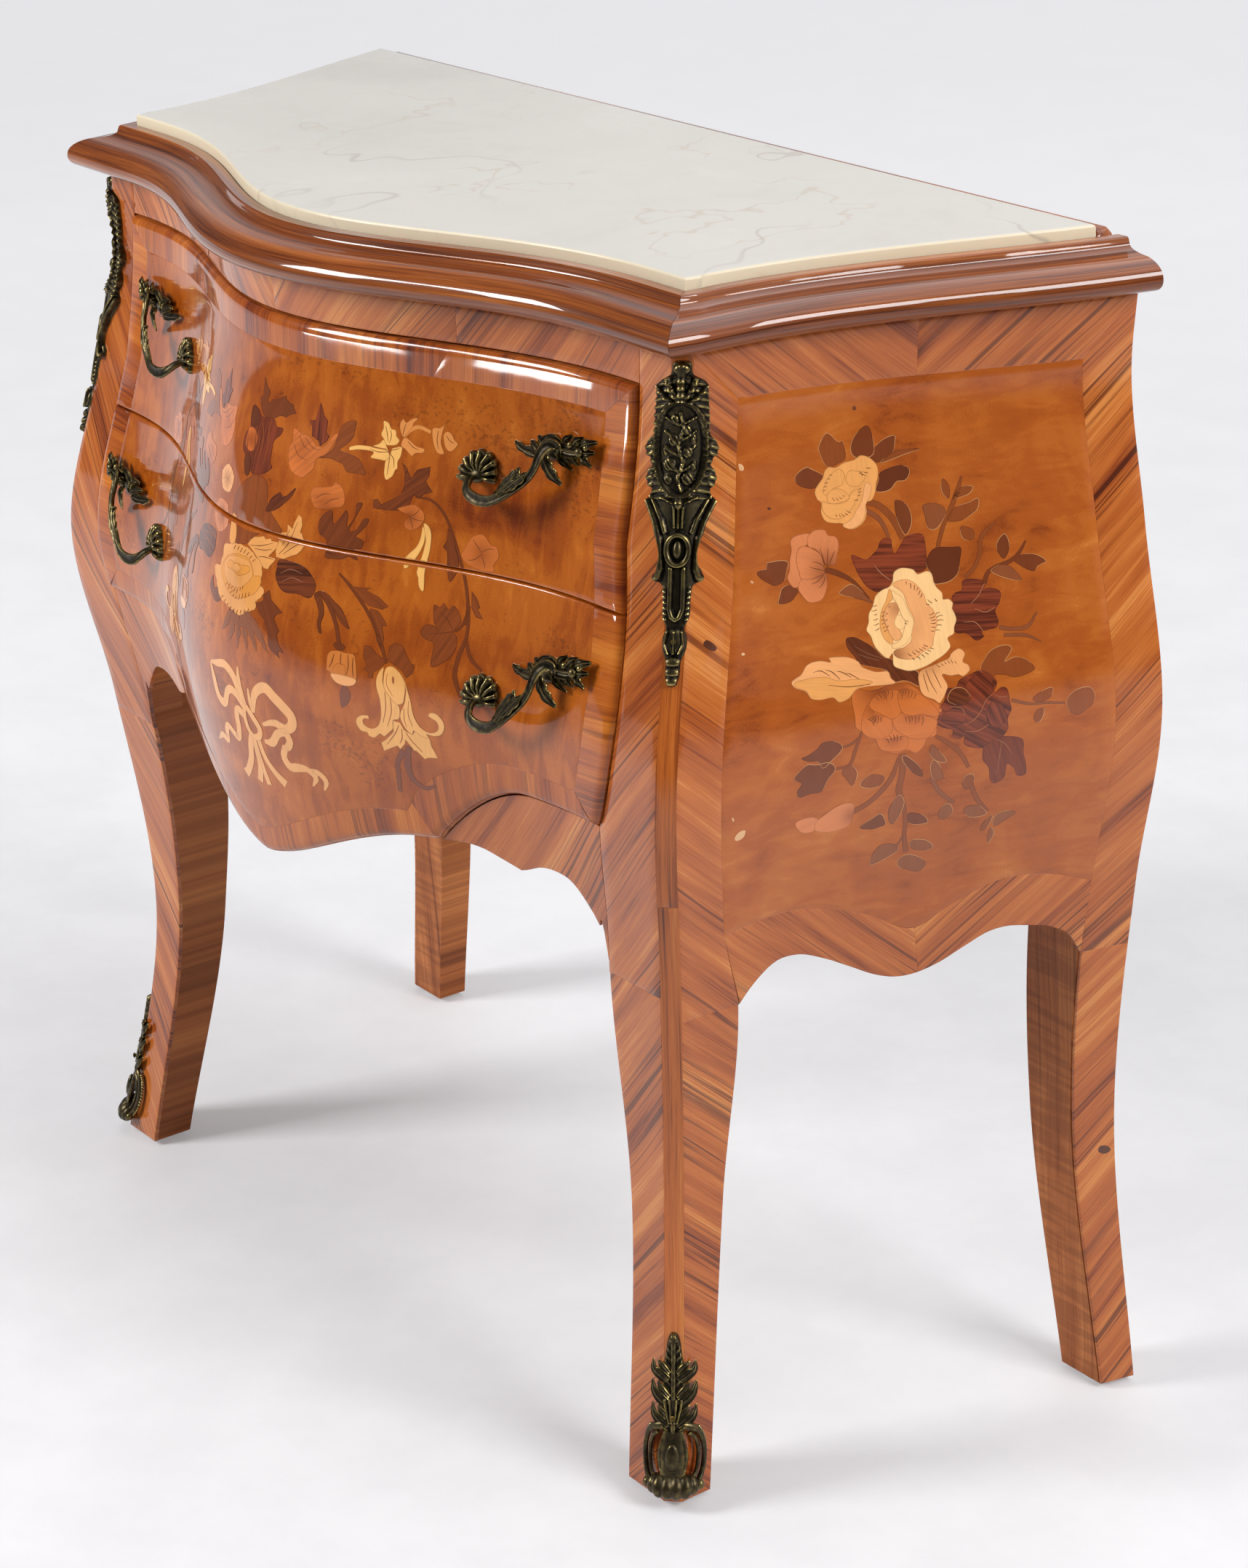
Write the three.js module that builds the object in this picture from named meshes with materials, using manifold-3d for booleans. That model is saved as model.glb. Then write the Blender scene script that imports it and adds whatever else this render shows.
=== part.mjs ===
// Commode chest: a bombe case with two drawers, a serpentine front and a marble slab let into its top.
// Millimetres, +X to the right, the front faces -Y, +Z up, origin on the floor under the middle.
// Places are worked out as (x, reach, z), where reach is the distance forward of the flat back.
import * as THREE from 'three';
import { mergeVertices } from 'three/addons/utils/BufferGeometryUtils.js';
import Module from 'manifold-3d';

const wasm = await Module();
wasm.setup();

// Overall
const total_height = 780;
const marble_thickness = 20;
const top_board_thickness = 18;
const seat_gap = 0.3;
const overrun = 40;
const case_height = total_height - marble_thickness - top_board_thickness - 2 * seat_gap;

// Corner lines of the case, from the foot to the head, in shares of the belly's sizes
const front_half_width = 357;
const front_reach = 326;
const back_half_width = 441;
const front_bulge = 70;
const level_shares = [0, 0.256, 0.486, 0.654, 0.81, 0.944, 1];
const front_width_shares = [0.966, 0.896, 0.947, 1, 0.955, 0.919, 0.924];
const front_reach_shares = [1.021, 0.936, 0.963, 1, 0.923, 0.871, 0.865];
const back_width_shares = [0.957, 0.909, 0.95, 1, 0.961, 0.932, 0.943];
const bulge_shares = [0.98, 0.98, 0.985, 1.01, 1.04, 0.93, 0.97];
const bulge_sharpness_share = 1.25;
const chamfer = 9;
const side_hollow = 13;
const side_hollow_peak_share = 27 / 4;

// Front: rail, drawers and brackets
const top_rail_height = 25;
const upper_front_height = 134;
const lower_front_height = 132;
const stile_width = 58.5;
const opening_half_width = front_half_width - stile_width;
const opening_flare = 16;
const flare_height = 170;
const flare_skew_share = 0.75;
const front_thickness = 18;
const front_proud = 5;
const drawer_gap = 1.2;
const apron_drop = 93;
const apron_rise = 45;
const apron_round_share = 1.5;
const bracket_width = 143.5;
const bracket_start = opening_half_width - bracket_width;
const bracket_curve_share = 0.557;
const bracket_round_share = 0.9;
const bracket_foot_drop = 57;
const bracket_edge_shares = [
  [0, 0], [0.1, 0.02], [0.225, 0], [0.34, -0.08], [0.444, -0.15], [0.484, -0.12], [0.575, -0.035],
  [0.69, -0.01], [0.8, -0.07], [0.89, -0.26], [0.96, -0.47], [0.995, -0.63], [1, -0.86],
];

// Legs and posts
const knee_height = 60;
const front_leg_width = 44;
const front_leg_depth = 51;
const front_leg_width_shares = [1.06, 1, 1.4, 1.4];
const front_leg_depth_shares = [0.61, 0.78, 1, 0.824];
const back_leg_width = 50;
const back_leg_depth = 33;
const back_leg_width_shares = [0.88, 1, 1.2, 1.2];
const back_leg_depth_shares = [0.73, 0.88, 1, 1];
const glide_radius = 10;
const glide_height = 3.5;
const glide_nail_radius = 1.5;
const glide_nail_length = 12;
const glide_sides = 16;

// Sides and back
const panel_thickness = 18;
const back_thickness = 12;
const side_apron_depth = 31;
const side_apron_shares = [
  [0, 0.19], [0.02, 0.39], [0.055, 0.68], [0.1, 0.94], [0.165, 1], [0.25, 0.77], [0.33, 0.45],
  [0.41, 0.13], [0.465, 0], [0.52, 0], [0.58, 0.13], [0.66, 0.45], [0.72, 0.68], [0.77, 0.74],
  [0.83, 0.68], [0.91, 0.52], [0.965, 0.23], [1, -0.19],
];
const side_apron_drop = 23.4;

// Boards inside the case
const board_thickness = 12;
const middle_board_lift = 4;
const bottom_board_lift = 1;
const guide_width = 10;
const guide_height = 12;

// Drawer boxes
const box_clearance = 1;
const box_side_thickness = 12;
const box_back_thickness = 11;
const box_bottom_thickness = 6;
const box_bottom_lift = 6;
const box_head_room = 6;
const box_back_drop = 8;
const box_tail_room = 8;

// Top
const moulding_height = 31;
const marble_inset = 18;
const marble_clearance = 0.6;
const nose_width = 20;
const flat_width = 9;
const head_corner_share = 0.7;
const moulding_shares = [
  [0.06, 0.83], [0.17, 0.77], [0.36, 0.73], [0.6, 0.7], [0.82, 0.61], [0.96, 0.48], [1, 0.33],
  [0.97, 0.21], [0.86, 0.11], [0.66, 0.04],
];
const back_strip_thickness = 12;
const back_strip_drop = 4;
const back_strip_round_share = 0.3;

// Cast mounts: levels are heights, half widths are measured round the corner
const mount_drop = 4.4;
const mount_top = case_height - mount_drop;
const mount_length = 186;
const mount_half_width = 24;
const mount_thickness = 7;
const mount_edge_share = 0.33;
const mount_side_share = 0.9;
const mount_sunk_share = 0.33;
const mount_shares = [
  [0, 0.2, 0.5], [0.03, 0.3, 0.7], [0.07, 0.4, 0.6], [0.12, 0.78, 0.7], [0.19, 0.95, 0.8],
  [0.27, 1, 0.9], [0.35, 0.92, 0.9], [0.43, 0.85, 0.8], [0.5, 0.78, 0.7], [0.55, 0.5, 0.8],
  [0.6, 0.36, 0.9], [0.65, 0.5, 0.9], [0.7, 0.42, 0.8], [0.78, 0.34, 0.8], [0.86, 0.28, 0.6],
  [0.94, 0.2, 0.6], [1, 0.08, 0.4],
];
const sabot_top = 112;
const sabot_bottom = 8;
const sabot_half_width = 21;
const sabot_thickness = 12;
const sabot_shares = [
  [0, 0.1, 0.2], [0.12, 0.3, 0.3], [0.26, 0.55, 0.35], [0.4, 0.62, 0.4], [0.52, 0.6, 0.5],
  [0.62, 0.85, 0.5], [0.74, 1, 0.55], [0.84, 0.95, 0.7], [0.92, 0.72, 1], [1, 0.5, 0.85],
];
const pin_radius = 1.1;
const pin_head_radius = 2.2;
const pin_head_height = 1.5;
const pin_head_round_share = 0.7;
const pin_sides = 10;
const pin_length = 14;
const pin_clearance = 0.3;
const mount_pin_shares = [0.075, 0.86];
const sabot_pin_share = 0.5;

// Cast pulls, drawn on the right and mirrored on the left
const pull_length = 95;
const pull_height = 46;
const pull_projection = 20;
const pull_strap_radius = 3.2;
const pull_rosette_radius = 13;
const pull_foot_thickness = 6;
const pull_foot_lift_share = 0.33;
const pull_spray_height = 9;
const upper_pull_inset = 122.5;
const lower_pull_inset = 99;
const upper_pull_x = opening_half_width - upper_pull_inset;
const lower_pull_x = opening_half_width - lower_pull_inset;
const pull_rise_share = 0.44;
const pull_strap_shares = [
  [0.02, 0.04, 0.1], [0, -0.12, 0.55], [0.06, -0.2, 0.82], [0.2, -0.26, 1], [0.31, -0.23, 1],
  [0.42, -0.08, 0.92], [0.52, 0.12, 0.8], [0.55, 0.35, 0.62], [0.57, 0.58, 0.5], [0.61, 0.66, 0.4],
  [0.66, 0.58, 0.1],
];
const pull_screw_share = 0.6;
const pull_spray_shares = [0.27, 0.98];
const strap_sides = 6;
const strap_steps = 20;
const pull_spray_rise_share = 0.6;
const screw_radius = 2;
const screw_head_radius = 4.5;
const screw_head_height = 2.5;
const screw_head_round_share = 0.6;
const screw_bite = 3.5;

const materials = {
  banding: new THREE.MeshStandardMaterial({ color: 0xb4672f, roughness: 0.25, metalness: 0 }),
  walnut: new THREE.MeshStandardMaterial({ color: 0x9a5524, roughness: 0.2, metalness: 0 }),
  moulding: new THREE.MeshStandardMaterial({ color: 0x8a4a26, roughness: 0.22, metalness: 0 }),
  carcass: new THREE.MeshStandardMaterial({ color: 0x9b7350, roughness: 0.6, metalness: 0 }),
  box: new THREE.MeshStandardMaterial({ color: 0xb98f63, roughness: 0.6, metalness: 0 }),
  marble: new THREE.MeshStandardMaterial({ color: 0xe6dccd, roughness: 0.2, metalness: 0 }),
  bronze: new THREE.MeshStandardMaterial({ color: 0x6d5a36, roughness: 0.45, metalness: 1 }),
  steel: new THREE.MeshStandardMaterial({ color: 0x9a9a98, roughness: 0.4, metalness: 1 }),
  nylon: new THREE.MeshStandardMaterial({ color: 0xb9babb, roughness: 0.5, metalness: 0 }),
};

const chest = new THREE.Group();

// Curves and surfaces of the case

// A smooth line through (position, value) pairs
function smooth(positions, values) {
  const last = positions.length - 1;
  const slope = (i) => (values[i + 1] - values[i]) / (positions[i + 1] - positions[i]);
  const tangents = positions.map((_, i) => {
    if (i === 0) return slope(0);
    if (i === last) return slope(last - 1);
    const before = positions[i] - positions[i - 1];
    const after = positions[i + 1] - positions[i];
    return (slope(i - 1) * after + slope(i) * before) / (before + after);
  });
  return (p) => {
    const held = THREE.MathUtils.clamp(p, positions[0], positions[last]);
    let i = 0;
    while (i < last - 1 && held > positions[i + 1]) i += 1;
    const span = positions[i + 1] - positions[i];
    const t = (held - positions[i]) / span;
    const rest = 1 - t;
    return (
      values[i] * (1 + 2 * t) * rest * rest
      + values[i + 1] * (3 - 2 * t) * t * t
      + tangents[i] * span * t * rest * rest
      - tangents[i + 1] * span * t * t * rest
    );
  };
}

const levels = level_shares.map((share) => share * case_height);
const along_height = (shares, size) => smooth(levels, shares.map((share) => share * size));
const corner_x = along_height(front_width_shares, front_half_width);
const corner_reach = along_height(front_reach_shares, front_reach);
const back_x = along_height(back_width_shares, back_half_width);
const bulge = along_height(bulge_shares, front_bulge);

// The serpentine plan of the front: 1 in the middle, 0 at the stiles
function serpentine(x) {
  const s = Math.min(Math.abs(x) / opening_half_width, 1);
  return ((1 + Math.cos(Math.PI * s)) / 2) ** bulge_sharpness_share;
}

const front_surface = (x, z) => corner_reach(z) + bulge(z) * serpentine(x);

// The side's x at a reach and a level, hollow towards the front
function side_x(reach, z) {
  const start = corner_reach(z) - chamfer;
  const t = THREE.MathUtils.clamp((start - reach) / start, 0, 1);
  const hollow = side_hollow * side_hollow_peak_share * t * (1 - t) ** 2;
  const from = corner_x(z) + chamfer;
  return from + (back_x(z) - from) * t - hollow;
}

// Levels of the front's parts
const opening_top = case_height - top_rail_height;
const seam_level = opening_top - upper_front_height;
const bracket_top = seam_level - lower_front_height;
const apron_low = bracket_top - apron_drop;
const apron_high = apron_low + apron_rise;
const arch_foot = apron_high - bracket_foot_drop;

function opening_edge(z) {
  const t = THREE.MathUtils.clamp((z - bracket_top) / flare_height, 0, 1);
  return opening_half_width + opening_flare * Math.sin(Math.PI * t ** flare_skew_share);
}

// Posts

const leg_levels = [0, levels[1], arch_foot, arch_foot + knee_height];
const in_sizes = (shares, size) => smooth(leg_levels, shares.map((share) => share * size));
const front_width = in_sizes(front_leg_width_shares, front_leg_width);
const front_depth = in_sizes(front_leg_depth_shares, front_leg_depth);
const back_width = in_sizes(back_leg_width_shares, back_leg_width);
const back_depth = in_sizes(back_leg_depth_shares, back_leg_depth);

function front_post_inner(z) {
  if (z >= bracket_top) return opening_edge(z);
  const foot_x = corner_x(arch_foot) + chamfer - front_width(arch_foot);
  if (z >= arch_foot) {
    const t = (z - arch_foot) / (bracket_top - arch_foot);
    return foot_x + (opening_edge(bracket_top) - foot_x) * t;
  }
  return corner_x(z) + chamfer - front_width(z);
}

const back_post_inner = (z) => back_x(Math.min(z, arch_foot)) - back_width(z);

// Rings are lists of [x, reach, z]; grow moves the outside faces out
function front_post_ring(z, grow = 0) {
  const inner = front_post_inner(z) - grow;
  const reach = corner_reach(z);
  const depth = front_depth(z);
  const back = reach - depth - grow;
  const middle = (reach - chamfer + back) / 2;
  return [
    [inner, reach + grow, z],
    [corner_x(z) + grow / 2, reach + grow, z],
    [corner_x(z) + chamfer + grow, reach - chamfer + grow / 2, z],
    [side_x(middle, z) + grow, middle, z],
    [side_x(back, z) + grow, back, z],
    [inner, back, z],
  ];
}

function back_post_ring(z) {
  const front = back_depth(z);
  return [
    [back_post_inner(z), front, z],
    [side_x(front, z), front, z],
    [side_x(front / 2, z), front / 2, z],
    [back_x(z), 0, z],
    [back_post_inner(z), 0, z],
  ];
}

// Solids

function geometry_from(positions, indices) {
  const geometry = new THREE.BufferGeometry();
  geometry.setAttribute('position', new THREE.Float32BufferAttribute(positions, 3));
  geometry.setIndex(indices);
  return geometry;
}

function signed_volume(positions, indices) {
  const corner = (i) => new THREE.Vector3().fromArray(positions, 3 * indices[i]);
  let sum = 0;
  for (let i = 0; i < indices.length; i += 3) {
    sum += corner(i).dot(corner(i + 1).cross(corner(i + 2)));
  }
  return sum / 6;
}

// A closed solid through rings of equally many points; flat picks the two axes that an end cap lies in
function loft(rings, flat) {
  const count = rings[0].length;
  const positions = rings.flat().flatMap(([x, reach, z]) => [x, -reach, z]);
  const indices = [];
  for (let r = 0; r < rings.length - 1; r += 1) {
    for (let i = 0; i < count; i += 1) {
      const a = r * count + i;
      const b = r * count + ((i + 1) % count);
      indices.push(a, b, b + count, a, b + count, a + count);
    }
  }
  const cap = (ring, base, wanted) => {
    const outline = ring.map((point) => new THREE.Vector2(point[flat[0]], point[flat[1]]));
    const triangles = THREE.ShapeUtils.triangulateShape(outline, []);
    const wound = THREE.ShapeUtils.area(outline) > 0;
    for (const [a, b, c] of triangles) {
      const turned = (new THREE.Vector2().subVectors(outline[b], outline[a])
        .cross(new THREE.Vector2().subVectors(outline[c], outline[a])) > 0) === wound;
      if (turned === wanted) indices.push(base + a, base + b, base + c);
      else indices.push(base + a, base + c, base + b);
    }
  };
  cap(rings[0], 0, false);
  cap(rings[rings.length - 1], (rings.length - 1) * count, true);
  if (signed_volume(positions, indices) < 0) indices.reverse();
  return geometry_from(positions, indices);
}

// An outline of (a, b) points pushed along an axis; plane says which places a and b are
function prism(outline, plane, from, to) {
  const ring = (depth) => outline.map(([a, b]) => {
    if (plane === 'front') return [a, depth, b];
    if (plane === 'side') return [depth, a, b];
    return [a, b, depth];
  });
  const flat = { front: [0, 2], side: [1, 2], plan: [0, 1] }[plane];
  return loft([ring(from), ring(to)], flat);
}

function box(x, reach, z) {
  return prism([[x[0], reach[0]], [x[1], reach[0]], [x[1], reach[1]], [x[0], reach[1]]], 'plan', z[0], z[1]);
}

// A turned solid whose axis runs from a place towards a direction
function turned(profile, sides, place, direction) {
  const geometry = new THREE.LatheGeometry(profile.map(([r, h]) => new THREE.Vector2(r, h)), sides);
  const way = new THREE.Vector3(direction[0], -direction[1], direction[2]).normalize();
  geometry.applyQuaternion(new THREE.Quaternion().setFromUnitVectors(new THREE.Vector3(0, 1, 0), way));
  geometry.translate(place[0], -place[1], place[2]);
  return geometry;
}

function to_manifold(geometry) {
  const bare = geometry.clone();
  bare.deleteAttribute('normal');
  bare.deleteAttribute('uv');
  const merged = mergeVertices(bare);
  return new wasm.Manifold(new wasm.Mesh({
    numProp: 3,
    vertProperties: new Float32Array(merged.attributes.position.array),
    triVerts: new Uint32Array(merged.index.array),
  }));
}

function from_manifold(solid) {
  const mesh = solid.getMesh();
  return geometry_from(Array.from(mesh.vertProperties), Array.from(mesh.triVerts));
}

const cut = (body, ...tools) => from_manifold(
  tools.reduce((left, tool) => left.subtract(to_manifold(tool)), to_manifold(body)),
);
const join = (first, ...others) => from_manifold(
  others.reduce((whole, other) => whole.add(to_manifold(other)), to_manifold(first)),
);
const common = (first, second) => from_manifold(to_manifold(first).intersect(to_manifold(second)));

function mirrored(geometry) {
  const copy = geometry.clone();
  copy.applyMatrix4(new THREE.Matrix4().makeScale(-1, 1, 1));
  const index = Array.from(copy.index.array).reverse();
  copy.setIndex(index);
  return copy;
}

function add(name, geometry, material) {
  const mesh = new THREE.Mesh(geometry, materials[material]);
  mesh.name = name;
  chest.add(mesh);
  return mesh;
}

function add_pair(name, right, material) {
  add(`${name}_right`, right, material);
  add(`${name}_left`, mirrored(right), material);
}

// Equally spaced values, both ends included
function spread(from, to, steps) {
  return Array.from({ length: steps + 1 }, (_, i) => from + ((to - from) * i) / steps);
}

const leg_bottom = glide_height + seat_gap;
const post_steps = 30;
const post_levels = spread(leg_bottom, case_height, post_steps);

const drill = (place, direction, radius, length) => (
  turned([[0, 0], [radius, 0], [radius, length], [0, length]], pin_sides, place, direction)
);

// Feet

const foot_x = (front_post_inner(leg_bottom) + corner_x(leg_bottom) + chamfer) / 2;
const foot_reach = corner_reach(leg_bottom) - front_depth(leg_bottom) / 2;
const back_foot_x = (back_post_inner(leg_bottom) + back_x(leg_bottom)) / 2;
const back_foot_reach = back_depth(leg_bottom) / 2;
const up = [0, 0, 1];
const forward = [0, 1, 0];

function glide(x, reach) {
  return turned([
    [0, 0], [glide_radius - glide_height / 2, 0], [glide_radius, glide_height / 2],
    [glide_radius, glide_height], [glide_nail_radius, glide_height],
    [glide_nail_radius, glide_height + glide_nail_length], [0, glide_height + glide_nail_length],
  ], glide_sides, [x, reach, 0], up);
}

function glide_hole(x, reach) {
  return drill([x, reach, 0], up, glide_nail_radius + seat_gap, glide_height + glide_nail_length + seat_gap);
}

add_pair('glide_front', glide(foot_x, foot_reach), 'nylon');
add_pair('glide_back', glide(back_foot_x, back_foot_reach), 'nylon');

// Corner mounts and sabots wrap the chamfered corner of the front posts

// Half of the wrapped ring lies on the front face, half on the side face
function wrap_ring(z, half_width, thickness) {
  const reach = corner_reach(z);
  const x = corner_x(z);
  const edge = thickness * mount_edge_share;
  const arm = Math.max(half_width - chamfer / 2, edge);
  const side_reach = reach - chamfer - arm;
  const sunk = chamfer * mount_sunk_share;
  const side = side_x(side_reach, z);
  return [
    [x - arm, reach - sunk, z],
    [x - arm, reach + edge, z],
    [x, reach + thickness, z],
    [x + chamfer + thickness / 2, reach - chamfer + thickness * mount_side_share, z],
    [side_x(reach - chamfer - arm / 2, z) + thickness * mount_side_share, reach - chamfer - arm / 2, z],
    [side + edge, side_reach, z],
    [side - sunk, side_reach, z],
    [x + chamfer / 2 - sunk, reach - chamfer / 2 - sunk, z],
  ];
}

function wrapped_mount(shares, top, length, half_width, thickness) {
  return loft(shares.map(([down, wide, thick]) => (
    wrap_ring(top - down * length, wide * half_width, thick * thickness)
  )).reverse(), [0, 1]);
}

const grown_post = loft(post_levels.map((z) => front_post_ring(z, seat_gap)), [0, 1]);
const corner_way = [1, 1, 0];
const mount_pin_levels = mount_pin_shares.map((share) => mount_top - share * mount_length);
const sabot_length = sabot_top - sabot_bottom;
const sabot_pin_level = sabot_top - sabot_pin_share * sabot_length;
const pin_levels = [...mount_pin_levels, sabot_pin_level];
const strip_place = (z) => [corner_x(z) + chamfer / 2, corner_reach(z) - chamfer / 2, z];

// The pin's head sits on the mount, whose thickness there is looked up in its shares
function thickness_at(shares, down_share, thickness) {
  const positions = shares.map(([down]) => down);
  return smooth(positions, shares.map(([, , thick]) => thick * thickness))(down_share);
}

function pin(z, mount_depth) {
  const [x, reach] = strip_place(z);
  const head = mount_depth + pin_clearance;
  const step = Math.SQRT1_2;
  const start = pin_length - head;
  const place = [x - start * step, reach - start * step, z];
  return turned([
    [0, 0], [pin_radius, pin_radius], [pin_radius, pin_length],
    [pin_head_radius, pin_length],
    [pin_head_radius * pin_head_round_share, pin_length + pin_head_height * pin_head_round_share],
    [0, pin_length + pin_head_height],
  ], pin_sides, place, corner_way);
}

function pin_hole(z) {
  const [x, reach] = strip_place(z);
  const step = Math.SQRT1_2 * (pin_length + pin_clearance);
  return drill([x - step, reach - step, z], corner_way, pin_radius + pin_clearance, 2 * pin_length);
}

const pin_depths = [
  ...mount_pin_shares.map((share) => thickness_at(mount_shares, share, mount_thickness)),
  thickness_at(sabot_shares, sabot_pin_share, sabot_thickness),
];
const corner_mount = cut(
  wrapped_mount(mount_shares, mount_top, mount_length, mount_half_width, mount_thickness),
  grown_post,
  ...mount_pin_levels.map(pin_hole),
);
const sabot = cut(
  wrapped_mount(sabot_shares, sabot_top, sabot_length, sabot_half_width, sabot_thickness),
  grown_post,
  pin_hole(sabot_pin_level),
);
add_pair('corner_mount', corner_mount, 'bronze');
add_pair('sabot', sabot, 'bronze');
add_pair('corner_pin_upper', pin(pin_levels[0], pin_depths[0]), 'bronze');
add_pair('corner_pin_lower', pin(pin_levels[1], pin_depths[1]), 'bronze');
add_pair('sabot_pin', pin(pin_levels[2], pin_depths[2]), 'bronze');

// Corner posts

const front_leg = cut(
  loft(post_levels.map((z) => front_post_ring(z)), [0, 1]),
  glide_hole(foot_x, foot_reach),
  ...pin_levels.map(pin_hole),
);
add_pair('front_leg', front_leg, 'banding');
add_pair('back_leg', cut(
  loft(post_levels.map(back_post_ring), [0, 1]),
  glide_hole(back_foot_x, back_foot_reach),
), 'banding');

// Side panels, between the posts, cut to the apron's outline

const side_steps = 8;
const side_front = (z) => corner_reach(z) - front_depth(z) - seat_gap;
const side_back = back_depth(arch_foot) + seat_gap;

function side_panel_ring(z) {
  const reaches = spread(side_front(z), side_back, side_steps);
  const outside = reaches.map((reach) => [side_x(reach, z), reach, z]);
  const inside = reaches.map((reach) => [side_x(reach, z) - panel_thickness, reach, z]);
  return [...outside, ...inside.reverse()];
}

const side_apron_low = arch_foot - side_apron_drop;
const apron_base = side_apron_low - side_apron_depth;
const panel_levels = post_levels.filter((z) => z > apron_base);
const apron_span = side_front(side_apron_low) - side_back;
const apron_outline = side_apron_shares.map(([back, rise]) => [
  side_front(side_apron_low) - back * apron_span,
  side_apron_low + rise * side_apron_depth,
]);
const apron_cutter = prism([
  [side_front(side_apron_low) + overrun, apron_outline[0][1]],
  ...apron_outline,
  [side_back - overrun, apron_outline[apron_outline.length - 1][1]],
  [side_back - overrun, apron_base - overrun],
  [side_front(side_apron_low) + overrun, apron_base - overrun],
], 'side', 0, back_half_width + overrun);
const side_panel = cut(loft(panel_levels.map(side_panel_ring), [0, 1]), apron_cutter);
add_pair('side_panel', side_panel, 'walnut');

// Front blocks: the bombe surface outside, an upright serpentine face inside

const front_steps = 22;
const outline_steps = 8;
const block_step = 22;
const widest = opening_half_width + opening_flare;
const front_columns = spread(-widest, widest, front_steps);
// The columns from the middle out to a limit, so that neighbours share their facets
const columns_to = (limit) => [0, ...front_columns.filter((x) => x > seat_gap && x < limit), limit];
const least_reach = (from, to) => Math.min(...spread(from, to, outline_steps).map(corner_reach));
const upper_inner_reach = least_reach(seam_level, case_height) - front_thickness;
const lower_inner_reach = least_reach(apron_low, seam_level) - front_thickness;
const inner_face = (x, inner_reach) => inner_reach + front_bulge * serpentine(x);

function front_block(from, to, inner_reach, proud) {
  const ring = (z) => {
    const outside = front_columns.map((x) => [x, front_surface(x, z) + proud, z]);
    const inside = front_columns.map((x) => [x, inner_face(x, inner_reach), z]);
    return [...outside, ...inside.reverse()];
  };
  const steps = Math.ceil((to - from) / block_step);
  return loft(spread(from, to, steps).map(ring), [0, 1]);
}

// Keeps what lies inside an outline of (x, z) points
const farthest = front_reach + front_bulge + overrun;
const keep = (block, outline) => common(block, prism(outline, 'front', 0, farthest));
const both_sides = (half) => [...half.map(([x, z]) => [-x, z]).reverse(), ...half];

const upper_outline = spread(seam_level + drawer_gap / 2, opening_top - drawer_gap, outline_steps)
  .map((z) => [opening_edge(z) - drawer_gap, z]);
const upper_block = front_block(seam_level, opening_top, upper_inner_reach, front_proud);
const upper_front_solid = keep(upper_block, both_sides(upper_outline));

const rail_block = front_block(opening_top, case_height, upper_inner_reach, 0);
const rail_edge = opening_half_width - seat_gap;
const rail_outline = both_sides([[rail_edge, opening_top], [rail_edge, case_height]]);
add('top_rail', keep(rail_block, rail_outline), 'banding');

// The seam between the lower drawer and the bracket rises from the inner tip
const bracket_curve_width = bracket_curve_share * bracket_width;
function bracket_seam(x) {
  const t = THREE.MathUtils.clamp((x - bracket_start) / bracket_curve_width, 0, 1);
  return apron_high + (bracket_top - apron_high) * Math.sin((Math.PI / 2) * t) ** bracket_round_share;
}

function apron_edge(x) {
  const rising = Math.sin(((Math.PI / 2) * x) / bracket_start);
  return apron_low + apron_rise * rising ** apron_round_share;
}

const apron_xs = spread(0, bracket_start, outline_steps);
const curve_xs = spread(bracket_start, bracket_start + bracket_curve_width, outline_steps);
const seam_xs = [...curve_xs.slice(1), opening_half_width];
const edge_levels = spread(bracket_top, seam_level - drawer_gap / 2, outline_steps);
const lowest_edge = opening_edge(bracket_top) - drawer_gap;
const lower_outline = [
  ...apron_xs.slice(1).map((x) => [x, apron_edge(x)]),
  ...seam_xs.map((x) => [Math.min(x, lowest_edge), bracket_seam(x) + drawer_gap]),
  ...edge_levels.slice(1).map((z) => [opening_edge(z) - drawer_gap, z]),
];
const lower_block = front_block(apron_low - overrun, seam_level, lower_inner_reach, front_proud);
const lower_front_solid = keep(lower_block, [
  ...lower_outline.map(([x, z]) => [-x, z]).reverse(),
  [0, apron_low],
  ...lower_outline,
]);

// Brackets below the lower drawer's ends
const [, bracket_tip_share] = bracket_edge_shares[bracket_edge_shares.length - 1];
const bracket_tip_level = apron_high + bracket_tip_share * bracket_foot_drop;
const bracket_span = front_post_inner(bracket_tip_level) - seat_gap - bracket_start;
const bracket_outline = bracket_edge_shares.map(([across, down]) => [
  bracket_start + across * bracket_span,
  apron_high + down * bracket_foot_drop,
]);
const bracket_levels = spread(bracket_tip_level, bracket_top, outline_steps / 2);
const bracket_side = bracket_levels.slice(1).map((z) => [front_post_inner(z) - seat_gap, z]);
const bracket_seam_line = [...seam_xs.slice(0, -1)].reverse().map((x) => [x, bracket_seam(x)]);
const bracket_block = front_block(arch_foot - overrun, seam_level, lower_inner_reach, 0);
add_pair('apron_bracket', keep(bracket_block, [
  ...bracket_outline,
  ...bracket_side,
  ...bracket_seam_line,
]), 'banding');

// Back panel between the back posts

const back_panel_edge = back_post_inner(case_height) - seat_gap;
add('back_panel', box(
  [-back_panel_edge, back_panel_edge],
  [0, back_thickness],
  [apron_high, case_height],
), 'carcass');

// Boards inside, cut round the posts

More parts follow.
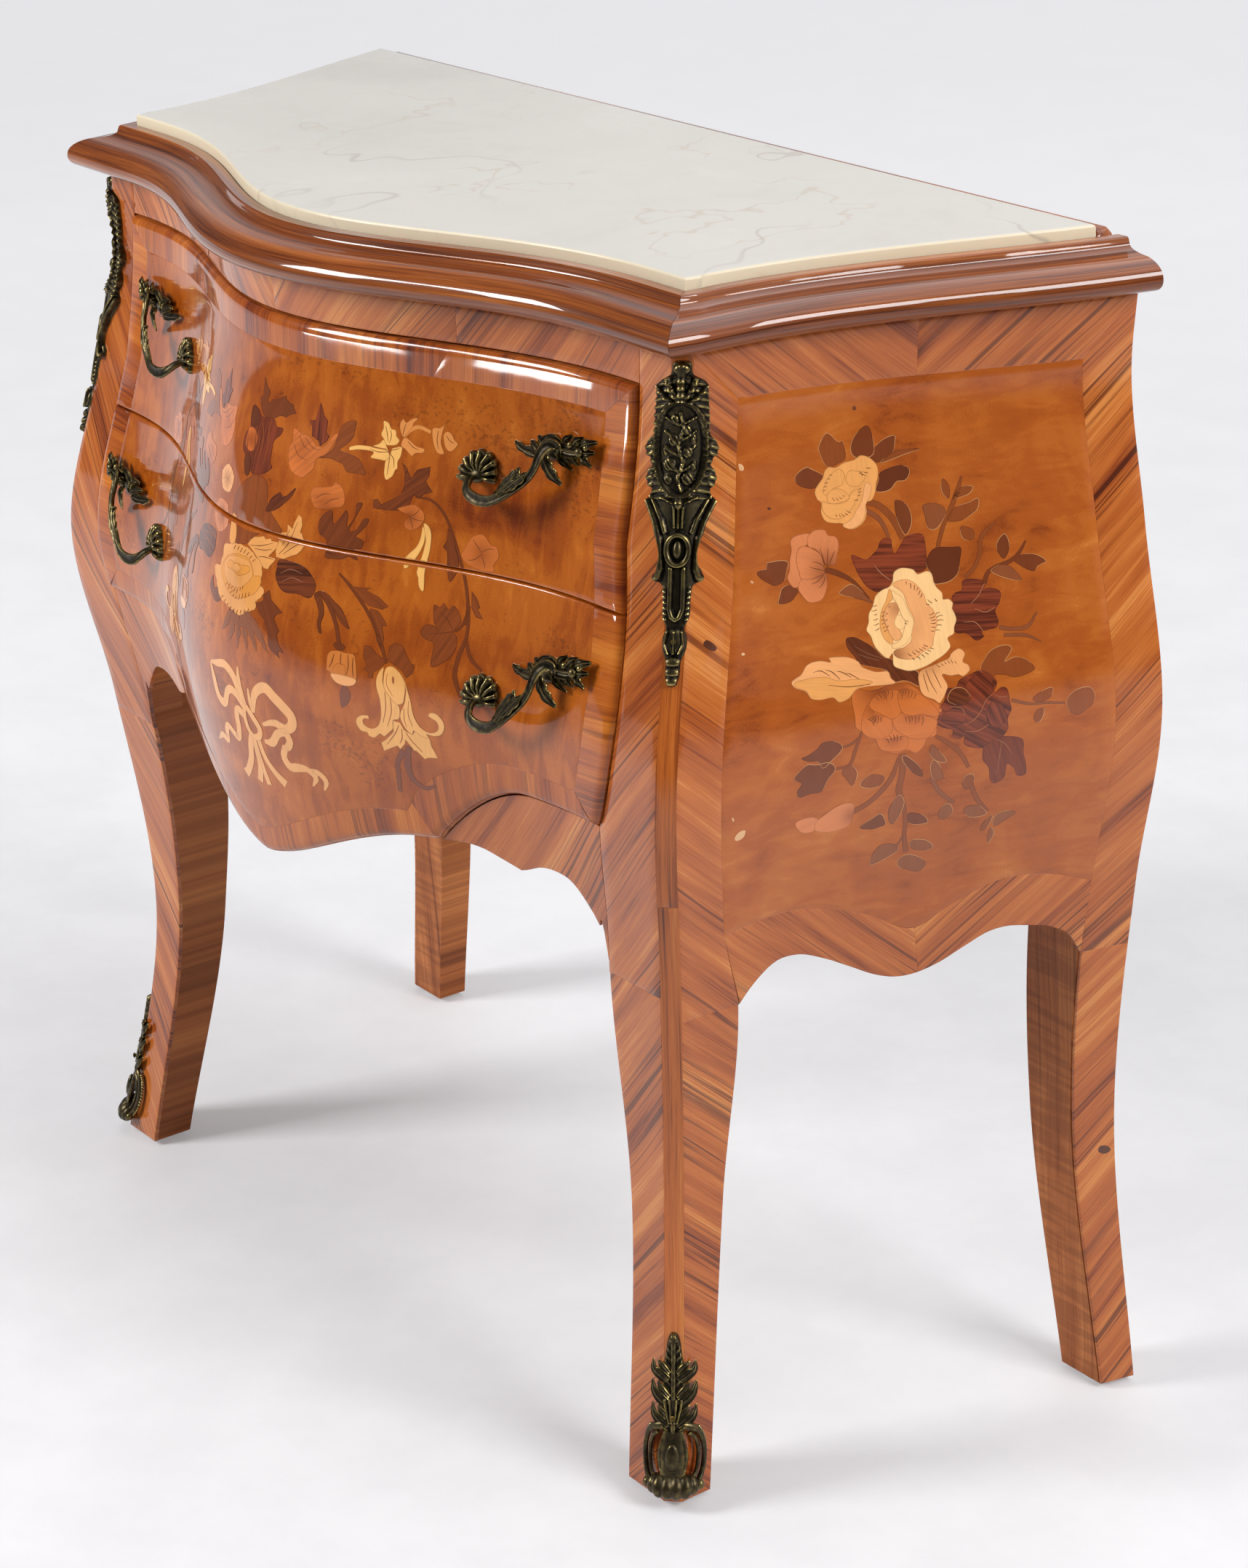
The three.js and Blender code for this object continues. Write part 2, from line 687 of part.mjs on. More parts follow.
function board(top, inner_reach) {
  const bottom = top - board_thickness;
  const ends = [bottom, top];
  const lowest = (f) => Math.min(...ends.map(f)) - seat_gap;
  const post_inner = lowest(front_post_inner);
  const post_back = lowest((z) => corner_reach(z) - front_depth(z)) - seat_gap;
  const back_post_front = back_depth(top) + seat_gap;
  const side_inner = (reach) => lowest((z) => side_x(reach, z) - panel_thickness) - seat_gap;
  const front_line = columns_to(post_inner).map((x) => [x, inner_face(x, inner_reach) - seat_gap]);
  const side_line = spread(post_back, back_post_front, side_steps).map((reach) => [side_inner(reach), reach]);
  const half = [
    ...front_line,
    [post_inner, post_back],
    ...side_line,
    [back_post_inner(top) - seat_gap, back_post_front],
    [back_post_inner(top) - seat_gap, back_thickness + seat_gap],
  ];
  const other = half.slice(1).map(([x, reach]) => [-x, reach]).reverse();
  return prism([...half, ...other], 'plan', bottom, top);
}

// The lower drawer's box runs over the brackets, and its front hangs down before them
const middle_board_top = seam_level + middle_board_lift;
const bottom_board_top = bracket_top + bottom_board_lift;
add('middle_board', board(middle_board_top, upper_inner_reach), 'carcass');
add('bottom_board', board(bottom_board_top, lower_inner_reach), 'carcass');

// Guides at both sides of the drawer boxes

const guide_levels = [bottom_board_top, middle_board_top].flatMap((z) => [z, z + guide_height]);
const opening_inner = Math.min(...guide_levels.flatMap((z) => [front_post_inner(z), back_post_inner(z)]));
const guide_outer = opening_inner - 2 * seat_gap;
const guide_inner = guide_outer - guide_width;
const box_half_width = guide_inner - box_clearance;

function guide(board_top, inner_reach) {
  return box(
    [guide_inner, guide_outer],
    [back_thickness + 2 * seat_gap, inner_reach - box_clearance],
    [board_top + seat_gap, board_top + seat_gap + guide_height],
  );
}

add_pair('upper_guide', guide(middle_board_top, upper_inner_reach), 'carcass');
add_pair('lower_guide', guide(bottom_board_top, lower_inner_reach), 'carcass');

// Drawers: front, box and pulls

// Outward direction of the front surface at a place
function front_normal(x, z) {
  const apart = 2 * front_proud;
  const across = (front_surface(x + apart / 2, z) - front_surface(x - apart / 2, z)) / apart;
  const rising = (front_surface(x, z + apart / 2) - front_surface(x, z - apart / 2)) / apart;
  return new THREE.Vector3(-across, 1, -rising).normalize();
}

// A place over the drawer front: x and z on the surface, out along its normal
function over_front(x, z, out) {
  const normal = front_normal(x, z);
  return new THREE.Vector3(x, front_surface(x, z) + front_proud, z).addScaledVector(normal, out);
}

function flattened_disc(x, z, across, along, thick) {
  const disc = new THREE.SphereGeometry(1, 12, 8);
  disc.scale(across, thick, along);
  const normal = front_normal(x, z);
  disc.applyQuaternion(new THREE.Quaternion().setFromUnitVectors(
    new THREE.Vector3(0, -1, 0),
    new THREE.Vector3(normal.x, -normal.y, normal.z),
  ));
  const place = over_front(x, z, thick * pull_foot_lift_share);
  disc.translate(place.x, -place.y, place.z);
  return disc;
}

const screw_places = (x, z) => [
  [x, z],
  [x + pull_screw_share * pull_length, z + pull_spray_rise_share * pull_height],
];

function screw_hole(x, z, inner_reach) {
  const start = inner_face(x, inner_reach) - screw_head_height - 2 * screw_bite;
  const end = front_surface(x, z) + front_proud + screw_bite;
  return drill([x, start, z], forward, screw_radius + seat_gap, end - start + seat_gap);
}

// The inner face slants under the head, so the head stands on its highest point
function screw(x, z, inner_reach) {
  const seats = [x - screw_head_radius, x, x + screw_head_radius].map((at) => inner_face(at, inner_reach));
  const start = Math.min(...seats) - seat_gap - screw_head_height;
  const end = front_surface(x, z) + front_proud + screw_bite;
  return turned([
    [0, 0], [screw_head_radius * screw_head_round_share, 0], [screw_head_radius, screw_head_height / 2],
    [screw_head_radius, screw_head_height], [screw_radius, screw_head_height],
    [screw_radius, end - start], [0, end - start],
  ], pin_sides, [x, start, z], forward);
}

function pull(x, z, block, inner_reach) {
  const line = pull_strap_shares.map(([along, rise, out]) => {
    const place = over_front(x + along * pull_length, z + rise * pull_height, out * pull_projection);
    return new THREE.Vector3(place.x, -place.y, place.z);
  });
  const section = new THREE.Shape(
    spread(0, 1, strap_sides).slice(0, -1).map((turn) => new THREE.Vector2(
      Math.cos(2 * Math.PI * turn) * pull_strap_radius,
      Math.sin(2 * Math.PI * turn) * pull_strap_radius,
    )),
  );
  const strap = new THREE.ExtrudeGeometry(section, {
    steps: strap_steps,
    bevelEnabled: false,
    extrudePath: new THREE.CatmullRomCurve3(line),
  });
  const [from, to] = pull_spray_shares.map((share) => x + share * pull_length);
  const spray_z = z + pull_spray_rise_share * pull_height;
  const rosette = flattened_disc(x, z, pull_rosette_radius, pull_rosette_radius, pull_foot_thickness);
  const spray_x = (from + to) / 2;
  const spray = flattened_disc(spray_x, spray_z, (to - from) / 2, pull_spray_height, pull_foot_thickness);
  const holes = screw_places(x, z).map(([at, level]) => screw_hole(at, level, inner_reach));
  return cut(join(rosette, strap, spray), block, ...holes);
}

// A block as far forward as the drawer front plus the seat's gap, to trim the pulls' feet
const trim_proud = front_proud + seat_gap;
const upper_trim = front_block(seam_level - overrun, case_height, upper_inner_reach, trim_proud);
const lower_trim = front_block(apron_low - overrun, seam_level, lower_inner_reach, trim_proud);

function drawer(name, front, trim, inner_reach, board_top, opening_height, pull_x, front_bottom, front_top) {
  const pull_z = front_bottom + pull_rise_share * (front_top - front_bottom);
  const places = screw_places(pull_x, pull_z);
  const right_holes = places.map(([x, z]) => screw_hole(x, z, inner_reach));
  const drilled = cut(front, ...right_holes, ...right_holes.map((hole) => mirrored(hole)));
  add(`${name}_front`, drilled, 'walnut');

  const bottom = board_top + seat_gap;
  const top = bottom + opening_height - box_head_room;
  const tail = back_thickness + box_tail_room;
  const side_front_reach = inner_reach - seat_gap;
  const inside = box_half_width - box_side_thickness;
  const between = inside - seat_gap;
  add_pair(`${name}_side`, box([inside, box_half_width], [tail, side_front_reach], [bottom, top]), 'box');
  add(`${name}_back`, box(
    [-between, between],
    [tail, tail + box_back_thickness],
    [bottom + box_bottom_lift, top - box_back_drop],
  ), 'box');
  const floor_half = columns_to(between).map((x) => [x, inner_face(x, inner_reach) - seat_gap]);
  const floor_outline = both_sides([...floor_half.slice(1), [between, tail + box_back_thickness + seat_gap]]);
  const floor_bottom = bottom + box_bottom_lift;
  add(`${name}_bottom`, prism([
    ...floor_outline.slice(0, floor_half.length),
    floor_half[0],
    ...floor_outline.slice(floor_half.length),
  ], 'plan', floor_bottom, floor_bottom + box_bottom_thickness), 'box');

  add_pair(`${name}_pull`, pull(pull_x, pull_z, trim, inner_reach), 'bronze');
  add_pair(`${name}_screw_inner`, screw(...places[0], inner_reach), 'steel');
  add_pair(`${name}_screw_outer`, screw(...places[1], inner_reach), 'steel');
}

drawer(
  'upper', upper_front_solid, upper_trim, upper_inner_reach, middle_board_top,
  opening_top - middle_board_top, upper_pull_x, seam_level, opening_top,
);
drawer(
  'lower', lower_front_solid, lower_trim, lower_inner_reach, bottom_board_top,
  middle_board_top - board_thickness - bottom_board_top, lower_pull_x, bracket_top, seam_level,
);

// Top: the plan line of the head, moved out by an offset

const head = case_height;
const corner_place = [corner_x(head) + chamfer * head_corner_share, corner_reach(head)];

function unit_normal([x0, r0], [x1, r1]) {
  const length = Math.hypot(x1 - x0, r1 - r0);
  return [(r1 - r0) / length, -(x1 - x0) / length];
}

const front_line_steps = 16;
const side_line_steps = 10;
const front_plan = spread(0, corner_place[0], front_line_steps).map((x) => [x, front_surface(x, head)]);
const side_plan = spread(0, 1, side_line_steps).map((t) => {
  if (t === 0) return corner_place;
  const reach = (corner_place[1] - chamfer) * (1 - t);
  return [side_x(reach, head), reach];
});

// Each plan point with the direction in which one millimetre of offset moves it
function with_ways(points, first_way, last_way) {
  return points.map((point, i) => {
    if (i === 0) return { point, way: first_way };
    if (i === points.length - 1) return { point, way: last_way };
    const [nx, nr] = unit_normal(points[i - 1], points[i + 1]);
    return { point, way: [-nx, -nr] };
  });
}

const front_end_normal = [0, 1];
const side_start = unit_normal(side_plan[0], side_plan[2]).map((v) => -v);
const corner_dot = 1 + side_start[1];
const mitre_way = [side_start[0] / corner_dot, (side_start[1] + 1) / corner_dot];
const back_normal = unit_normal(side_plan[side_line_steps - 1], side_plan[side_line_steps]).map((v) => -v);
const front_path = with_ways(front_plan, front_end_normal, mitre_way);
const side_path = with_ways(side_plan, mitre_way, [1 / back_normal[0], 0]);
const moved = ({ point, way }, offset) => [point[0] + way[0] * offset, point[1] + way[1] * offset];

// The plan line's x near the back
function back_line_x(offset, reach) {
  const [before, end] = side_path.slice(-2).map((at) => moved(at, offset));
  return end[0] + ((before[0] - end[0]) * reach) / before[1];
}

// Board under the marble, as large as the case
const plan_outline = (offset, back) => {
  const half = [
    ...front_path.map((at) => moved(at, offset)),
    ...side_path.slice(1, -1).map((at) => moved(at, offset)),
    [back_line_x(offset, back), back],
  ];
  const left = half.slice(1).map(([x, reach]) => [-x, reach]).reverse();
  return [...half, ...left];
};
const top_board_bottom = case_height + seat_gap;
const top_board_top = top_board_bottom + top_board_thickness;
add('top_board', prism(plan_outline(-seat_gap, 0), 'plan', top_board_bottom, top_board_top), 'carcass');

const marble_bottom = top_board_top + seat_gap;
const marble_back = back_strip_thickness + 2 * marble_clearance;
add('marble_top', prism(
  plan_outline(-marble_inset - marble_clearance, marble_back),
  'plan',
  marble_bottom,
  total_height,
), 'marble');

// Moulding: flat beside the marble, a small edge, a hollow and a round nose, rebated over the board
const moulding_bottom = top_board_bottom;
const moulding_top = moulding_bottom + moulding_height;
const flat_end = -marble_inset + flat_width;
const moulding_profile = [
  [0, moulding_bottom],
  [0, top_board_top + seat_gap],
  [-marble_inset, top_board_top + seat_gap],
  [-marble_inset, moulding_top],
  [flat_end, moulding_top],
  ...moulding_shares.map(([out, rise]) => [
    flat_end + out * (nose_width - flat_end),
    moulding_bottom + rise * moulding_height,
  ]),
];
const profile_ring = (at) => moulding_profile.map(([offset, z]) => [...moved(at, offset), z]);

const mitre_gap = seat_gap;
const shifted = (ring, dx, dr) => ring.map(([x, reach, z]) => [x + dx, reach + dr, z]);
const front_half_rings = front_path.map(profile_ring);
const right_end = shifted(front_half_rings[front_line_steps], -mitre_gap, 0);
const right_rings = [...front_half_rings.slice(0, -1), right_end];
const left_rings = right_rings.slice(1).map((ring) => ring.map(([x, reach, z]) => [-x, reach, z])).reverse();
add('moulding_front', loft([...left_rings, ...right_rings], [1, 2]), 'moulding');
add_pair('moulding', loft(side_path.map(profile_ring), [0, 2]), 'moulding');

// Strip behind the marble, between the mouldings' ends
const strip_ends = [0, back_strip_thickness].map((reach) => back_line_x(-marble_inset, reach));
const strip_half = Math.min(...strip_ends) - seat_gap;
const strip_top = total_height - back_strip_drop;
const strip_round = back_strip_thickness / 2;
const strip_cut = strip_round * back_strip_round_share;
add('back_strip', prism([
  [-strip_half, marble_bottom],
  [strip_half, marble_bottom],
  [strip_half, strip_top - strip_round],
  [strip_half - strip_cut, strip_top - strip_cut],
  [strip_half - strip_round, strip_top],
  [strip_round - strip_half, strip_top],
  [strip_cut - strip_half, strip_top - strip_cut],
  [-strip_half, strip_top - strip_round],
], 'front', 0, back_strip_thickness), 'moulding');

// The origin lies under the middle of the whole chest
const extent = new THREE.Box3().setFromObject(chest);
chest.position.y = -(extent.min.y + extent.max.y) / 2;

export default chest;
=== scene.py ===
import math
import random

import bpy
import bmesh
import numpy as np
from mathutils import Matrix, Vector, geometry

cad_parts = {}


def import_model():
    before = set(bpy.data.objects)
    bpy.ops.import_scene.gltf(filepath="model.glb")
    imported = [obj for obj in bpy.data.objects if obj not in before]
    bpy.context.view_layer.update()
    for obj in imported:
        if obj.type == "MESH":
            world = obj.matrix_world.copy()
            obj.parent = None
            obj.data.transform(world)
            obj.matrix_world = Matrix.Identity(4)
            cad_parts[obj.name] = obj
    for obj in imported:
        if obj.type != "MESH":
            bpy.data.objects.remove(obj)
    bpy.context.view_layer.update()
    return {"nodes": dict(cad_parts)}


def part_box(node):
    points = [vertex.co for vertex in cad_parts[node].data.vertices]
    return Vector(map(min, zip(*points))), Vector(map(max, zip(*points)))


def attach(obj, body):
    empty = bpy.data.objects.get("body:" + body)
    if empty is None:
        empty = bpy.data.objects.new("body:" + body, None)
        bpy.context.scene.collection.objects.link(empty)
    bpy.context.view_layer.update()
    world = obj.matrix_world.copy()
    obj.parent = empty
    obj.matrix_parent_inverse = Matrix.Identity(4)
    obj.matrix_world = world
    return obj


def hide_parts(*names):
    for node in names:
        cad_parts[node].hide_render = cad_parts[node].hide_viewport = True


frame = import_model()

# Lengths are millimetres until a mesh is made. A place is (x, reach, z), and reach is the distance
# forward of the flat back, as in the part's source.
MILLIMETRE = 0.001


def node_box(name):
    low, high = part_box(name)
    return np.array(low) / MILLIMETRE, np.array(high) / MILLIMETRE


BACK_PLANE = node_box("back_panel")[1][1]
CASE_HEIGHT = node_box("front_leg_right")[1][2]
LEG_BOTTOM = node_box("front_leg_right")[0][2]

# Corner lines of the case, in shares of the belly's sizes
FRONT_HALF_WIDTH = 357
FRONT_REACH = 326
BACK_HALF_WIDTH = 441
FRONT_BULGE = 70
LEVEL_SHARES = [0, 0.256, 0.486, 0.654, 0.81, 0.944, 1]
FRONT_WIDTH_SHARES = [0.966, 0.896, 0.947, 1, 0.955, 0.919, 0.924]
FRONT_REACH_SHARES = [1.021, 0.936, 0.963, 1, 0.923, 0.871, 0.865]
BACK_WIDTH_SHARES = [0.957, 0.909, 0.95, 1, 0.961, 0.932, 0.943]
BULGE_SHARES = [0.98, 0.98, 0.985, 1.01, 1.04, 0.93, 0.97]
BULGE_SHARPNESS = 1.25
CHAMFER = 9
SIDE_HOLLOW = 13
SIDE_HOLLOW_PEAK = 27 / 4

# Drawers and brackets
SEAT_GAP = 0.3
DRAWER_GAP = 1.2
FRONT_PROUD = 5
OPENING_HALF_WIDTH = 298.5
OPENING_FLARE = 16
FLARE_HEIGHT = 170
FLARE_SKEW = 0.75
UPPER_LOW, UPPER_HIGH = (corner[2] for corner in node_box("upper_front"))
LOWER_LOW, LOWER_HIGH = (corner[2] for corner in node_box("lower_front"))
SEAM_LEVEL = (UPPER_LOW + LOWER_HIGH) / 2
OPENING_TOP = UPPER_HIGH + DRAWER_GAP
LOWER_FRONT_HEIGHT = 132
BRACKET_TOP = SEAM_LEVEL - LOWER_FRONT_HEIGHT
APRON_LOW = LOWER_LOW
APRON_HIGH = APRON_LOW + 45
APRON_ROUND = 1.5
BRACKET_WIDTH = 143.5
BRACKET_START = OPENING_HALF_WIDTH - BRACKET_WIDTH
BRACKET_CURVE_WIDTH = 0.557 * BRACKET_WIDTH
BRACKET_ROUND = 0.9
BRACKET_FOOT_DROP = 57
BRACKET_EDGE_SHARES = [
    (0, 0), (0.1, 0.02), (0.225, 0), (0.34, -0.08), (0.444, -0.15), (0.484, -0.12), (0.575, -0.035),
    (0.69, -0.01), (0.8, -0.07), (0.89, -0.26), (0.96, -0.47), (0.995, -0.63), (1, -0.86),
]
ARCH_FOOT = APRON_HIGH - BRACKET_FOOT_DROP
KNEE_HEIGHT = 60

# Legs and sides
FRONT_LEG_WIDTH = 44
FRONT_LEG_DEPTH = 51
FRONT_LEG_WIDTH_SHARES = [1.06, 1, 1.4, 1.4]
FRONT_LEG_DEPTH_SHARES = [0.61, 0.78, 1, 0.824]
BACK_LEG_WIDTH = 50
BACK_LEG_DEPTH = 33
BACK_LEG_WIDTH_SHARES = [0.88, 1, 1.2, 1.2]
BACK_LEG_DEPTH_SHARES = [0.73, 0.88, 1, 1]
PANEL_THICKNESS = 18
SIDE_APRON_DEPTH = 31
SIDE_APRON_DROP = 23.4
SIDE_APRON_SHARES = [
    (0, 0.19), (0.02, 0.39), (0.055, 0.68), (0.1, 0.94), (0.165, 1), (0.25, 0.77), (0.33, 0.45),
    (0.41, 0.13), (0.465, 0), (0.52, 0), (0.58, 0.13), (0.66, 0.45), (0.72, 0.68), (0.77, 0.74),
    (0.83, 0.68), (0.91, 0.52), (0.965, 0.23), (1, -0.19),
]

# Veneer
VENEER = 3.0
CORE_INSET = 2.8
JOINT_ROUND = 0.12
EDGE_ROUND = 1.0
ARRIS_ROUND = 0.4
DRAWER_ROUND = 7.0
SEAM_ROUND = 1.2
ROUND_DEPTH = 4.4
DRAWER_SKIN = 5.2
DRAWER_CORE_INSET = 5.0
RIBBON_FULLNESS = 1.3
SKIN_INSET = 0.25
BAND_WIDTH = 25
BAND_LOW_WIDTH = 18
BAND_TOP_WIDTH = 20
SIDE_BAND = 33
BACK_BAND = 31.5
CORNER_ROUND = 15.4
INLAY_LIFT = 0.1
INLAY_LEVEL = 0.05
INLAY_DEPTH = 0.3

# Shading angles, above which an edge stays sharp, and the grain's seed shift on the left
SMOOTH_ANGLE = 34
BRONZE_SMOOTH_ANGLE = 50
LEFT_SEED_SHIFT = 17.0

chance = random.Random(11)


# Curves and surfaces, which take arrays

def smooth(positions, values):
    """A smooth line through (position, value) pairs, as in the part's source."""
    positions = np.array(positions, float)
    values = np.array(values, float)
    spans = np.diff(positions)
    slopes = np.diff(values) / spans
    inner = (slopes[:-1] * spans[1:] + slopes[1:] * spans[:-1]) / (spans[:-1] + spans[1:])
    tangents = np.concatenate([slopes[:1], inner, slopes[-1:]])

    def at(p):
        held = np.clip(p, positions[0], positions[-1])
        i = np.clip(np.searchsorted(positions, held, side="left") - 1, 0, len(spans) - 1)
        t = (held - positions[i]) / spans[i]
        rest = 1 - t
        return (
            values[i] * (1 + 2 * t) * rest * rest
            + values[i + 1] * (3 - 2 * t) * t * t
            + tangents[i] * spans[i] * t * rest * rest
            - tangents[i + 1] * spans[i] * t * t * rest
        )
    return at


LEVELS = [share * CASE_HEIGHT for share in LEVEL_SHARES]


def along_height(shares, size):
    """A size that varies over the height of the case."""
    return smooth(LEVELS, [share * size for share in shares])


corner_x = along_height(FRONT_WIDTH_SHARES, FRONT_HALF_WIDTH)
corner_reach = along_height(FRONT_REACH_SHARES, FRONT_REACH)
back_x = along_height(BACK_WIDTH_SHARES, BACK_HALF_WIDTH)
bulge = along_height(BULGE_SHARES, FRONT_BULGE)

LEG_LEVELS = [0, LEVELS[1], ARCH_FOOT, ARCH_FOOT + KNEE_HEIGHT]


def in_leg(shares, size):
    """A size that varies down a leg."""
    return smooth(LEG_LEVELS, [share * size for share in shares])


front_width = in_leg(FRONT_LEG_WIDTH_SHARES, FRONT_LEG_WIDTH)
front_depth = in_leg(FRONT_LEG_DEPTH_SHARES, FRONT_LEG_DEPTH)
back_width = in_leg(BACK_LEG_WIDTH_SHARES, BACK_LEG_WIDTH)
back_depth = in_leg(BACK_LEG_DEPTH_SHARES, BACK_LEG_DEPTH)


def serpentine(x):
    """The front's swell in plan: 1 in the middle, 0 from the opening's edge outward."""
    s = np.minimum(np.abs(x) / OPENING_HALF_WIDTH, 1)
    return ((1 + np.cos(math.pi * s)) / 2) ** BULGE_SHARPNESS


def front_surface(x, z):
    return corner_reach(z) + bulge(z) * serpentine(x)


def side_x(reach, z):
    """The bombé side, hollowed in plan from the chamfer to the back."""
    start = corner_reach(z) - CHAMFER
    t = np.clip((start - reach) / start, 0, 1)
    hollow = SIDE_HOLLOW * SIDE_HOLLOW_PEAK * t * (1 - t) ** 2
    first = corner_x(z) + CHAMFER
    return first + (back_x(z) - first) * t - hollow


def opening_edge(z):
    """The right edge of the drawers' opening, flared over its lower part."""
    t = np.clip((z - BRACKET_TOP) / FLARE_HEIGHT, 0, 1)
    return OPENING_HALF_WIDTH + OPENING_FLARE * np.sin(math.pi * t ** FLARE_SKEW)


def drawer_edge(z):
    return opening_edge(z) - DRAWER_GAP


def front_post_inner(z):
    """The front post's inner edge: down the opening, across the knee and down the leg."""
    z = np.asarray(z, float)
    foot = corner_x(ARCH_FOOT) + CHAMFER - front_width(ARCH_FOOT)
    t = (z - ARCH_FOOT) / (BRACKET_TOP - ARCH_FOOT)
    knee = foot + (opening_edge(BRACKET_TOP) - foot) * t
    leg = corner_x(z) + CHAMFER - front_width(z)
    return np.where(z >= BRACKET_TOP, opening_edge(z), np.where(z >= ARCH_FOOT, knee, leg))


def back_post_inner(z):
    return back_x(np.minimum(z, ARCH_FOOT)) - back_width(z)


def bracket_seam(x):
    """The seam between a bracket and the lower drawer."""
    t = np.clip((np.abs(x) - BRACKET_START) / BRACKET_CURVE_WIDTH, 0, 1)
    return APRON_HIGH + (BRACKET_TOP - APRON_HIGH) * np.sin(math.pi / 2 * t) ** BRACKET_ROUND


def apron_edge(x):
    """The lower drawer's bottom line between the brackets."""
    rising = np.sin(math.pi / 2 * np.minimum(np.abs(x) / BRACKET_START, 1))
    return APRON_LOW + (APRON_HIGH - APRON_LOW) * rising ** APRON_ROUND


def lower_edge(x):
    """The bottom line of the lower drawer's front."""
    return np.where(np.abs(x) < BRACKET_START, apron_edge(x), bracket_seam(x) + DRAWER_GAP)


def stack(*parts):
    return np.stack(np.broadcast_arrays(*[np.asarray(part, float) for part in parts]), axis=-1)


def surface(base, outward):
    """Turns a map from (a, b) to a place into one that also moves out along the normal."""
    apart = 0.5

    def at(a, b, out=0.0):
        here = base(a, b)
        first = base(a + apart, b) - base(a - apart, b)
        second = base(a, b + apart) - base(a, b - apart)
        normal = np.cross(first, second)
        normal = normal / np.linalg.norm(normal, axis=-1, keepdims=True)
        turned = np.sign((normal * np.array(outward)).sum(-1, keepdims=True))
        return here + normal * turned * np.asarray(out, float)[..., None]
    return at


def front_skin(proud):
    """The bombé front, standing proud of the case by so much."""
    return surface(lambda x, z: stack(x, front_surface(x, z) + proud, z), (0, 1, 0))


on_case = front_skin(0)
on_drawer = front_skin(FRONT_PROUD - SKIN_INSET)
on_drawer_core = front_skin(FRONT_PROUD - SKIN_INSET - DRAWER_CORE_INSET)
on_side = surface(lambda reach, z: stack(side_x(reach, z), reach, z), (1, 0, 0))
on_chamfer = surface(lambda s, z: stack(corner_x(z) + s, corner_reach(z) - s, z), (1, 1, 0))


# Meshes: a piece is made of closed shells, each with its own grain

class Shells:
    """The closed shells of one piece, with each place's grain and tint."""

    def __init__(self):
        self.points = []
        self.faces = []
        self.grain = []
        self.tint = []
        self.count = 0

    def add(self, points, faces, grain=None, tint=(1, 1, 1)):
        points = np.asarray(points, float).reshape(-1, 3)
        self.points.append(points)
        self.faces.extend([[i + self.count for i in face] for face in faces])
        self.grain.append(np.zeros((len(points), 3)) if grain is None else grain)
        tint = np.asarray(tint, float)
        if tint.shape[-1] == 3:
            tint = np.concatenate([tint, np.ones(tint.shape[:-1] + (1,))], axis=-1)
        self.tint.append(np.broadcast_to(tint, (len(points), 4)))
        self.count += len(points)


def mirrored(shells):
    """The left twin of a right-hand piece, with grain of its own."""
    other = Shells()
    other.points = [points * np.array([-1, 1, 1]) for points in shells.points]
    other.faces = shells.faces
    other.grain = [grain + np.array([0, 0, LEFT_SEED_SHIFT]) for grain in shells.grain]
    other.tint = shells.tint
    other.count = shells.count
    return other


def make(name, shells, material, body, replaces=(), angle=SMOOTH_ANGLE):
    """One object out of shells: its mesh in metres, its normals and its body."""
    points = np.concatenate(shells.points)
    reach = np.maximum(points[:, 1], 0)
    world = np.column_stack([points[:, 0], BACK_PLANE - reach, points[:, 2]]) * MILLIMETRE
    mesh = bpy.data.meshes.new(name)
    mesh.from_pydata(world.tolist(), [], shells.faces)
    grain = mesh.attributes.new("grain", "FLOAT_VECTOR", "POINT")
    grain.data.foreach_set("vector", np.concatenate(shells.grain).astype(np.float32).ravel())
    tint = np.concatenate(shells.tint)
    colour = mesh.attributes.new("tint", "FLOAT_COLOR", "POINT")
    colour.data.foreach_set("color", tint.astype(np.float32).ravel())
    work = bmesh.new()
    work.from_mesh(mesh)
    bmesh.ops.recalc_face_normals(work, faces=work.faces)
    work.to_mesh(mesh)
    work.free()
    mesh.shade_smooth()
    mesh.set_sharp_from_angle(angle=math.radians(angle))
    mesh.materials.append(material)
    piece = bpy.data.objects.new(name, mesh)
    bpy.context.scene.collection.objects.link(piece)
    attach(piece, body)
    if replaces:
        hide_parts(*replaces)
    return piece


def make_pair(name, shells, material, body, replaces=(), angle=SMOOTH_ANGLE):
    """The right piece and its mirror image on the left."""
    pair = []
    for side, part in (("right", shells), ("left", mirrored(shells))):
        nodes = [f"{node}_{side}" for node in replaces]
        pair.append(make(f"{name}_{side}", part, material, body, nodes, angle))
    return pair


def grid_faces(rows, columns, base=0):
    """The quads of a grid of places."""
    return [
        [base + i * columns + j, base + (i + 1) * columns + j,
         base + (i + 1) * columns + j + 1, base + i * columns + j + 1]
        for i in range(rows - 1) for j in range(columns - 1)
    ]


def border(rows, columns):
    """The grid places round the edge of a grid, in order."""
    return (
        [(i, 0) for i in range(rows)]
        + [(rows - 1, j) for j in range(1, columns)]
        + [(i, columns - 1) for i in range(rows - 2, -1, -1)]
        + [(0, j) for j in range(columns - 2, 0, -1)]
    )


def unit(vectors):
    return vectors / np.maximum(np.linalg.norm(vectors, axis=-1, keepdims=True), 1e-9)


def grain_of(flat, way, seed):
    """Distances along and across the grain, whose direction on the surface is an angle in degrees."""
    turn = math.radians(way)
    a, b = flat[..., 0], flat[..., 1]
    along = a * math.cos(turn) + b * math.sin(turn)
    across = b * math.cos(turn) - a * math.sin(turn)
    return stack(along, across, seed).reshape(-1, 3)


def some_seed():
    """Sets one shell's grain apart from the others'."""
    return chance.uniform(0, 100)


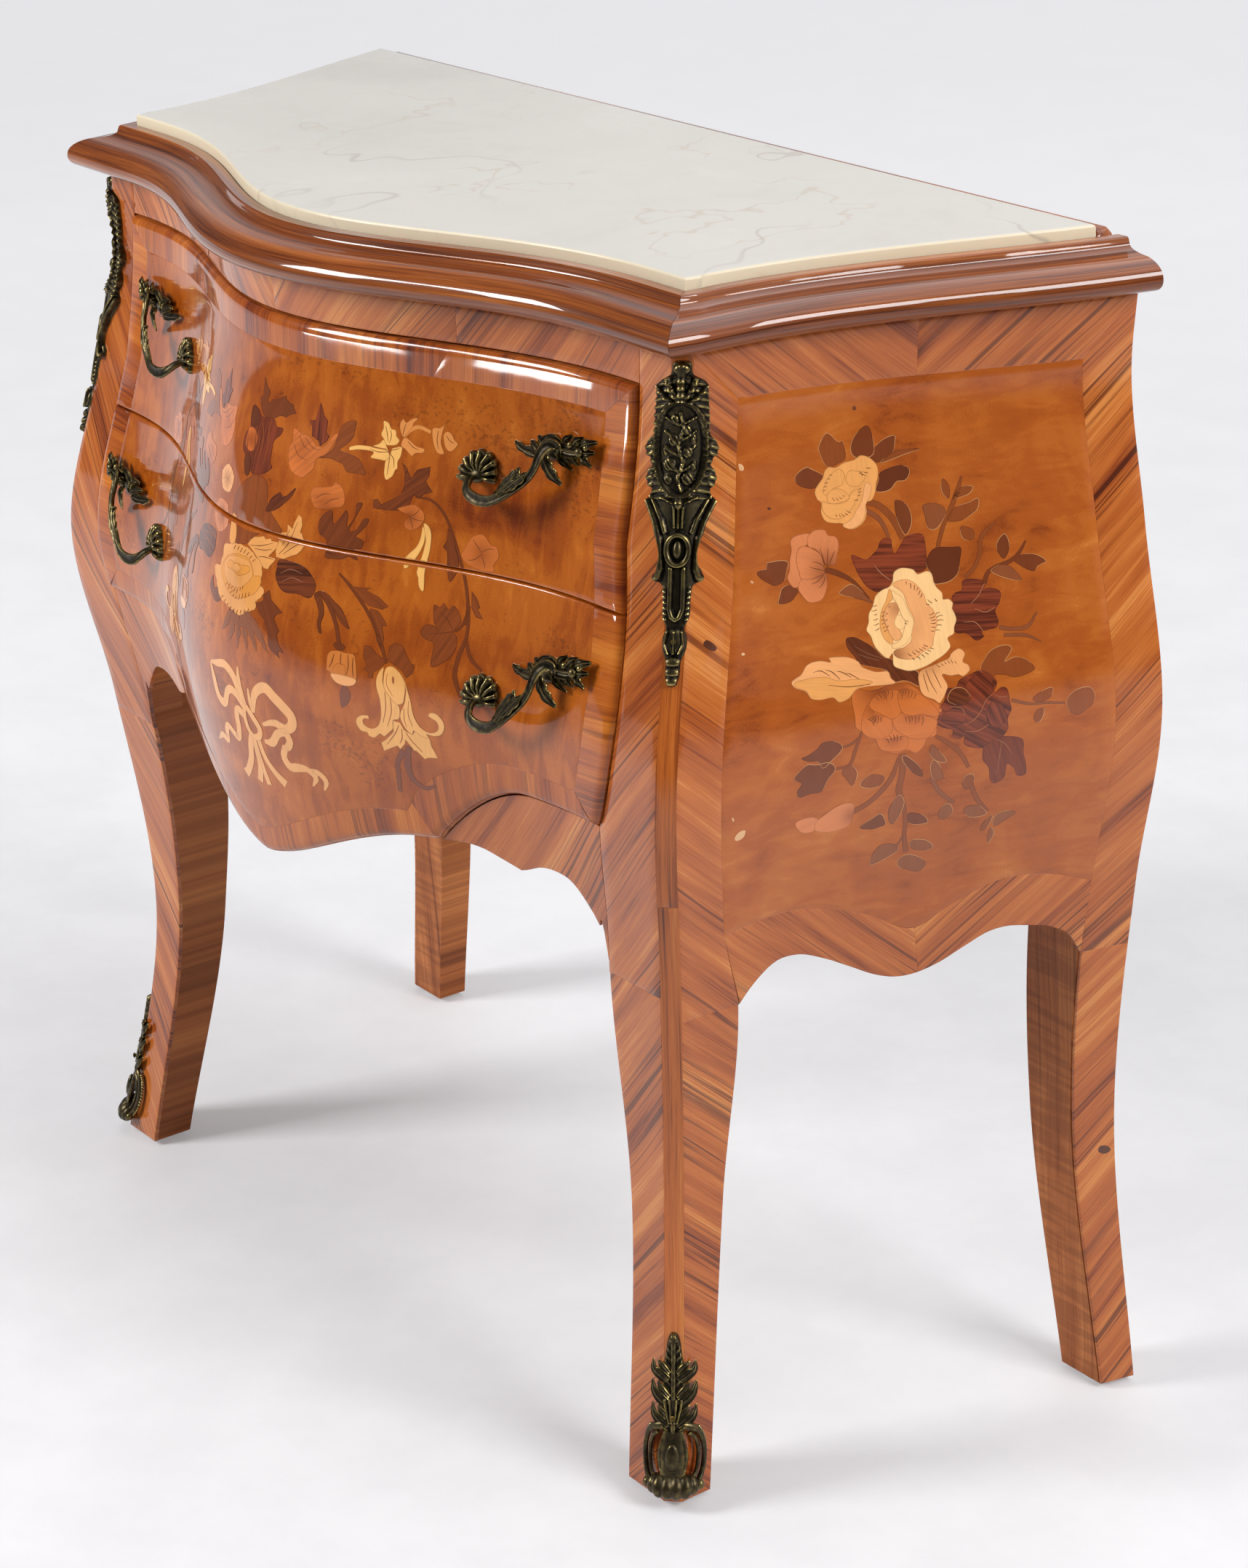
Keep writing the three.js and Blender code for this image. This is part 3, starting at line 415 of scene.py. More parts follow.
def rounding(first=JOINT_ROUND, last=JOINT_ROUND, left=JOINT_ROUND, right=JOINT_ROUND):
    """The radii of a plate's edges: first row, last row, first column, last column."""
    return [first, last, left, right]


def plate(shells, grid, at, rounds=None, way=90, thickness=VENEER, lift=0.0, back=None, seed=None):
    """A closed plate over a grid of (a, b) places on a surface, with its edges rounded."""
    rows, columns = grid.shape[:2]
    rounds = rounds or rounding()
    seed = some_seed() if seed is None else seed
    ring = border(rows, columns)
    index = np.array([i * columns + j for i, j in ring])
    flat = grid.reshape(-1, 2)
    inward = np.zeros((len(ring), 2))
    for k, (i, j) in enumerate(ring):
        sides = [
            (i == 0, rounds[0], (1, j)), (i == rows - 1, rounds[1], (rows - 2, j)),
            (j == 0, rounds[2], (i, 1)), (j == columns - 1, rounds[3], (i, columns - 2)),
        ]
        for is_edge, radius, (ni, nj) in sides:
            if is_edge:
                inward[k] += unit(grid[ni, nj] - grid[i, j]) * radius
    radius = []
    for i, j in ring:
        on_edges = (i == 0, i == rows - 1, j == 0, j == columns - 1)
        radius.append(max(size for is_edge, size in zip(on_edges, rounds) if is_edge))
    radius = np.array(radius)
    # The wider the rounding, the more steps it has
    steps = 8 if max(rounds) > 3 else 4 if max(rounds) > 0.5 else 2
    top = flat.copy()
    top[index] += inward
    all_flat = [top]
    depth = [np.zeros(len(flat))]
    for k in range(1, steps + 1):
        turn = math.pi / 2 * k / steps
        all_flat.append(flat[index] + inward * (1 - math.sin(turn)))
        depth.append(np.minimum(radius, ROUND_DEPTH) * (1 - math.cos(turn)))
    all_flat.append(flat)
    all_flat = np.concatenate(all_flat)
    depth = np.concatenate(depth)
    front = at(all_flat[:len(depth), 0], all_flat[:len(depth), 1], lift - depth)
    behind = back(flat) if back else at(flat[:, 0], flat[:, 1], np.full(len(flat), lift - thickness))
    points = np.concatenate([front, behind])
    faces = grid_faces(rows, columns)
    size = len(ring)
    rings = [list(index)]
    base = rows * columns
    for k in range(steps):
        rings.append(list(range(base + k * size, base + (k + 1) * size)))
    base += steps * size
    rings.append([base + i for i in index])
    for first, second in zip(rings[:-1], rings[1:]):
        for k in range(size):
            n = (k + 1) % size
            faces.append([first[k], first[n], second[n], second[k]])
    faces += [face[::-1] for face in grid_faces(rows, columns, base)]
    shells.add(points, faces, grain_of(all_flat, way, seed))


def spread(low, high, step):
    """Evenly spaced values, no further apart than the step."""
    return np.linspace(low, high, max(2, int(math.ceil(abs(high - low) / step)) + 1))


def stops(*values, step=6.0):
    """Spaced values that pass through each of the given ones."""
    parts = [spread(low, high, step) for low, high in zip(values[:-1], values[1:])]
    return np.concatenate([part[:-1] for part in parts] + [np.array(values[-1:], float)])


def ruled(first, second, count):
    """A grid between two lines of equally many (a, b) places."""
    t = np.linspace(0, 1, count)[None, :, None]
    return first[:, None, :] * (1 - t) + second[:, None, :] * t


def between(left, right, levels, count):
    """A grid of level rows between two edges that are functions of z."""
    return ruled(stack(left(levels), levels), stack(right(levels), levels), count)


def framed(left, right, bottom, top, s, t):
    """A grid whose sides are functions of z and whose bottom and top are functions of s."""
    s, t = np.meshgrid(s, t, indexing="ij")
    z = bottom(s) * (1 - t) + top(s) * t
    return stack(left(z) * (1 - s) + right(z) * s, z)


def loft(shells, rings, grain=None):
    """A closed solid through rings of places; unless told otherwise its grain runs upright."""
    rings = np.array(rings, float)
    levels, count = rings.shape[:2]
    faces = []
    for r in range(levels - 1):
        for i in range(count):
            n = (i + 1) % count
            faces.append([r * count + i, r * count + n, (r + 1) * count + n, (r + 1) * count + i])
    faces.append(list(range(count))[::-1])
    faces.append([(levels - 1) * count + i for i in range(count)])
    points = rings.reshape(-1, 3)
    seed = some_seed()
    if grain is None:
        grain = grain_of(points[:, [0, 2]], 90, seed)
    shells.add(points, faces, grain)


def sheet(shells, top, low, rows, columns):
    """A closed solid between two grids of places."""
    base = rows * columns
    ring = [i * columns + j for i, j in border(rows, columns)]
    faces = grid_faces(rows, columns)
    for first, second in zip(ring, ring[1:] + ring[:1]):
        faces.append([first, second, base + second, base + first])
    faces += [face[::-1] for face in grid_faces(rows, columns, base)]
    shells.add(np.concatenate([top, low]), faces)


# Materials

def srgb(red, green, blue):
    """A colour given as it looks on a screen, from 0 to 255."""
    def linear(value):
        value /= 255
        return value / 12.92 if value <= 0.04045 else ((value + 0.055) / 1.055) ** 2.4
    return (linear(red), linear(green), linear(blue), 1)


class Graph:
    """The nodes of a material or world, added with their inputs in one call."""

    def __init__(self, name, kind="materials"):
        self.material = getattr(bpy.data, kind).new(name)
        self.material.use_nodes = True
        self.tree = self.material.node_tree
        self.tree.nodes.clear()

    def node(self, kind, inputs=None, **settings):
        """A node with its inputs set or linked."""
        node = self.tree.nodes.new(kind)
        for key, value in settings.items():
            setattr(node, key, value)
        for key, value in (inputs or {}).items():
            if isinstance(value, bpy.types.NodeSocket):
                self.tree.links.new(value, node.inputs[key])
            else:
                node.inputs[key].default_value = value
        return node

    def math(self, operation, first, second=0.0):
        return self.node("ShaderNodeMath", {0: first, 1: second, 2: 0.0}, operation=operation).outputs[0]

    def product(self, first, second):
        return self.math("MULTIPLY", first, second)

    def weighed(self, *terms):
        """The sum of values, each times its weight."""
        total = None
        for value, weight in terms:
            part = self.product(value, weight)
            total = part if total is None else self.math("ADD", total, part)
        return total

    def mix(self, share, first, second, blend="MIX"):
        inputs = {0: share, 6: first, 7: second}
        return self.node("ShaderNodeMix", inputs, data_type="RGBA", blend_type=blend).outputs[2]

    def shaded(self, colour, red, green=None, blue=None):
        """A colour times one number, or times one for each channel."""
        green = red if green is None else green
        blue = red if blue is None else blue
        factor = self.node("ShaderNodeCombineColor", {0: red, 1: green, 2: blue}).outputs[0]
        return self.mix(1.0, colour, factor, "MULTIPLY")

    def noise(self, vector, scale, detail=2.0, roughness=0.5, distortion=0.0):
        return self.node("ShaderNodeTexNoise", {
            "Vector": vector, "Scale": scale, "Detail": detail, "Roughness": roughness,
            "Distortion": distortion,
        }).outputs["Fac"]

    def ramp(self, share, colours, interpolation="EASE"):
        node = self.node("ShaderNodeValToRGB", {0: share})
        node.color_ramp.interpolation = interpolation
        marks = node.color_ramp.elements
        while len(marks) < len(colours):
            marks.new(0.5)
        for mark, (position, colour) in zip(marks, colours):
            mark.position = position
            mark.color = colour
        return node.outputs["Color"]

    def level(self, share, low, high, out_low=0.0, out_high=1.0):
        return self.node("ShaderNodeMapRange", {
            "Value": share, "From Min": low, "From Max": high, "To Min": out_low, "To Max": out_high,
        }).outputs["Result"]

    def place(self):
        """The place in the object's own coordinates, in metres."""
        return self.node("ShaderNodeTexCoord").outputs["Object"]

    def attribute(self, name, output):
        return self.node("ShaderNodeAttribute", attribute_name=name).outputs[output]

    def split(self, vector):
        return self.node("ShaderNodeSeparateXYZ", {0: vector}).outputs

    def scaled(self, vector, *scale):
        return self.node("ShaderNodeMapping", {"Vector": vector, "Scale": scale}).outputs[0]

    def stretched(self, along, across, third):
        """The grain's place, scaled along it, across it and by its seed."""
        return self.scaled(self.attribute("grain", "Vector"), along, across, third)

    def bump(self, height, distance, strength=1.0):
        inputs = {"Height": height, "Distance": distance, "Strength": strength}
        return self.node("ShaderNodeBump", inputs).outputs["Normal"]

    def surface(self, **inputs):
        shader = self.node("ShaderNodeBsdfPrincipled", {
            key.replace("_", " "): value for key, value in inputs.items()
        })
        self.node("ShaderNodeOutputMaterial", {"Surface": shader.outputs[0]})
        return self.material


def shades(*marks):
    """The marks of a colour ramp: a position, and a colour as it looks on a screen."""
    return [(position, srgb(*tone)) for position, *tone in marks]


def varnished(graph, colour, fibres, gloss=0.9, rough=0.34, coat_rough=0.06):
    """Wood under a clear coat whose own surface is not quite flat."""
    swell = graph.noise(graph.place(), 38.0, 1.0)
    return graph.surface(
        Base_Color=colour, Roughness=rough, Specular_IOR_Level=0.08, Normal=graph.bump(fibres, 0.00002, 0.6),
        Coat_Weight=gloss, Coat_Roughness=coat_rough, Coat_IOR=1.5,
        Coat_Normal=graph.bump(swell, 0.0004, 0.35),
    )


def wood(name, colours, wide=0.03, streak=0.1, wave=9.0, gloss=0.9, rough=0.34, coat_rough=0.06, veins=0.62,
         ripple=0.0):
    """Veneer with broad streaks along the grain, clusters of dark veins, fibres and pores."""
    graph = Graph(name)
    slow = graph.noise(graph.stretched(0.006, 0.014, 3.1), 1.0, 1.0)
    warp = graph.product(graph.math("SUBTRACT", slow, 0.5), wave)
    along, across, seed = graph.split(graph.attribute("grain", "Vector"))
    across = graph.math("ADD", across, warp)
    bent = graph.node("ShaderNodeCombineXYZ", {0: along, 1: across, 2: seed}).outputs[0]

    def figure(scale, detail=1.0, roughness=0.5):
        """Noise over the bent grain, with its scales along, across and by the seed."""
        return graph.noise(graph.scaled(bent, *scale), 1.0, detail, roughness)

    broad = figure((0.003, wide, 1.7), 2.0)
    streaks = figure((0.004, streak, 2.3), 3.0, 0.62)
    fibres = figure((0.02, 1.3, 3.7), 2.0, 0.7)
    pores = figure((0.1, 2.4, 5.1))
    colour = graph.ramp(graph.weighed((broad, 0.34), (streaks, 0.42), (fibres, 0.24)), colours)
    thin = graph.level(figure((0.004, streak * 3.8, 4.3), 2.0, 0.55), 0.53, 0.61)
    gate = graph.level(figure((0.003, wide * 1.3, 6.1)), 0.45, 0.56)
    dark = graph.math("SUBTRACT", 1.0, graph.product(graph.product(thin, gate), veins))
    dark = graph.product(dark, graph.level(pores, 0.24, 0.36, 0.78, 1.0))
    if ripple:
        waves = figure((0.2, 0.02, 8.3))
        dark = graph.product(dark, graph.level(waves, 0.4, 0.6, 1.0 - ripple, 1.0))
    colour = graph.shaded(colour, dark, graph.math("POWER", dark, 1.15), graph.math("POWER", dark, 1.2))
    colour = graph.mix(1.0, colour, graph.attribute("tint", "Color"), "MULTIPLY")
    return varnished(graph, colour, fibres, gloss, rough, coat_rough)


banding_wood = wood("banding_veneer", shades(
    (0.4, 130, 58, 20), (0.46, 168, 85, 32), (0.54, 189, 104, 43), (0.61, 210, 132, 66),
))
drawer_band_wood = wood("drawer_band_veneer", shades(
    (0.4, 122, 50, 12), (0.46, 164, 78, 20), (0.54, 186, 98, 28), (0.61, 208, 122, 44),
), wide=0.02, streak=0.06, veins=0.4)
strip_wood = wood("chamfer_strip_wood", shades(
    (0.38, 140, 66, 22), (0.5, 188, 100, 38), (0.62, 210, 128, 58),
), wide=0.06, streak=0.2, wave=5.0)
plain_wood = wood("leg_core_wood", shades(
    (0.38, 138, 71, 32), (0.5, 177, 103, 54), (0.62, 202, 126, 70),
), wide=0.06, gloss=0.25, rough=0.5, veins=0.3, ripple=0.24)
moulding_wood = wood("moulding_wood", shades(
    (0.39, 82, 35, 11), (0.47, 120, 58, 19), (0.55, 146, 77, 30), (0.63, 176, 102, 48),
), wide=0.07, streak=0.22, wave=5.0, gloss=1.0, coat_rough=0.035, veins=0.35)


def burr(name, colours, pips=0.0):
    """Figured field veneer: mottled, with cloudy patches and short cross figure."""
    graph = Graph(name)
    cloud = graph.noise(graph.stretched(0.014, 0.02, 1.3), 1.0, 3.0, 0.55, 0.6)
    figure = graph.noise(graph.stretched(0.09, 0.03, 2.1), 1.0, 3.0, 0.6, 0.8)
    fine = graph.noise(graph.stretched(0.5, 1.4, 2.9), 1.0, 2.0, 0.6)
    colour = graph.ramp(graph.weighed((cloud, 0.5), (figure, 0.35), (fine, 0.15)), colours)
    rare = graph.noise(graph.stretched(0.02, 0.03, 5.5), 1.0, 1.0)
    small = graph.noise(graph.stretched(0.3, 0.38, 7.7), 1.0, 1.0)
    specks = graph.level(graph.product(small, rare), 0.38, 0.46, 1.0, 1.0 - pips)
    return varnished(graph, graph.shaded(colour, specks), fine)


side_field_wood = burr("side_field_veneer", shades(
    (0.34, 136, 61, 15), (0.46, 168, 83, 24), (0.56, 181, 96, 31), (0.68, 200, 118, 50),
))
drawer_field_wood = burr("drawer_field_veneer", shades(
    (0.34, 121, 48, 7), (0.46, 159, 75, 13), (0.56, 182, 94, 22), (0.68, 203, 115, 36),
), 0.3)


def marble():
    """Cream stone with faint grey and brown veins, yellower on its edges."""
    graph = Graph("cream_marble")
    place = graph.place()
    cloud = graph.noise(place, 5.0, 4.0, 0.55, 0.4)
    fine = graph.noise(place, 60.0, 3.0, 0.6)
    colour = graph.ramp(graph.weighed((cloud, 0.8), (fine, 0.2)), shades(
        (0.3, 197, 193, 186), (0.5, 204, 200, 193), (0.7, 211, 207, 201),
    ))
    upward = graph.split(graph.node("ShaderNodeNewGeometry").outputs["Normal"])[2]
    colour = graph.mix(graph.level(upward, 0.7, 0.95, 1.0, 0.0), colour, srgb(226, 212, 184))
    veins = ((2.3, 0.0034, 0.55, srgb(158, 148, 136)), (5.3, 0.006, 0.4, srgb(180, 158, 132)))
    for scale, width, strength, shade in veins:
        crack = graph.noise(place, scale, 4.0, 0.55, 0.25)
        off = graph.math("ABSOLUTE", graph.math("SUBTRACT", crack, 0.5))
        line = graph.level(off, 0.0, width, strength, 0.0)
        gate = graph.level(graph.noise(place, scale * 2.1, 1.0), 0.46, 0.58)
        colour = graph.mix(graph.product(line, gate), colour, shade)
    return graph.surface(
        Base_Color=colour, Roughness=0.36, Specular_IOR_Level=0.3, Subsurface_Weight=0.05,
        Coat_Weight=0.15, Coat_Roughness=0.15,
    )


marble_stone = marble()


def plain(name, colour, rough, metal, scale, unevenness, bump_height=0.00005):
    """A material with fine uneven colour and a little relief."""
    graph = Graph(name)
    noise = graph.noise(graph.place(), scale, 3.0, 0.6)
    dark = tuple(channel * (1 - 2 * unevenness) for channel in colour[:3]) + (1,)
    light = tuple(min(1, channel * (1 + unevenness)) for channel in colour[:3]) + (1,)
    return graph.surface(
        Base_Color=graph.ramp(noise, [(0.3, dark), (0.7, light)]), Roughness=rough, Metallic=metal,
        Normal=graph.bump(noise, bump_height),
    )


def plain_timber(name, dark, light):
    """Timber of the hidden parts, with its rings one over the other."""
    graph = Graph(name)
    place = graph.place()
    rings = graph.noise(graph.scaled(place, 6.0, 6.0, 90.0), 1.0, 4.0, 0.6, 0.3)
    fine = graph.noise(graph.scaled(place, 54.0, 54.0, 810.0), 1.0, 2.0)
    colour = graph.ramp(graph.weighed((rings, 0.75), (fine, 0.25)), [(0.3, dark), (0.7, light)])
    return graph.surface(
        Base_Color=colour, Roughness=0.6, Coat_Weight=0.1, Coat_Roughness=0.4,
        Normal=graph.bump(fine, 0.00008, 0.5),
    )


carcass_timber = plain_timber("carcass_timber", srgb(128, 90, 58), srgb(176, 134, 94))
box_timber = plain_timber("box_timber", srgb(168, 128, 86), srgb(206, 168, 122))
nylon = plain("glide_nylon", srgb(186, 187, 188), 0.5, 0.0, 200.0, 0.05)
steel = plain("screw_steel", srgb(150, 150, 146), 0.35, 1.0, 400.0, 0.12)
dull_bronze = plain("dull_bronze", srgb(96, 78, 40), 0.4, 1.0, 300.0, 0.25, 0.0001)


# Posts

def front_post():
    """The front leg and corner post behind its veneers."""
    core = Shells()
    bevel = CORE_INSET * (math.sqrt(2) - 1)
    rings = []
    for z in stops(LEG_BOTTOM, ARCH_FOOT, BRACKET_TOP, CASE_HEIGHT):
        reach = corner_reach(z)
        face = reach - CORE_INSET
        x = corner_x(z)
        back = reach - front_depth(z)
        inner = front_post_inner(z)
        reaches = np.linspace(reach - CHAMFER - bevel, back, 5)
        side = [(x + CHAMFER - CORE_INSET, reaches[0], z)]
        side += [(side_x(r, z) - CORE_INSET, r, z) for r in reaches[1:]]
        rings.append([(inner, face, z), (x - bevel, face, z), *side, (inner, back, z)])
    loft(core, rings)
    return core


def back_post():
    """The rear corner post with its leg, behind its veneer."""
    core = Shells()
    rings = []
    for z in stops(LEG_BOTTOM, ARCH_FOOT, CASE_HEIGHT):
        front = back_depth(z)
        inner = back_post_inner(z)
        side = [(side_x(r, z) - CORE_INSET, r, z) for r in np.linspace(front, 0, 4)]
        rings.append([(inner, front, z), *side, (inner, 0, z)])
    loft(core, rings)
    return core


make_pair("front_post", front_post(), plain_wood, "case", ["front_leg"])
make_pair("back_post", back_post(), plain_wood, "case", ["back_leg"])


# Side: panel, field and bands

def side_field_left(z):
    return corner_reach(z) - CHAMFER - SIDE_BAND


def side_field_right(z):
    return np.full_like(np.asarray(z, float), BACK_BAND)


FIELD_TOP_FRONT = 708
FIELD_TOP_BACK = 703
FIELD_LOW_SHARES = [0, 0.21, 0.4, 0.53, 0.622, 0.74, 0.868, 1]
FIELD_LOW_LEVELS = [381, 386, 372, 356, 368, 380, 379, 368]
field_low = smooth(FIELD_LOW_SHARES, FIELD_LOW_LEVELS)
FIELD_JOINT_SHARE = 0.53
MITRE_END = 0.4
MOUNT_FOOT = 560


def field_top(s):
    return FIELD_TOP_FRONT + (FIELD_TOP_BACK - FIELD_TOP_FRONT) * np.asarray(s, float)


def side_front_edge(z):
    return corner_reach(z) - front_depth(z) - SEAT_GAP


APRON_BASE = ARCH_FOOT - SIDE_APRON_DROP
APRON_FRONT = float(side_front_edge(APRON_BASE))
APRON_BACK = float(back_depth(ARCH_FOOT)) + SEAT_GAP
apron_rise = smooth(*zip(*SIDE_APRON_SHARES))


def apron_line(share):
    """The side apron's lower edge, from the front post to the back one."""
    reach = APRON_FRONT + (APRON_BACK - APRON_FRONT) * share
    return stack(reach, APRON_BASE + apron_rise(share) * SIDE_APRON_DEPTH)


def field_line(level_line, s):
    """A line across the side field: z from the line, reach between the field's edges."""
    z = level_line(s)
    return stack(side_field_left(z) * (1 - s) + side_field_right(z) * s, z)


def through(z, low, first, high, last):
    """The value at z of a straight line through (low, first) and (high, last)."""
    return first + (last - first) * ((z - low) / (high - low))


def side_veneer():
    """The banding of a side: on both posts, over the field, and on the apron below it."""
    shells = Shells()
    low_front, low_back = FIELD_LOW_LEVELS[0], FIELD_LOW_LEVELS[-1]
    arch_front, arch_back = (float(apron_line(np.array(end))[1]) for end in (0.0, 1.0))
    corner = float(corner_reach(CASE_HEIGHT)) - CHAMFER

    def front_band_inner(z):
        below = through(z, arch_front, side_front_edge(arch_front), low_front, side_field_left(low_front))
        top_reach = side_field_left(FIELD_TOP_FRONT)
        above = through(z, FIELD_TOP_FRONT, top_reach, CASE_HEIGHT, corner - MITRE_END)
        return np.where(z > FIELD_TOP_FRONT, above, np.where(z > low_front, side_field_left(z), below))

    def back_band_inner(z):
        below = through(z, arch_back, APRON_BACK, low_back, BACK_BAND)
        above = through(z, FIELD_TOP_BACK, BACK_BAND, CASE_HEIGHT, MITRE_END)
        return np.where(z > FIELD_TOP_BACK, above, np.where(z > low_back, BACK_BAND, below))

    def chamfer_edge(z):
        return corner_reach(z) - CHAMFER

    def leg_edge(z):
        return corner_reach(z) - front_depth(z)

    falling = 42
    rising = 180 - falling
    # Bands on the posts
    leg = stops(LEG_BOTTOM, arch_front)
    plate(shells, between(chamfer_edge, leg_edge, leg, 7), on_side,
          rounding(EDGE_ROUND, left=ARRIS_ROUND, right=EDGE_ROUND), falling)
    post = stops(arch_front, low_front, MOUNT_FOOT, FIELD_TOP_FRONT, CASE_HEIGHT)
    grid = between(chamfer_edge, front_band_inner, post, 7)
    plate(shells, grid, on_side, rounding(left=ARRIS_ROUND), falling)
    leg = stops(LEG_BOTTOM, arch_back)
    plate(shells, between(back_depth, np.zeros_like, leg, 6), on_side,
          rounding(EDGE_ROUND, left=EDGE_ROUND, right=EDGE_ROUND), rising)
    post = stops(arch_back, low_back, FIELD_TOP_BACK, CASE_HEIGHT)
    grid = between(back_band_inner, np.zeros_like, post, 6)
    plate(shells, grid, on_side, rounding(right=EDGE_ROUND), rising)
    # Top bands, mitred at both ends
    joint = float(field_line(field_top, np.array([FIELD_JOINT_SHARE]))[0, 0])
    halves = ((0.0, FIELD_JOINT_SHARE, corner, joint, falling), (FIELD_JOINT_SHARE, 1.0, joint, 0.0, rising))
    for first, last, start, end, way in halves:
        s = np.linspace(first, last, 24)
        inner = field_line(field_top, s)
        outer = stack(start + (end - start) * ((s - first) / (last - first)), CASE_HEIGHT)
        plate(shells, ruled(inner, outer, 7), on_side, None, way)
    # Bottom bands over the apron
    for first, last, _, _, way in halves:
        s = np.linspace(first, last, 40)
        grid = ruled(field_line(field_low, s), apron_line(s), 9)
        plate(shells, grid, on_side, rounding(right=EDGE_ROUND), way)
    return shells


def side_field():
    """The figured field of a side."""
    shells = Shells()
    s = np.concatenate([np.linspace(0, FIELD_JOINT_SHARE, 20)[:-1], np.linspace(FIELD_JOINT_SHARE, 1, 18)])
    grid = framed(side_field_left, side_field_right, field_low, field_top, s, np.linspace(0, 1, 56))
    plate(shells, grid, on_side)
    return shells


def side_core():
    """The shaped panel behind the side's veneers."""
    shells = Shells()
    s = np.linspace(0, 1, 50)
    low = apron_line(s)
    rows = []
    for share in np.linspace(0, 1, 50):
        z = low[:, 1] * (1 - share) + CASE_HEIGHT * share + SEAT_GAP * (1 - share)
        front = side_front_edge(z)
        rows.append(stack(front + (APRON_BACK - front) * s, z))
    plate(shells, np.stack(rows, axis=1), on_side, None, 90, PANEL_THICKNESS - CORE_INSET, -CORE_INSET)
    return shells


make_pair("side_core", side_core(), plain_wood, "case", ["side_panel"])
make_pair("side_band_veneer", side_veneer(), banding_wood, "case")
make_pair("side_field_veneer", side_field(), side_field_wood, "case")


# Front of the case: stiles, chamfer strips, rail and brackets

STRIP_JOINT = 412


def stile_veneer():
    """Banding on the front of a corner post, in one length on the leg and one above it."""
    shells = Shells()
    for levels, foot, inner in (
        ((LEG_BOTTOM, ARCH_FOOT), EDGE_ROUND, EDGE_ROUND),
        ((ARCH_FOOT, BRACKET_TOP, CASE_HEIGHT), JOINT_ROUND, JOINT_ROUND),
    ):
        grid = between(front_post_inner, corner_x, stops(*levels), 8)
        plate(shells, grid, on_case, rounding(foot, left=inner, right=ARRIS_ROUND), 48)
    return shells


def chamfer_strip():
    """The narrow strip down the corner, in two lengths."""
    shells = Shells()
    for low, high in ((LEG_BOTTOM, STRIP_JOINT), (STRIP_JOINT, CASE_HEIGHT)):
        grid = between(np.zeros_like, lambda z: np.full_like(z, CHAMFER), stops(low, high), 4)
        plate(shells, grid, on_chamfer, rounding(left=ARRIS_ROUND, right=ARRIS_ROUND))
    return shells


UPPER_INNER_REACH = BACK_PLANE - node_box("upper_side_right")[0][1] + SEAT_GAP
LOWER_INNER_REACH = BACK_PLANE - node_box("lower_side_right")[0][1] + SEAT_GAP


def upright_back(inner_reach):
    """The hidden back of a front piece: bowed like the front, but upright."""
    return lambda flat: stack(flat[:, 0], inner_reach + FRONT_BULGE * serpentine(flat[:, 0]), flat[:, 1])


def rail():
    """The rail over the drawers and its four lengths of veneer."""
    edge = OPENING_HALF_WIDTH - SEAT_GAP

    def grid(first, last):
        xs = spread(first, last, 6)
        return ruled(stack(xs, OPENING_TOP), stack(xs, CASE_HEIGHT), 6)

    core = Shells()
    plate(core, grid(-edge, edge), on_case, None, 0, VENEER, -CORE_INSET, upright_back(UPPER_INNER_REACH))
    veneer = Shells()
    for first, last, way in ((-1, -0.5, 130), (-0.5, 0, 133), (0, 0.5, 47), (0.5, 1, 50)):
        plate(veneer, grid(first * edge, last * edge), on_case, rounding(left=EDGE_ROUND), way)
    return core, veneer


BRACKET_TIP = APRON_HIGH + BRACKET_EDGE_SHARES[-1][1] * BRACKET_FOOT_DROP
BRACKET_SPAN = float(front_post_inner(BRACKET_TIP)) - SEAT_GAP - BRACKET_START


def bracket_grid():
    """The bracket between its seam with the drawer and its cusped lower edge."""
    cusp, tip = 4, 10
    shares, drops = (np.array(values) for values in zip(*BRACKET_EDGE_SHARES))
    parts = ((0, shares[cusp], 14), (shares[cusp], shares[tip], 18), (shares[tip], 1, 6))
    steps = np.concatenate([np.linspace(*part)[:-1] for part in parts] + [[1.0]])
    before = smooth(shares[:cusp + 1], drops[:cusp + 1])
    after = smooth(shares[cusp:], drops[cusp:])
    drop = np.where(steps <= shares[cusp], before(steps), after(steps))
    low = stack(BRACKET_START + steps * BRACKET_SPAN, APRON_HIGH + drop * BRACKET_FOOT_DROP)
    xs = BRACKET_START + (OPENING_HALF_WIDTH - SEAT_GAP - BRACKET_START) * steps
    high = stack(xs, np.maximum(bracket_seam(xs), APRON_HIGH + 0.4))
    low[:, 1] = np.minimum(low[:, 1], high[:, 1] - 0.3)
    return ruled(low, high, 12)


def bracket():
    """A bracket's core and its veneer."""
    grid = bracket_grid()
    core = Shells()
    plate(core, grid, on_case, None, 0, VENEER, -CORE_INSET, upright_back(LOWER_INNER_REACH))
    veneer = Shells()
    plate(veneer, grid, on_case, rounding(left=EDGE_ROUND), 52)
    return core, veneer


make_pair("stile_veneer", stile_veneer(), banding_wood, "case")
make_pair("chamfer_strip", chamfer_strip(), strip_wood, "case")
rail_core, rail_veneer = rail()
make("rail_core", rail_core, plain_wood, "case", ["top_rail"])
make("rail_veneer", rail_veneer, banding_wood, "case")
bracket_core, bracket_veneer = bracket()
make_pair("bracket_core", bracket_core, plain_wood, "case", ["apron_bracket"])
make_pair("bracket_veneer", bracket_veneer, banding_wood, "case")


# Drawer fronts

def band_edge(z):
    return drawer_edge(z) - BAND_WIDTH


def minus(edge):
    """The left edge that mirrors a right one."""
    return lambda z: -edge(z)


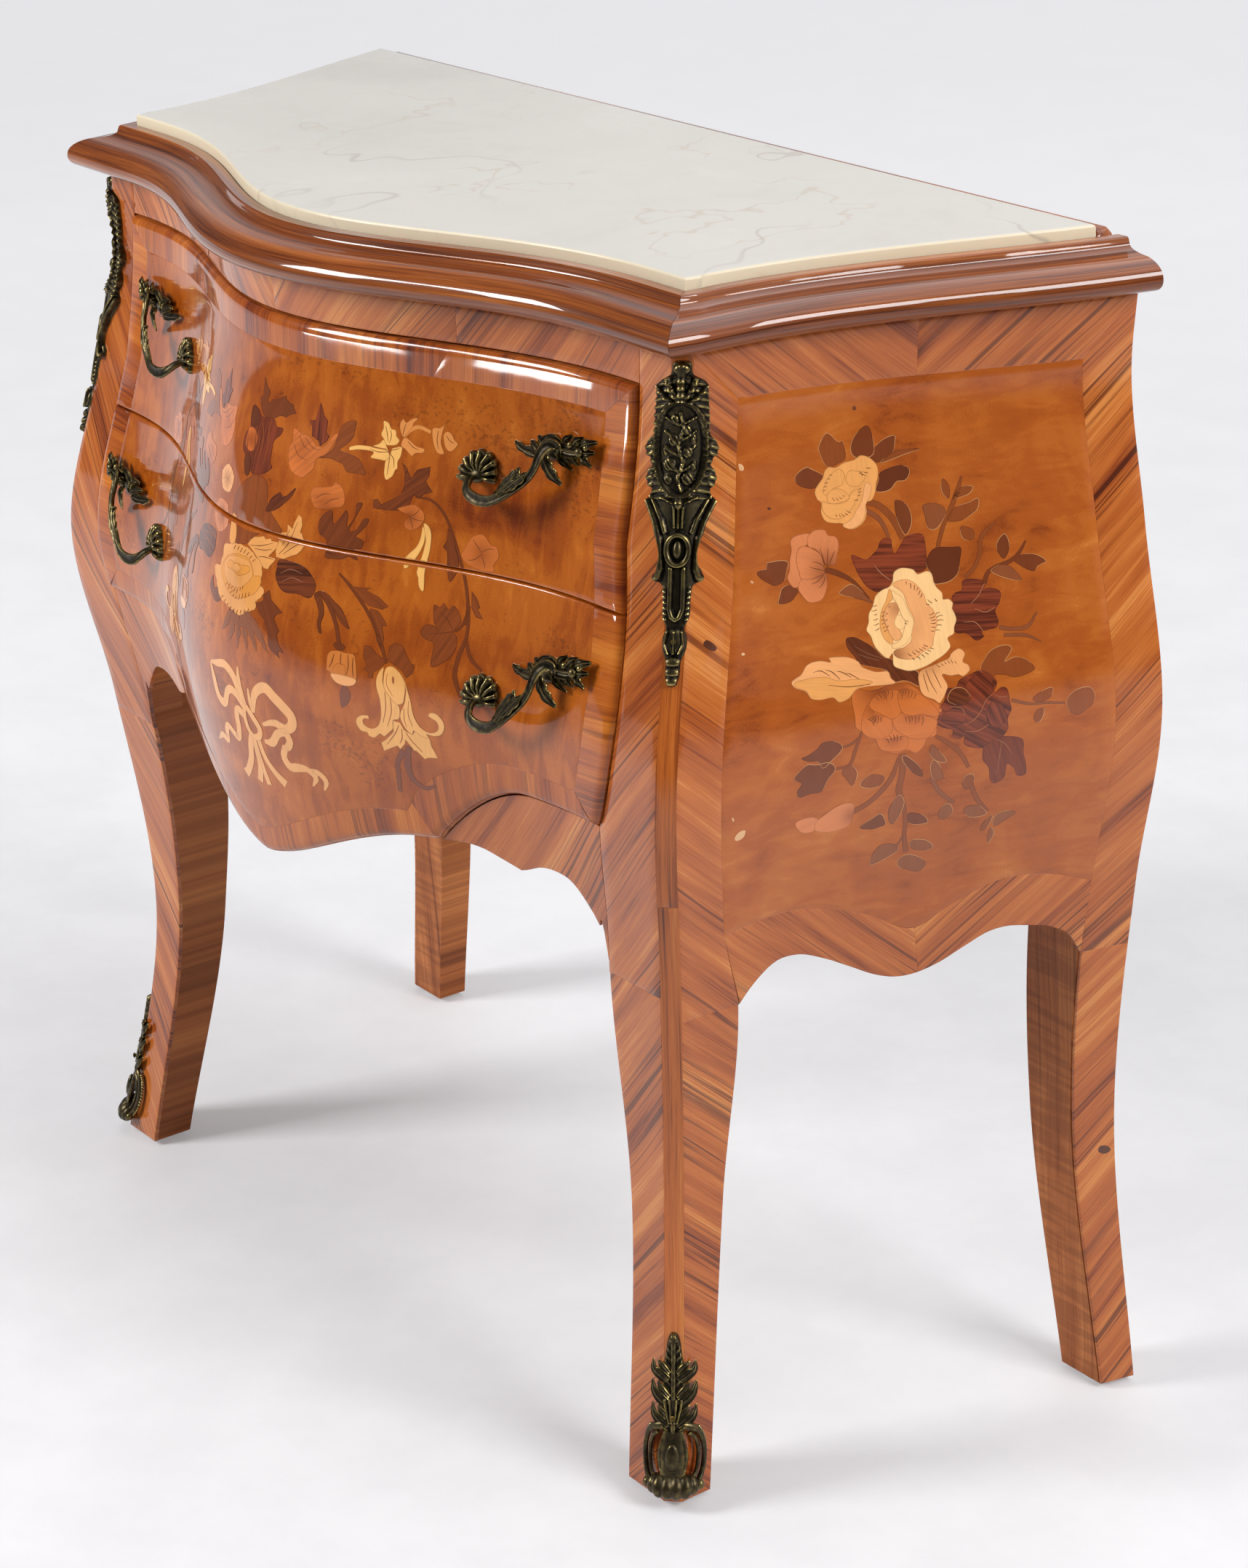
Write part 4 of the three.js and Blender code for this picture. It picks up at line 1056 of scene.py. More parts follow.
def skin_back(flat):
    """The back of the veneer on a drawer's front: straight behind its face."""
    return on_drawer(flat[:, 0], flat[:, 1]) - np.array([0, DRAWER_SKIN, 0])


FIELD_SEED = 31


def skin(shells, grid, way, rounds, seed=None):
    """Veneer on a drawer's front."""
    plate(shells, grid, on_drawer, rounds, way, back=skin_back, seed=seed)


def upright_bands(shells, inner_ends, outer_ends, rounds):
    """The bands at both ends of a front, each between two levels at its inner and at its outer edge."""
    t = np.linspace(0, 1, 26)
    inner_z, outer_z = (low + (high - low) * t for low, high in (inner_ends, outer_ends))
    for side, way in ((1, 4), (-1, 176)):
        inner = stack(side * band_edge(inner_z), inner_z)
        outer = stack(side * drawer_edge(outer_z), outer_z)
        skin(shells, ruled(inner, outer, 3), way, rounds)


def level(z):
    """A level line, as a function of s."""
    return lambda s: np.full_like(np.asarray(s, float), z)


def upper_front():
    """Core, bands and field of the upper drawer's front."""
    core, bands, field = Shells(), Shells(), Shells()
    low, high = UPPER_LOW, UPPER_HIGH
    inner_high = high - BAND_TOP_WIDTH
    s = np.linspace(0, 1, 110)
    grid = framed(minus(drawer_edge), drawer_edge, level(low), level(high), s, np.linspace(0, 1, 28))
    plate(core, grid, on_drawer_core, None, 0, VENEER, 0, upright_back(UPPER_INNER_REACH))
    grid = framed(minus(band_edge), band_edge, level(low), level(inner_high), s, np.linspace(0, 1, 24))
    skin(field, grid, 0, rounding(left=SEAM_ROUND), FIELD_SEED)
    upright_bands(bands, (low, inner_high), (low, high), rounding(SEAM_ROUND, right=DRAWER_ROUND))
    for first in (-1, -0.5, 0, 0.5):
        u = np.linspace(first, first + 0.5, 30)
        inner = stack(u * band_edge(inner_high), inner_high)
        outer = stack(u * drawer_edge(high), high)
        skin(bands, ruled(inner, outer, 3), 90, rounding(right=DRAWER_ROUND))
    return core, bands, field


def lower_front():
    """Core, bands and field of the lower drawer's front, with its shaped lower edge."""
    core, bands, field = Shells(), Shells(), Shells()
    high = LOWER_HIGH
    tip = float(drawer_edge(BRACKET_TOP))
    kink = BRACKET_START / tip
    outer_steps, half_steps = 29, 30
    beyond = np.linspace(1, kink, outer_steps + 1)[:-1]
    u = np.concatenate([-beyond, np.linspace(-kink, kink, 2 * half_steps + 1), beyond[::-1]])

    def outer_low(s):
        return lower_edge((2 * s - 1) * tip)

    def inner_low(s):
        """The band's inner line: its width is measured square to the edge, but upright near the tips."""
        x = (2 * np.asarray(s, float) - 1) * tip
        apart, reach = 3, 50
        slope = (lower_edge(x + apart) - lower_edge(x - apart)) / (2 * apart)
        near_end = np.clip((np.abs(x) - (tip - reach)) / reach, 0, 1)
        return lower_edge(x) + BAND_LOW_WIDTH * np.sqrt(1 + (slope * (1 - near_end)) ** 2)

    s = (u + 1) / 2
    t = np.linspace(0, 1, 34)
    grid = framed(minus(drawer_edge), drawer_edge, outer_low, level(high), s, t)
    plate(core, grid, on_drawer_core, None, 0, VENEER, 0, upright_back(LOWER_INNER_REACH))
    grid = framed(minus(band_edge), band_edge, inner_low, level(high), s, t)
    skin(field, grid, 0, rounding(right=SEAM_ROUND), FIELD_SEED)
    inner_line = grid[:, 0, :]
    outer_line = stack(u * tip, outer_low(s))
    outer_line[:, 1] = np.minimum(outer_line[:, 1], BRACKET_TOP + DRAWER_GAP)
    # The bottom band is in four lengths, with joints at the kinks and in the middle
    cuts = np.cumsum([0, outer_steps, half_steps, half_steps, outer_steps])
    for first, last in zip(cuts[:-1], cuts[1:]):
        part = slice(first, last + 1)
        skin(bands, ruled(inner_line[part], outer_line[part], 3), 90, rounding(right=DRAWER_ROUND))
    ends = ((line[-1, 1], high) for line in (inner_line, outer_line))
    upright_bands(bands, *ends, rounding(last=SEAM_ROUND, right=DRAWER_ROUND))
    return core, bands, field


for drawer, parts in (("upper", upper_front()), ("lower", lower_front())):
    core, bands, field = parts
    body = drawer + "_drawer"
    make(drawer + "_front_core", core, plain_wood, body, [drawer + "_front"])
    make(drawer + "_band_veneer", bands, drawer_band_wood, body)
    make(drawer + "_field_veneer", field, drawer_field_wood, body)


# Top: moulding, strip and marble

MARBLE_LOW, MARBLE_HIGH = (corner[2] for corner in node_box("marble_top"))
MOULDING_LOW, MOULDING_HIGH = (corner[2] for corner in node_box("moulding_front"))
TOP_BOARD_TOP = node_box("top_board")[1][2]
MARBLE_INSET = 18
MARBLE_CLEARANCE = 0.6
NOSE_WIDTH = 20
FLAT_WIDTH = 9
HEAD_CORNER = 0.7
STRIP_THICKNESS = 12
MOULDING_ROUND = 0.6
MOULDING_SHARES = [
    (0, 1), (0.03, 0.9), (0.06, 0.83), (0.17, 0.77), (0.36, 0.73), (0.6, 0.7), (0.82, 0.61), (0.96, 0.48),
    (1, 0.33), (0.97, 0.21), (0.86, 0.11), (0.66, 0.04),
]

corner_place = np.array([corner_x(CASE_HEIGHT) + CHAMFER * HEAD_CORNER, corner_reach(CASE_HEIGHT)])


def unit_normal(first, second):
    """The outward normal of a line in plan."""
    dx, dr = second - first
    length = math.hypot(dx, dr)
    return np.array([-dr / length, dx / length])


def plan_paths(front_steps, side_steps):
    """The top's right half in plan: from the middle of the front to the corner, and on to the back."""
    xs = np.linspace(0, corner_place[0], front_steps + 1)
    front = stack(xs, front_surface(xs, CASE_HEIGHT))
    t = np.linspace(0, 1, side_steps + 1)
    reach = (corner_place[1] - CHAMFER) * (1 - t)
    side = stack(side_x(reach, CASE_HEIGHT), reach)
    side[0] = corner_place
    return front, side


# The mitre follows the part's own steps, so both halves of a corner stay in one plane
_, coarse_side = plan_paths(16, 10)
side_start = unit_normal(coarse_side[0], coarse_side[2])
mitre_way = np.array([side_start[0], side_start[1] + 1]) / (1 + side_start[1])
back_way = np.array([1 / unit_normal(coarse_side[-2], coarse_side[-1])[0], 0])


def with_ways(points, first, last):
    """The directions in which the moulding stands out of each point of a path."""
    ways = [first]
    for i in range(1, len(points) - 1):
        ways.append(unit_normal(points[i - 1], points[i + 1]))
    ways.append(last)
    return np.array(ways)


front_plan, side_plan = plan_paths(64, 48)
front_ways = with_ways(front_plan, np.array([0.0, 1.0]), mitre_way)
side_ways = with_ways(side_plan, mitre_way, back_way)
# Eases from the corner's mitre to the line's own normal
for ways, order in ((front_ways, slice(None, None, -1)), (side_ways, slice(None))):
    eased = ways[order]
    for i in range(1, 4):
        share = i / 4
        eased[i] = mitre_way * (1 - share) + eased[i] * share


def moulding_profile():
    """(offset, z) round the moulding, with fine steps over the moulded face."""
    flat_end = -MARBLE_INSET + FLAT_WIDTH
    height = MOULDING_HIGH - MOULDING_LOW
    rebate = TOP_BOARD_TOP + SEAT_GAP
    shoulder = MOULDING_HIGH - MOULDING_ROUND
    t = np.linspace(0, 1, len(MOULDING_SHARES))
    fine = np.linspace(0, 1, 46)
    outs, rises = (smooth(t, values)(fine) for values in zip(*MOULDING_SHARES))
    offsets = flat_end + outs * (NOSE_WIDTH - flat_end)
    levels = np.minimum(MOULDING_LOW + rises * height, shoulder)
    return [
        (0, MOULDING_LOW), (0, rebate), (-MARBLE_INSET, rebate), (-MARBLE_INSET, shoulder),
        (-MARBLE_INSET + MOULDING_ROUND, MOULDING_HIGH), (flat_end - 0.8, MOULDING_HIGH),
        *zip(offsets, levels),
    ]


PROFILE = moulding_profile()


def swept(points, ways):
    """The moulding's section at each point of a path, and its grain along the path."""
    rings = []
    grain = []
    steps = np.concatenate([[0], np.cumsum(np.linalg.norm(np.diff(points, axis=0), axis=1))])
    lengths = np.cumsum([0] + [math.dist(a, b) for a, b in zip(PROFILE[:-1], PROFILE[1:])])
    seed = some_seed()
    for point, way, step in zip(points, ways, steps):
        rings.append([(point[0] + way[0] * offset, point[1] + way[1] * offset, z) for offset, z in PROFILE])
        grain.extend([(step, length, seed) for length in lengths])
    return rings, np.array(grain, float)


def doubled(half):
    """A path's right half with its mirror image before it."""
    return np.concatenate([half[:0:-1] * np.array([-1, 1]), half])


def moulding():
    """The front length and the right-hand one, mitred where they meet."""
    front, side = Shells(), Shells()
    rings, grain = swept(doubled(front_plan), doubled(front_ways))
    rings[-1] = [(x - SEAT_GAP, reach, z) for x, reach, z in rings[-1]]
    rings[0] = [(x + SEAT_GAP, reach, z) for x, reach, z in rings[0]]
    loft(front, rings, grain)
    rings, grain = swept(side_plan, side_ways)
    loft(side, rings, grain)
    return front, side


front_moulding, side_moulding = moulding()
make("front_moulding", front_moulding, moulding_wood, "case", ["moulding_front"])
make_pair("side_moulding", side_moulding, moulding_wood, "case", ["moulding"])


def marble_slab():
    """The slab, with a rounded upper edge."""
    shells = Shells()
    offset = -MARBLE_INSET - MARBLE_CLEARANCE
    back = STRIP_THICKNESS + 2 * MARBLE_CLEARANCE

    def outline(inset):
        front = front_plan + front_ways * (offset - inset)
        side = side_plan[1:-1] + side_ways[1:-1] * (offset - inset)
        side = side[side_plan[1:-1][:, 1] > back + 8]
        end_slope = (side[-1] - side[-2]) / (side[-1][1] - side[-2][1])
        corner = side[-1] + end_slope * (back + inset - side[-1][1])
        half = np.concatenate([front, side, [corner]])
        return np.concatenate([half, half[:0:-1] * np.array([-1, 1])])

    levels = [(inset, MARBLE_LOW + rise) for inset, rise in ((1.2, 0), (0.4, 0.4), (0.0, 1.4))]
    for inset, drop in ((0.0, 2.0), (0.15, 1.2), (0.6, 0.5), (1.2, 0.12), (2.2, 0)):
        levels.append((inset, MARBLE_HIGH - drop))
    loft(shells, [[(x, reach, z) for x, reach in outline(inset)] for inset, z in levels])
    return shells


make("marble_slab", marble_slab(), marble_stone, "case", ["marble_top"])


def back_strip():
    """The strip behind the marble, rounded at both ends and along its upper edges."""
    shells = Shells()
    low, high = node_box("back_strip")
    width = high[0]
    depth = STRIP_THICKNESS
    edge = 1.5
    grain_step, grain_seed = 5.0, 3.0
    ends = [(0, 5.0), (1, 2.4), (3, 0.8), (5, 0.0)]
    places = [(-width + inward, drop) for inward, drop in ends]
    places += [(width - inward, drop) for inward, drop in ends[::-1]]
    rings = []
    for x, drop in places:
        top = high[2] - drop
        rings.append([(x, 0.0, low[2]), (x, 0.0, top - edge), (x, edge, top), (x, depth - edge, top),
                      (x, depth, top - edge), (x, depth, low[2])])
    grain = np.array([(x, k * grain_step, grain_seed) for x, _ in places for k in range(6)], float)
    loft(shells, rings, grain)
    return shells


make("back_rail_strip", back_strip(), moulding_wood, "case", ["back_strip"])


# Bronze castings, made of closed shells in (u, v, out) places that a map lays over the surface

def corner_wrap(s, z, out=0.0):
    """Round the front corner: s runs from the front face (negative) to the side face."""
    radius = CORNER_ROUND
    quarter = math.pi * radius / 4
    s, z, out = (np.asarray(part, float) for part in np.broadcast_arrays(s, z, out))
    x = corner_x(z) + CHAMFER - radius
    reach = corner_reach(z) - radius
    turn = math.pi / 4 + np.clip(s, -quarter, quarter) / radius
    way = stack(np.sin(turn), np.cos(turn))
    beyond_front = np.maximum(-s - quarter, 0)
    beyond_side = np.maximum(s - quarter, 0)
    place = stack(x - beyond_front, reach - beyond_side, z)
    place[..., 0] += way[..., 0] * (radius + out)
    place[..., 1] += way[..., 1] * (radius + out)
    return place


def flipped(side, points):
    """Points as they are for side 1, and mirrored for side -1."""
    return [(side * x, *rest) for x, *rest in points]


def curve(controls, count):
    """A smooth line of places through control places."""
    controls = np.array(controls, float)
    t = np.arange(len(controls))
    fine = np.linspace(0, len(controls) - 1, count)
    return np.stack([smooth(t, column)(fine) for column in controls.T], axis=1)


ROUND_SECTION = [(math.cos(turn), math.sin(turn)) for turn in np.linspace(0, 2 * math.pi, 13)[:-1]]
BAND_SECTION = [
    (-1, 0), (-0.92, 0.75), (-0.75, 0.95), (-0.5, 0.45), (0, 0.3), (0.5, 0.45), (0.75, 0.95), (0.92, 0.75),
    (1, 0), (0.7, -0.7), (0, -0.9), (-0.7, -0.7),
]
LEAF_SECTION = [
    (-1, -0.2), (-0.94, 0.5), (-0.8, 0.75), (-0.62, 0.35), (-0.45, 0.6), (-0.28, 0.5), (-0.12, 1.0),
    (0, 1.15), (0.12, 1.0), (0.28, 0.5), (0.45, 0.6), (0.62, 0.35), (0.8, 0.75), (0.94, 0.5), (1, -0.2),
    (0.5, -0.7), (0, -0.8), (-0.5, -0.7),
]


def cast(shells, at, rings):
    """A closed solid through rings of (u, v, out) places, without grain."""
    flat = rings.reshape(-1, 3)
    loft(shells, at(*flat.T).reshape(rings.shape), np.zeros_like(flat))


def sweep(shells, at, controls, widths, thicks, section=None, count=28, lobes=0, lobe_depth=0.3):
    """A section carried along a line; its wide way lies in the surface, its thick way points out."""
    section = np.array(section or ROUND_SECTION)
    line = curve(controls, count)
    t = np.linspace(0, 1, count)
    wide, thick = (smooth(np.linspace(0, 1, len(sizes)), sizes)(t) / 2 for sizes in (widths, thicks))
    if lobes:
        wide = wide * (1 - lobe_depth * np.abs(np.sin(math.pi * lobes * t)) ** 3)
    tangent = unit(np.gradient(line, axis=0))
    across = np.cross(tangent, np.array([0, 0, 1.0]))
    # Where the line runs straight out, its neighbour tells which way is across
    level_enough = np.linalg.norm(across, axis=1) > 0.25
    for i in np.flatnonzero(~level_enough):
        across[i] = across[i - 1 if level_enough[:i].any() else int(np.argmax(level_enough))]
    across = unit(across)
    upward = unit(np.cross(across, tangent))
    cast(shells, at, (
        line[:, None, :]
        + across[:, None, :] * (section[None, :, 0] * wide[:, None])[..., None]
        + upward[:, None, :] * (section[None, :, 1] * thick[:, None])[..., None]
    ))


def bead(shells, at, place, size, rows=7, columns=10):
    """An ellipsoid; size is its half extents along u, v and out."""
    points = []
    for i in range(1, rows):
        lift = math.pi * i / rows
        for j in range(columns):
            turn = 2 * math.pi * j / columns
            points.append((math.sin(lift) * math.cos(turn), math.sin(lift) * math.sin(turn), math.cos(lift)))
    points = np.array(points) * np.array(size) + np.array(place)
    cast(shells, at, points.reshape(rows - 1, columns, 3))


def fan(shells, at, centre, radii, angles, ribs, height):
    """A gadrooned shell fanning out of a centre; radii go with the angles."""
    count, rows = 90, 12
    turns = np.radians(np.linspace(angles[0], angles[-1], count))
    reach = smooth(np.radians(angles), radii)(turns)
    share = (np.degrees(turns) - angles[0]) / (angles[-1] - angles[0])
    swell = np.abs(np.sin(math.pi * ribs * share))[:, None]
    t = np.linspace(0.08, 1, rows)[None, :]
    size = reach[:, None] * t * (1 - 0.1 * (1 - swell) * t ** 3)
    u = centre[0] + size * np.cos(turns)[:, None]
    v = centre[1] + size * np.sin(turns)[:, None]
    out = height * (0.55 + 0.75 * np.sin(math.pi * np.minimum(t * 0.9, 1)) * (0.35 + 0.65 * swell))
    out = out * np.where(t > 0.97, 0.5, 1.0) + 1.2 * np.clip((t - 0.7) / 0.2, 0, 1) * swell
    top = at(u.ravel(), v.ravel(), out.ravel())
    low = at(u.ravel(), v.ravel(), np.full(u.size, -0.2))
    sheet(shells, top, low, count, rows)


def stroke(s, z, line, radius, height):
    """A rounded ridge along a line of (s, z) places, as a height over a grid."""
    line = np.array(line, float)
    nearest = np.full(s.shape, 1e9)
    for (s0, z0), (s1, z1) in zip(line[:-1], line[1:]):
        ds, dz = s1 - s0, z1 - z0
        t = np.clip(((s - s0) * ds + (z - z0) * dz) / (ds * ds + dz * dz + 1e-9), 0, 1)
        nearest = np.minimum(nearest, (s - s0 - t * ds) ** 2 + (z - z0 - t * dz) ** 2)
    return height * np.sqrt(np.clip(1 - nearest / radius ** 2, 0, 1))


def dome(s, z, place, size, height):
    """A rounded boss, as a height over a grid."""
    distance = ((s - place[0]) / size[0]) ** 2 + ((z - place[1]) / size[1]) ** 2
    return height * np.sqrt(np.clip(1 - distance, 0, 1))


def oval(centre, half_width, half_height):
    """A closed line round a centre."""
    return [(centre[0] + half_width * math.sin(turn), centre[1] + half_height * math.cos(turn))
            for turn in np.linspace(0, 2 * math.pi, 41)]


def ripples(position, spacing):
    """Evenly spaced waves, from 0 to 1."""
    return 0.5 + 0.5 * np.cos(2 * math.pi * position / spacing)


def relief(shells, at, levels, half_widths, height, rows, columns):
    """A casting whose outline is a half width for each level, and whose height is a function."""
    edge = 1.6
    z = np.linspace(levels[0], levels[-1], rows)
    order = np.argsort(levels)
    wide = smooth(np.array(levels)[order], np.array(half_widths)[order])(z)[:, None]
    t = np.linspace(-1, 1, columns)[None, :]
    s = wide * t
    zz = np.repeat(z[:, None], columns, axis=1)
    out = height(s, zz, wide)
    inside = np.clip((1 - np.abs(t)) * wide / edge, 0, 1)
    ends = np.clip(np.minimum(zz - z.min(), z.max() - zz) / edge, 0, 1)
    out = out * np.sqrt(np.minimum(inside, ends)) * 0.999 - 0.2
    top = at(s.ravel(), zz.ravel(), out.ravel())
    low = at(s.ravel(), zz.ravel(), np.full(s.size, -1.2))
    sheet(shells, top, low, rows, columns)


def corner_mount_height(s, z, wide):
    """Relief of the corner mount: oval with foliage, ribbed border, scrolls, ring, tongue and buds."""
    centre, size = (0, 685.5), (13.6, 27)
    inside = ((s - centre[0]) / size[0]) ** 2 + ((z - centre[1]) / size[1]) ** 2
    in_border = (inside > 1.05) & (z > 655) & (z < 728)
    ribs = ripples(z + 0.35 * np.abs(s), 4.4)
    out = 2.4 + np.where(in_border, 1.3 * ribs + 0.6 * np.abs(s) / np.maximum(wide, 1), 0)
    out = np.where(inside < 1, 1.7, out)
    add = np.zeros(s.shape)

    def ridge(line, radius, height, share=1):
        np.maximum(add, stroke(s, z, line, radius, height) * share, out=add)

    def boss(place, size, height):
        np.maximum(add, dome(s, z, place, size, height), out=add)

    ridge(oval(centre, *size), 1.5, 2.6)
    # Foliage and flowers inside the oval
    ridge([(1, 661), (-1, 668), (2, 677), (-1, 687), (2, 697), (0, 706)], 1.0, 1.8)
    for place, size, height in (
        ((-5.5, 676), (3.8, 4.0), 2.4), ((4.5, 668), (3.6, 4.2), 2.6), ((4.2, 683), (3.0, 3.4), 2.2),
        ((-3.5, 690), (2.8, 3.6), 2.0), ((3.6, 696), (2.6, 3.2), 2.2), ((-3.0, 702), (2.4, 3.0), 1.8),
        ((-6.5, 667), (2.6, 3.0), 1.8), ((7.5, 675), (1.8, 3.2), 1.6), ((-8.0, 684), (1.6, 3.6), 1.4),
        ((7.2, 690), (1.7, 3.4), 1.5),
    ):
        boss(place, size, height)
    for side in (-1, 1):
        for level, rise in ((672, 5), (681, 5.5), (690, 5), (699, 4)):
            ridge(flipped(side, [(0, level), (4, level + 2), (8, level + rise)]), 0.9, 1.6)
    notch = ripples(s * 0.9 + z * 0.6, 2.2)
    add = np.where(inside < 0.92, add * (0.72 + 0.28 * notch), add)
    # Crest
    ridge([(0, 714), (0, 724), (0, 734)], 2.2, 3.2)
    for side in (-1, 1):
        ridge(flipped(side, [(2, 715), (5.5, 721), (7, 726)]), 1.8, 2.8)
        ridge(flipped(side, [(4, 712), (9, 716), (12.5, 720)]), 1.7, 2.4)
    boss((0, 732), (4.2, 3.6), 2.6)
    # Lobes and scrolls of the border, and the rods that hang from it
    for side in (-1, 1):
        for line, radius, height in (
            ([(21, 653), (17.5, 648.5), (13, 642), (10.2, 634), (9.2, 625), (9.0, 617), (10.5, 612),
              (13.2, 610.5)], 1.9, 3.4),
            ([(17.5, 656), (13, 651), (9, 645), (6.8, 638)], 1.3, 2.4),
            ([(3.2, 618), (3.2, 595), (1.8, 590.5), (0, 589)], 1.35, 2.6),
            ([(3, 660), (9, 663)], 1.0, 1.5),
            ([(3, 654.5), (9, 657.5)], 1.0, 1.5),
        ):
            ridge(flipped(side, line), radius, height)
        cords = 0.2 + 0.8 * ripples(z, 3.1)
        ridge(flipped(side, [(6.6, 606), (6.0, 598), (5.6, 588)]), 1.3, 1.5, cords)
        for place, size, height in (
            ((20, 683.5), (4.5, 5.5), 1.7), ((19.5, 666), (4.5, 5.5), 1.7), ((20.5, 651.5), (3.0, 3.0), 3.0),
            ((12.8, 610.5), (2.8, 2.8), 3.2),
        ):
            boss((side * place[0], place[1]), size, height)
    # Tongue, ring and buds
    for offset in (-2.4, 0, 2.4):
        ridge([(offset, 652), (offset * 0.8, 641)], 0.8, 1.7)
    for offset in (-3.4, 0, 3.4):
        ridge([(offset, 583), (offset * 1.2, 576), (offset * 0.7, 571)], 0.9, 4.2)
    ridge(oval((0, 628.5), 5.4, 8.6), 1.7, 3.4)
    for level, size, height in (
        (655, (2.2, 4.4), 3.0), (628.5, (2.4, 5.6), 3.2), (577, (6.2, 7.0), 3.4), (565.5, (4.4, 3.0), 3.0),
        (560, (4.2, 3.0), 3.0), (555, (3.6, 3.0), 3.0),
    ):
        boss((0, level), size, height)
    return out + add


MOUNT_LEVELS = [
    737, 735.7, 731, 728.2, 723.2, 714.4, 701.8, 690.5, 685.5, 680.4, 674.2, 667.9, 664.1, 657.8, 652.8,
    647.8, 641.5, 632.7, 620.1, 611.3, 607.6, 601.3, 588.7, 583.7, 578.6, 569.8, 566.1, 557.3, 551,
]
MOUNT_HALF_WIDTHS = [
    3, 5, 6, 7, 14.5, 16.5, 17.8, 19.2, 23.2, 23.6, 19.6, 22.4, 22.2, 19, 22.6,
    20.4, 16.6, 11.8, 10.9, 15, 10, 8.5, 7.8, 5.6, 7.2, 6.6, 4.9, 4.3, 2.8,
]


def corner_mount():
    """The cast ornament down the upper part of a front corner."""
    shells = Shells()
    relief(shells, corner_wrap, MOUNT_LEVELS, MOUNT_HALF_WIDTHS, corner_mount_height, 420, 84)
    return shells


def sabot_height(s, z, wide):
    """Relief of the shoe's tall leaf: a rib with fluted sides, a bud at the top and short veins."""
    base = 2.6
    flutes = ripples(z - 1.1 * np.abs(s), 5.2) * np.clip(np.abs(s) / 4, 0, 1)
    out = base + stroke(s, z, [(0, 46), (0, 80), (0, 111)], 1.4, 1.8) + 0.8 * flutes
    out = np.maximum(out, base + dome(s, z, (0, 109), (3.4, 3.4), 1.8))
    for offset in (-4, -1.5, 1.5, 4):
        vein = [(offset * 0.5, 56), (offset, 66), (offset * 1.1, 70)]
        out = np.maximum(out, base + stroke(s, z, vein, 1.0, 2.4))
    return out


SABOT_LEVELS = [112, 109, 100, 90, 80, 70, 62, 54, 46, 42]
SABOT_HALF_WIDTHS = [1.6, 3.2, 5, 6.4, 7, 7.6, 7.6, 7.2, 6.6, 6.0]


def sabot():
    """The cast shoe of a front foot: a tall leaf, side leaves, scrolls, a cabochon and a reeded toe."""
    shells = Shells()
    at = corner_wrap
    relief(shells, at, SABOT_LEVELS, SABOT_HALF_WIDTHS, sabot_height, 150, 40)
    for side in (-1, 1):
        for low, high, tip in ((82, 93.5, 12.6), (67, 80.5, 13.4), (53, 65.5, 13.4)):
            leaf = [(3.5, low, 2.2), (7.5, low + 4, 3.6), (10.8, high - 5, 4.2), (tip, high, 2.8)]
            sweep(shells, at, flipped(side, leaf), [6.5, 7.5, 5.4, 1.2], [2.4, 2.6, 2.2, 0.8],
                  LEAF_SECTION, 22)
            leaf = [(2.5, low + 5, 3.0), (6, low + 10, 4.0), (8.6, high + 0.5, 3.0)]
            sweep(shells, at, flipped(side, leaf), [3.6, 4.0, 1.0], [2.0, 2.0, 0.8], LEAF_SECTION, 14)
        scroll = [
            (5.5, 54, 3.2), (11, 51.5, 3.6), (16.4, 46, 3.8), (19, 36, 4.2), (17.6, 25, 4.8), (13, 17.5, 6.0),
            (8, 14, 7.0),
        ]
        sweep(shells, at, flipped(side, scroll), [4.6, 4.4, 3.8, 3.4, 3.4, 3.6, 4.0],
              [3.2, 3.4, 3.2, 3.2, 3.4, 4.0, 4.0], None, 40)
        inner = [(8.5, 49, 3.2), (12.6, 44, 3.6), (14.4, 35, 4.0), (12.6, 25, 4.6), (9.5, 20, 5.2)]
        sweep(shells, at, flipped(side, inner), [2.4] * 5, [2.6] * 5, None, 26)
        pearls = [(15.4, 50.5, 2.8), (19.0, 44, 2.8), (20.6, 35, 3.0), (19.4, 25, 3.6), (15.8, 18, 4.6)]
        for place in curve(flipped(side, pearls), 17):
            bead(shells, at, place, (1.3, 1.2, 1.4), 6, 8)
        bead(shells, at, (side * 13.5, 16, 7.0), (3.0, 3.4, 3.0))
        rib = [(5.0, 47, 3.0), (6.6, 36, 4.4), (5.6, 26, 5.0)]
        sweep(shells, at, flipped(side, rib), [2.2, 2.6, 2.2], [2.6, 3.0, 2.6], None, 20)
    sweep(shells, at, [(0, 50, 2.6), (0, 44, 3.4), (0, 34, 4.6), (0, 25, 5.2), (0, 20, 5.6)],
          [11, 12.4, 13.4, 12.4, 11], [3.0, 3.2, 4.4, 3.4, 3.0], None, 26)
    bead(shells, at, (0, 35, 6.2), (3.4, 9.0, 2.4), 9, 14)
    # Reeded toe, rolled over the front of the foot
    half = 12.5
    rings = []
    for s in np.linspace(-half, half, 61):
        reed = abs(math.sin(math.pi * 3 * (s / half)))
        narrow = math.sqrt(max(1 - (abs(s) / 13.4) ** 3.4, 0))
        radius = (6.4 + 1.3 * reed) * narrow
        rings.append([(s, 16.0 + radius * 1.02 * math.sin(turn), 4.6 + radius * 0.98 * math.cos(turn))
                      for turn in np.linspace(0, 2 * math.pi, 25)[:-1]])
    cast(shells, at, np.array(rings))
    return shells


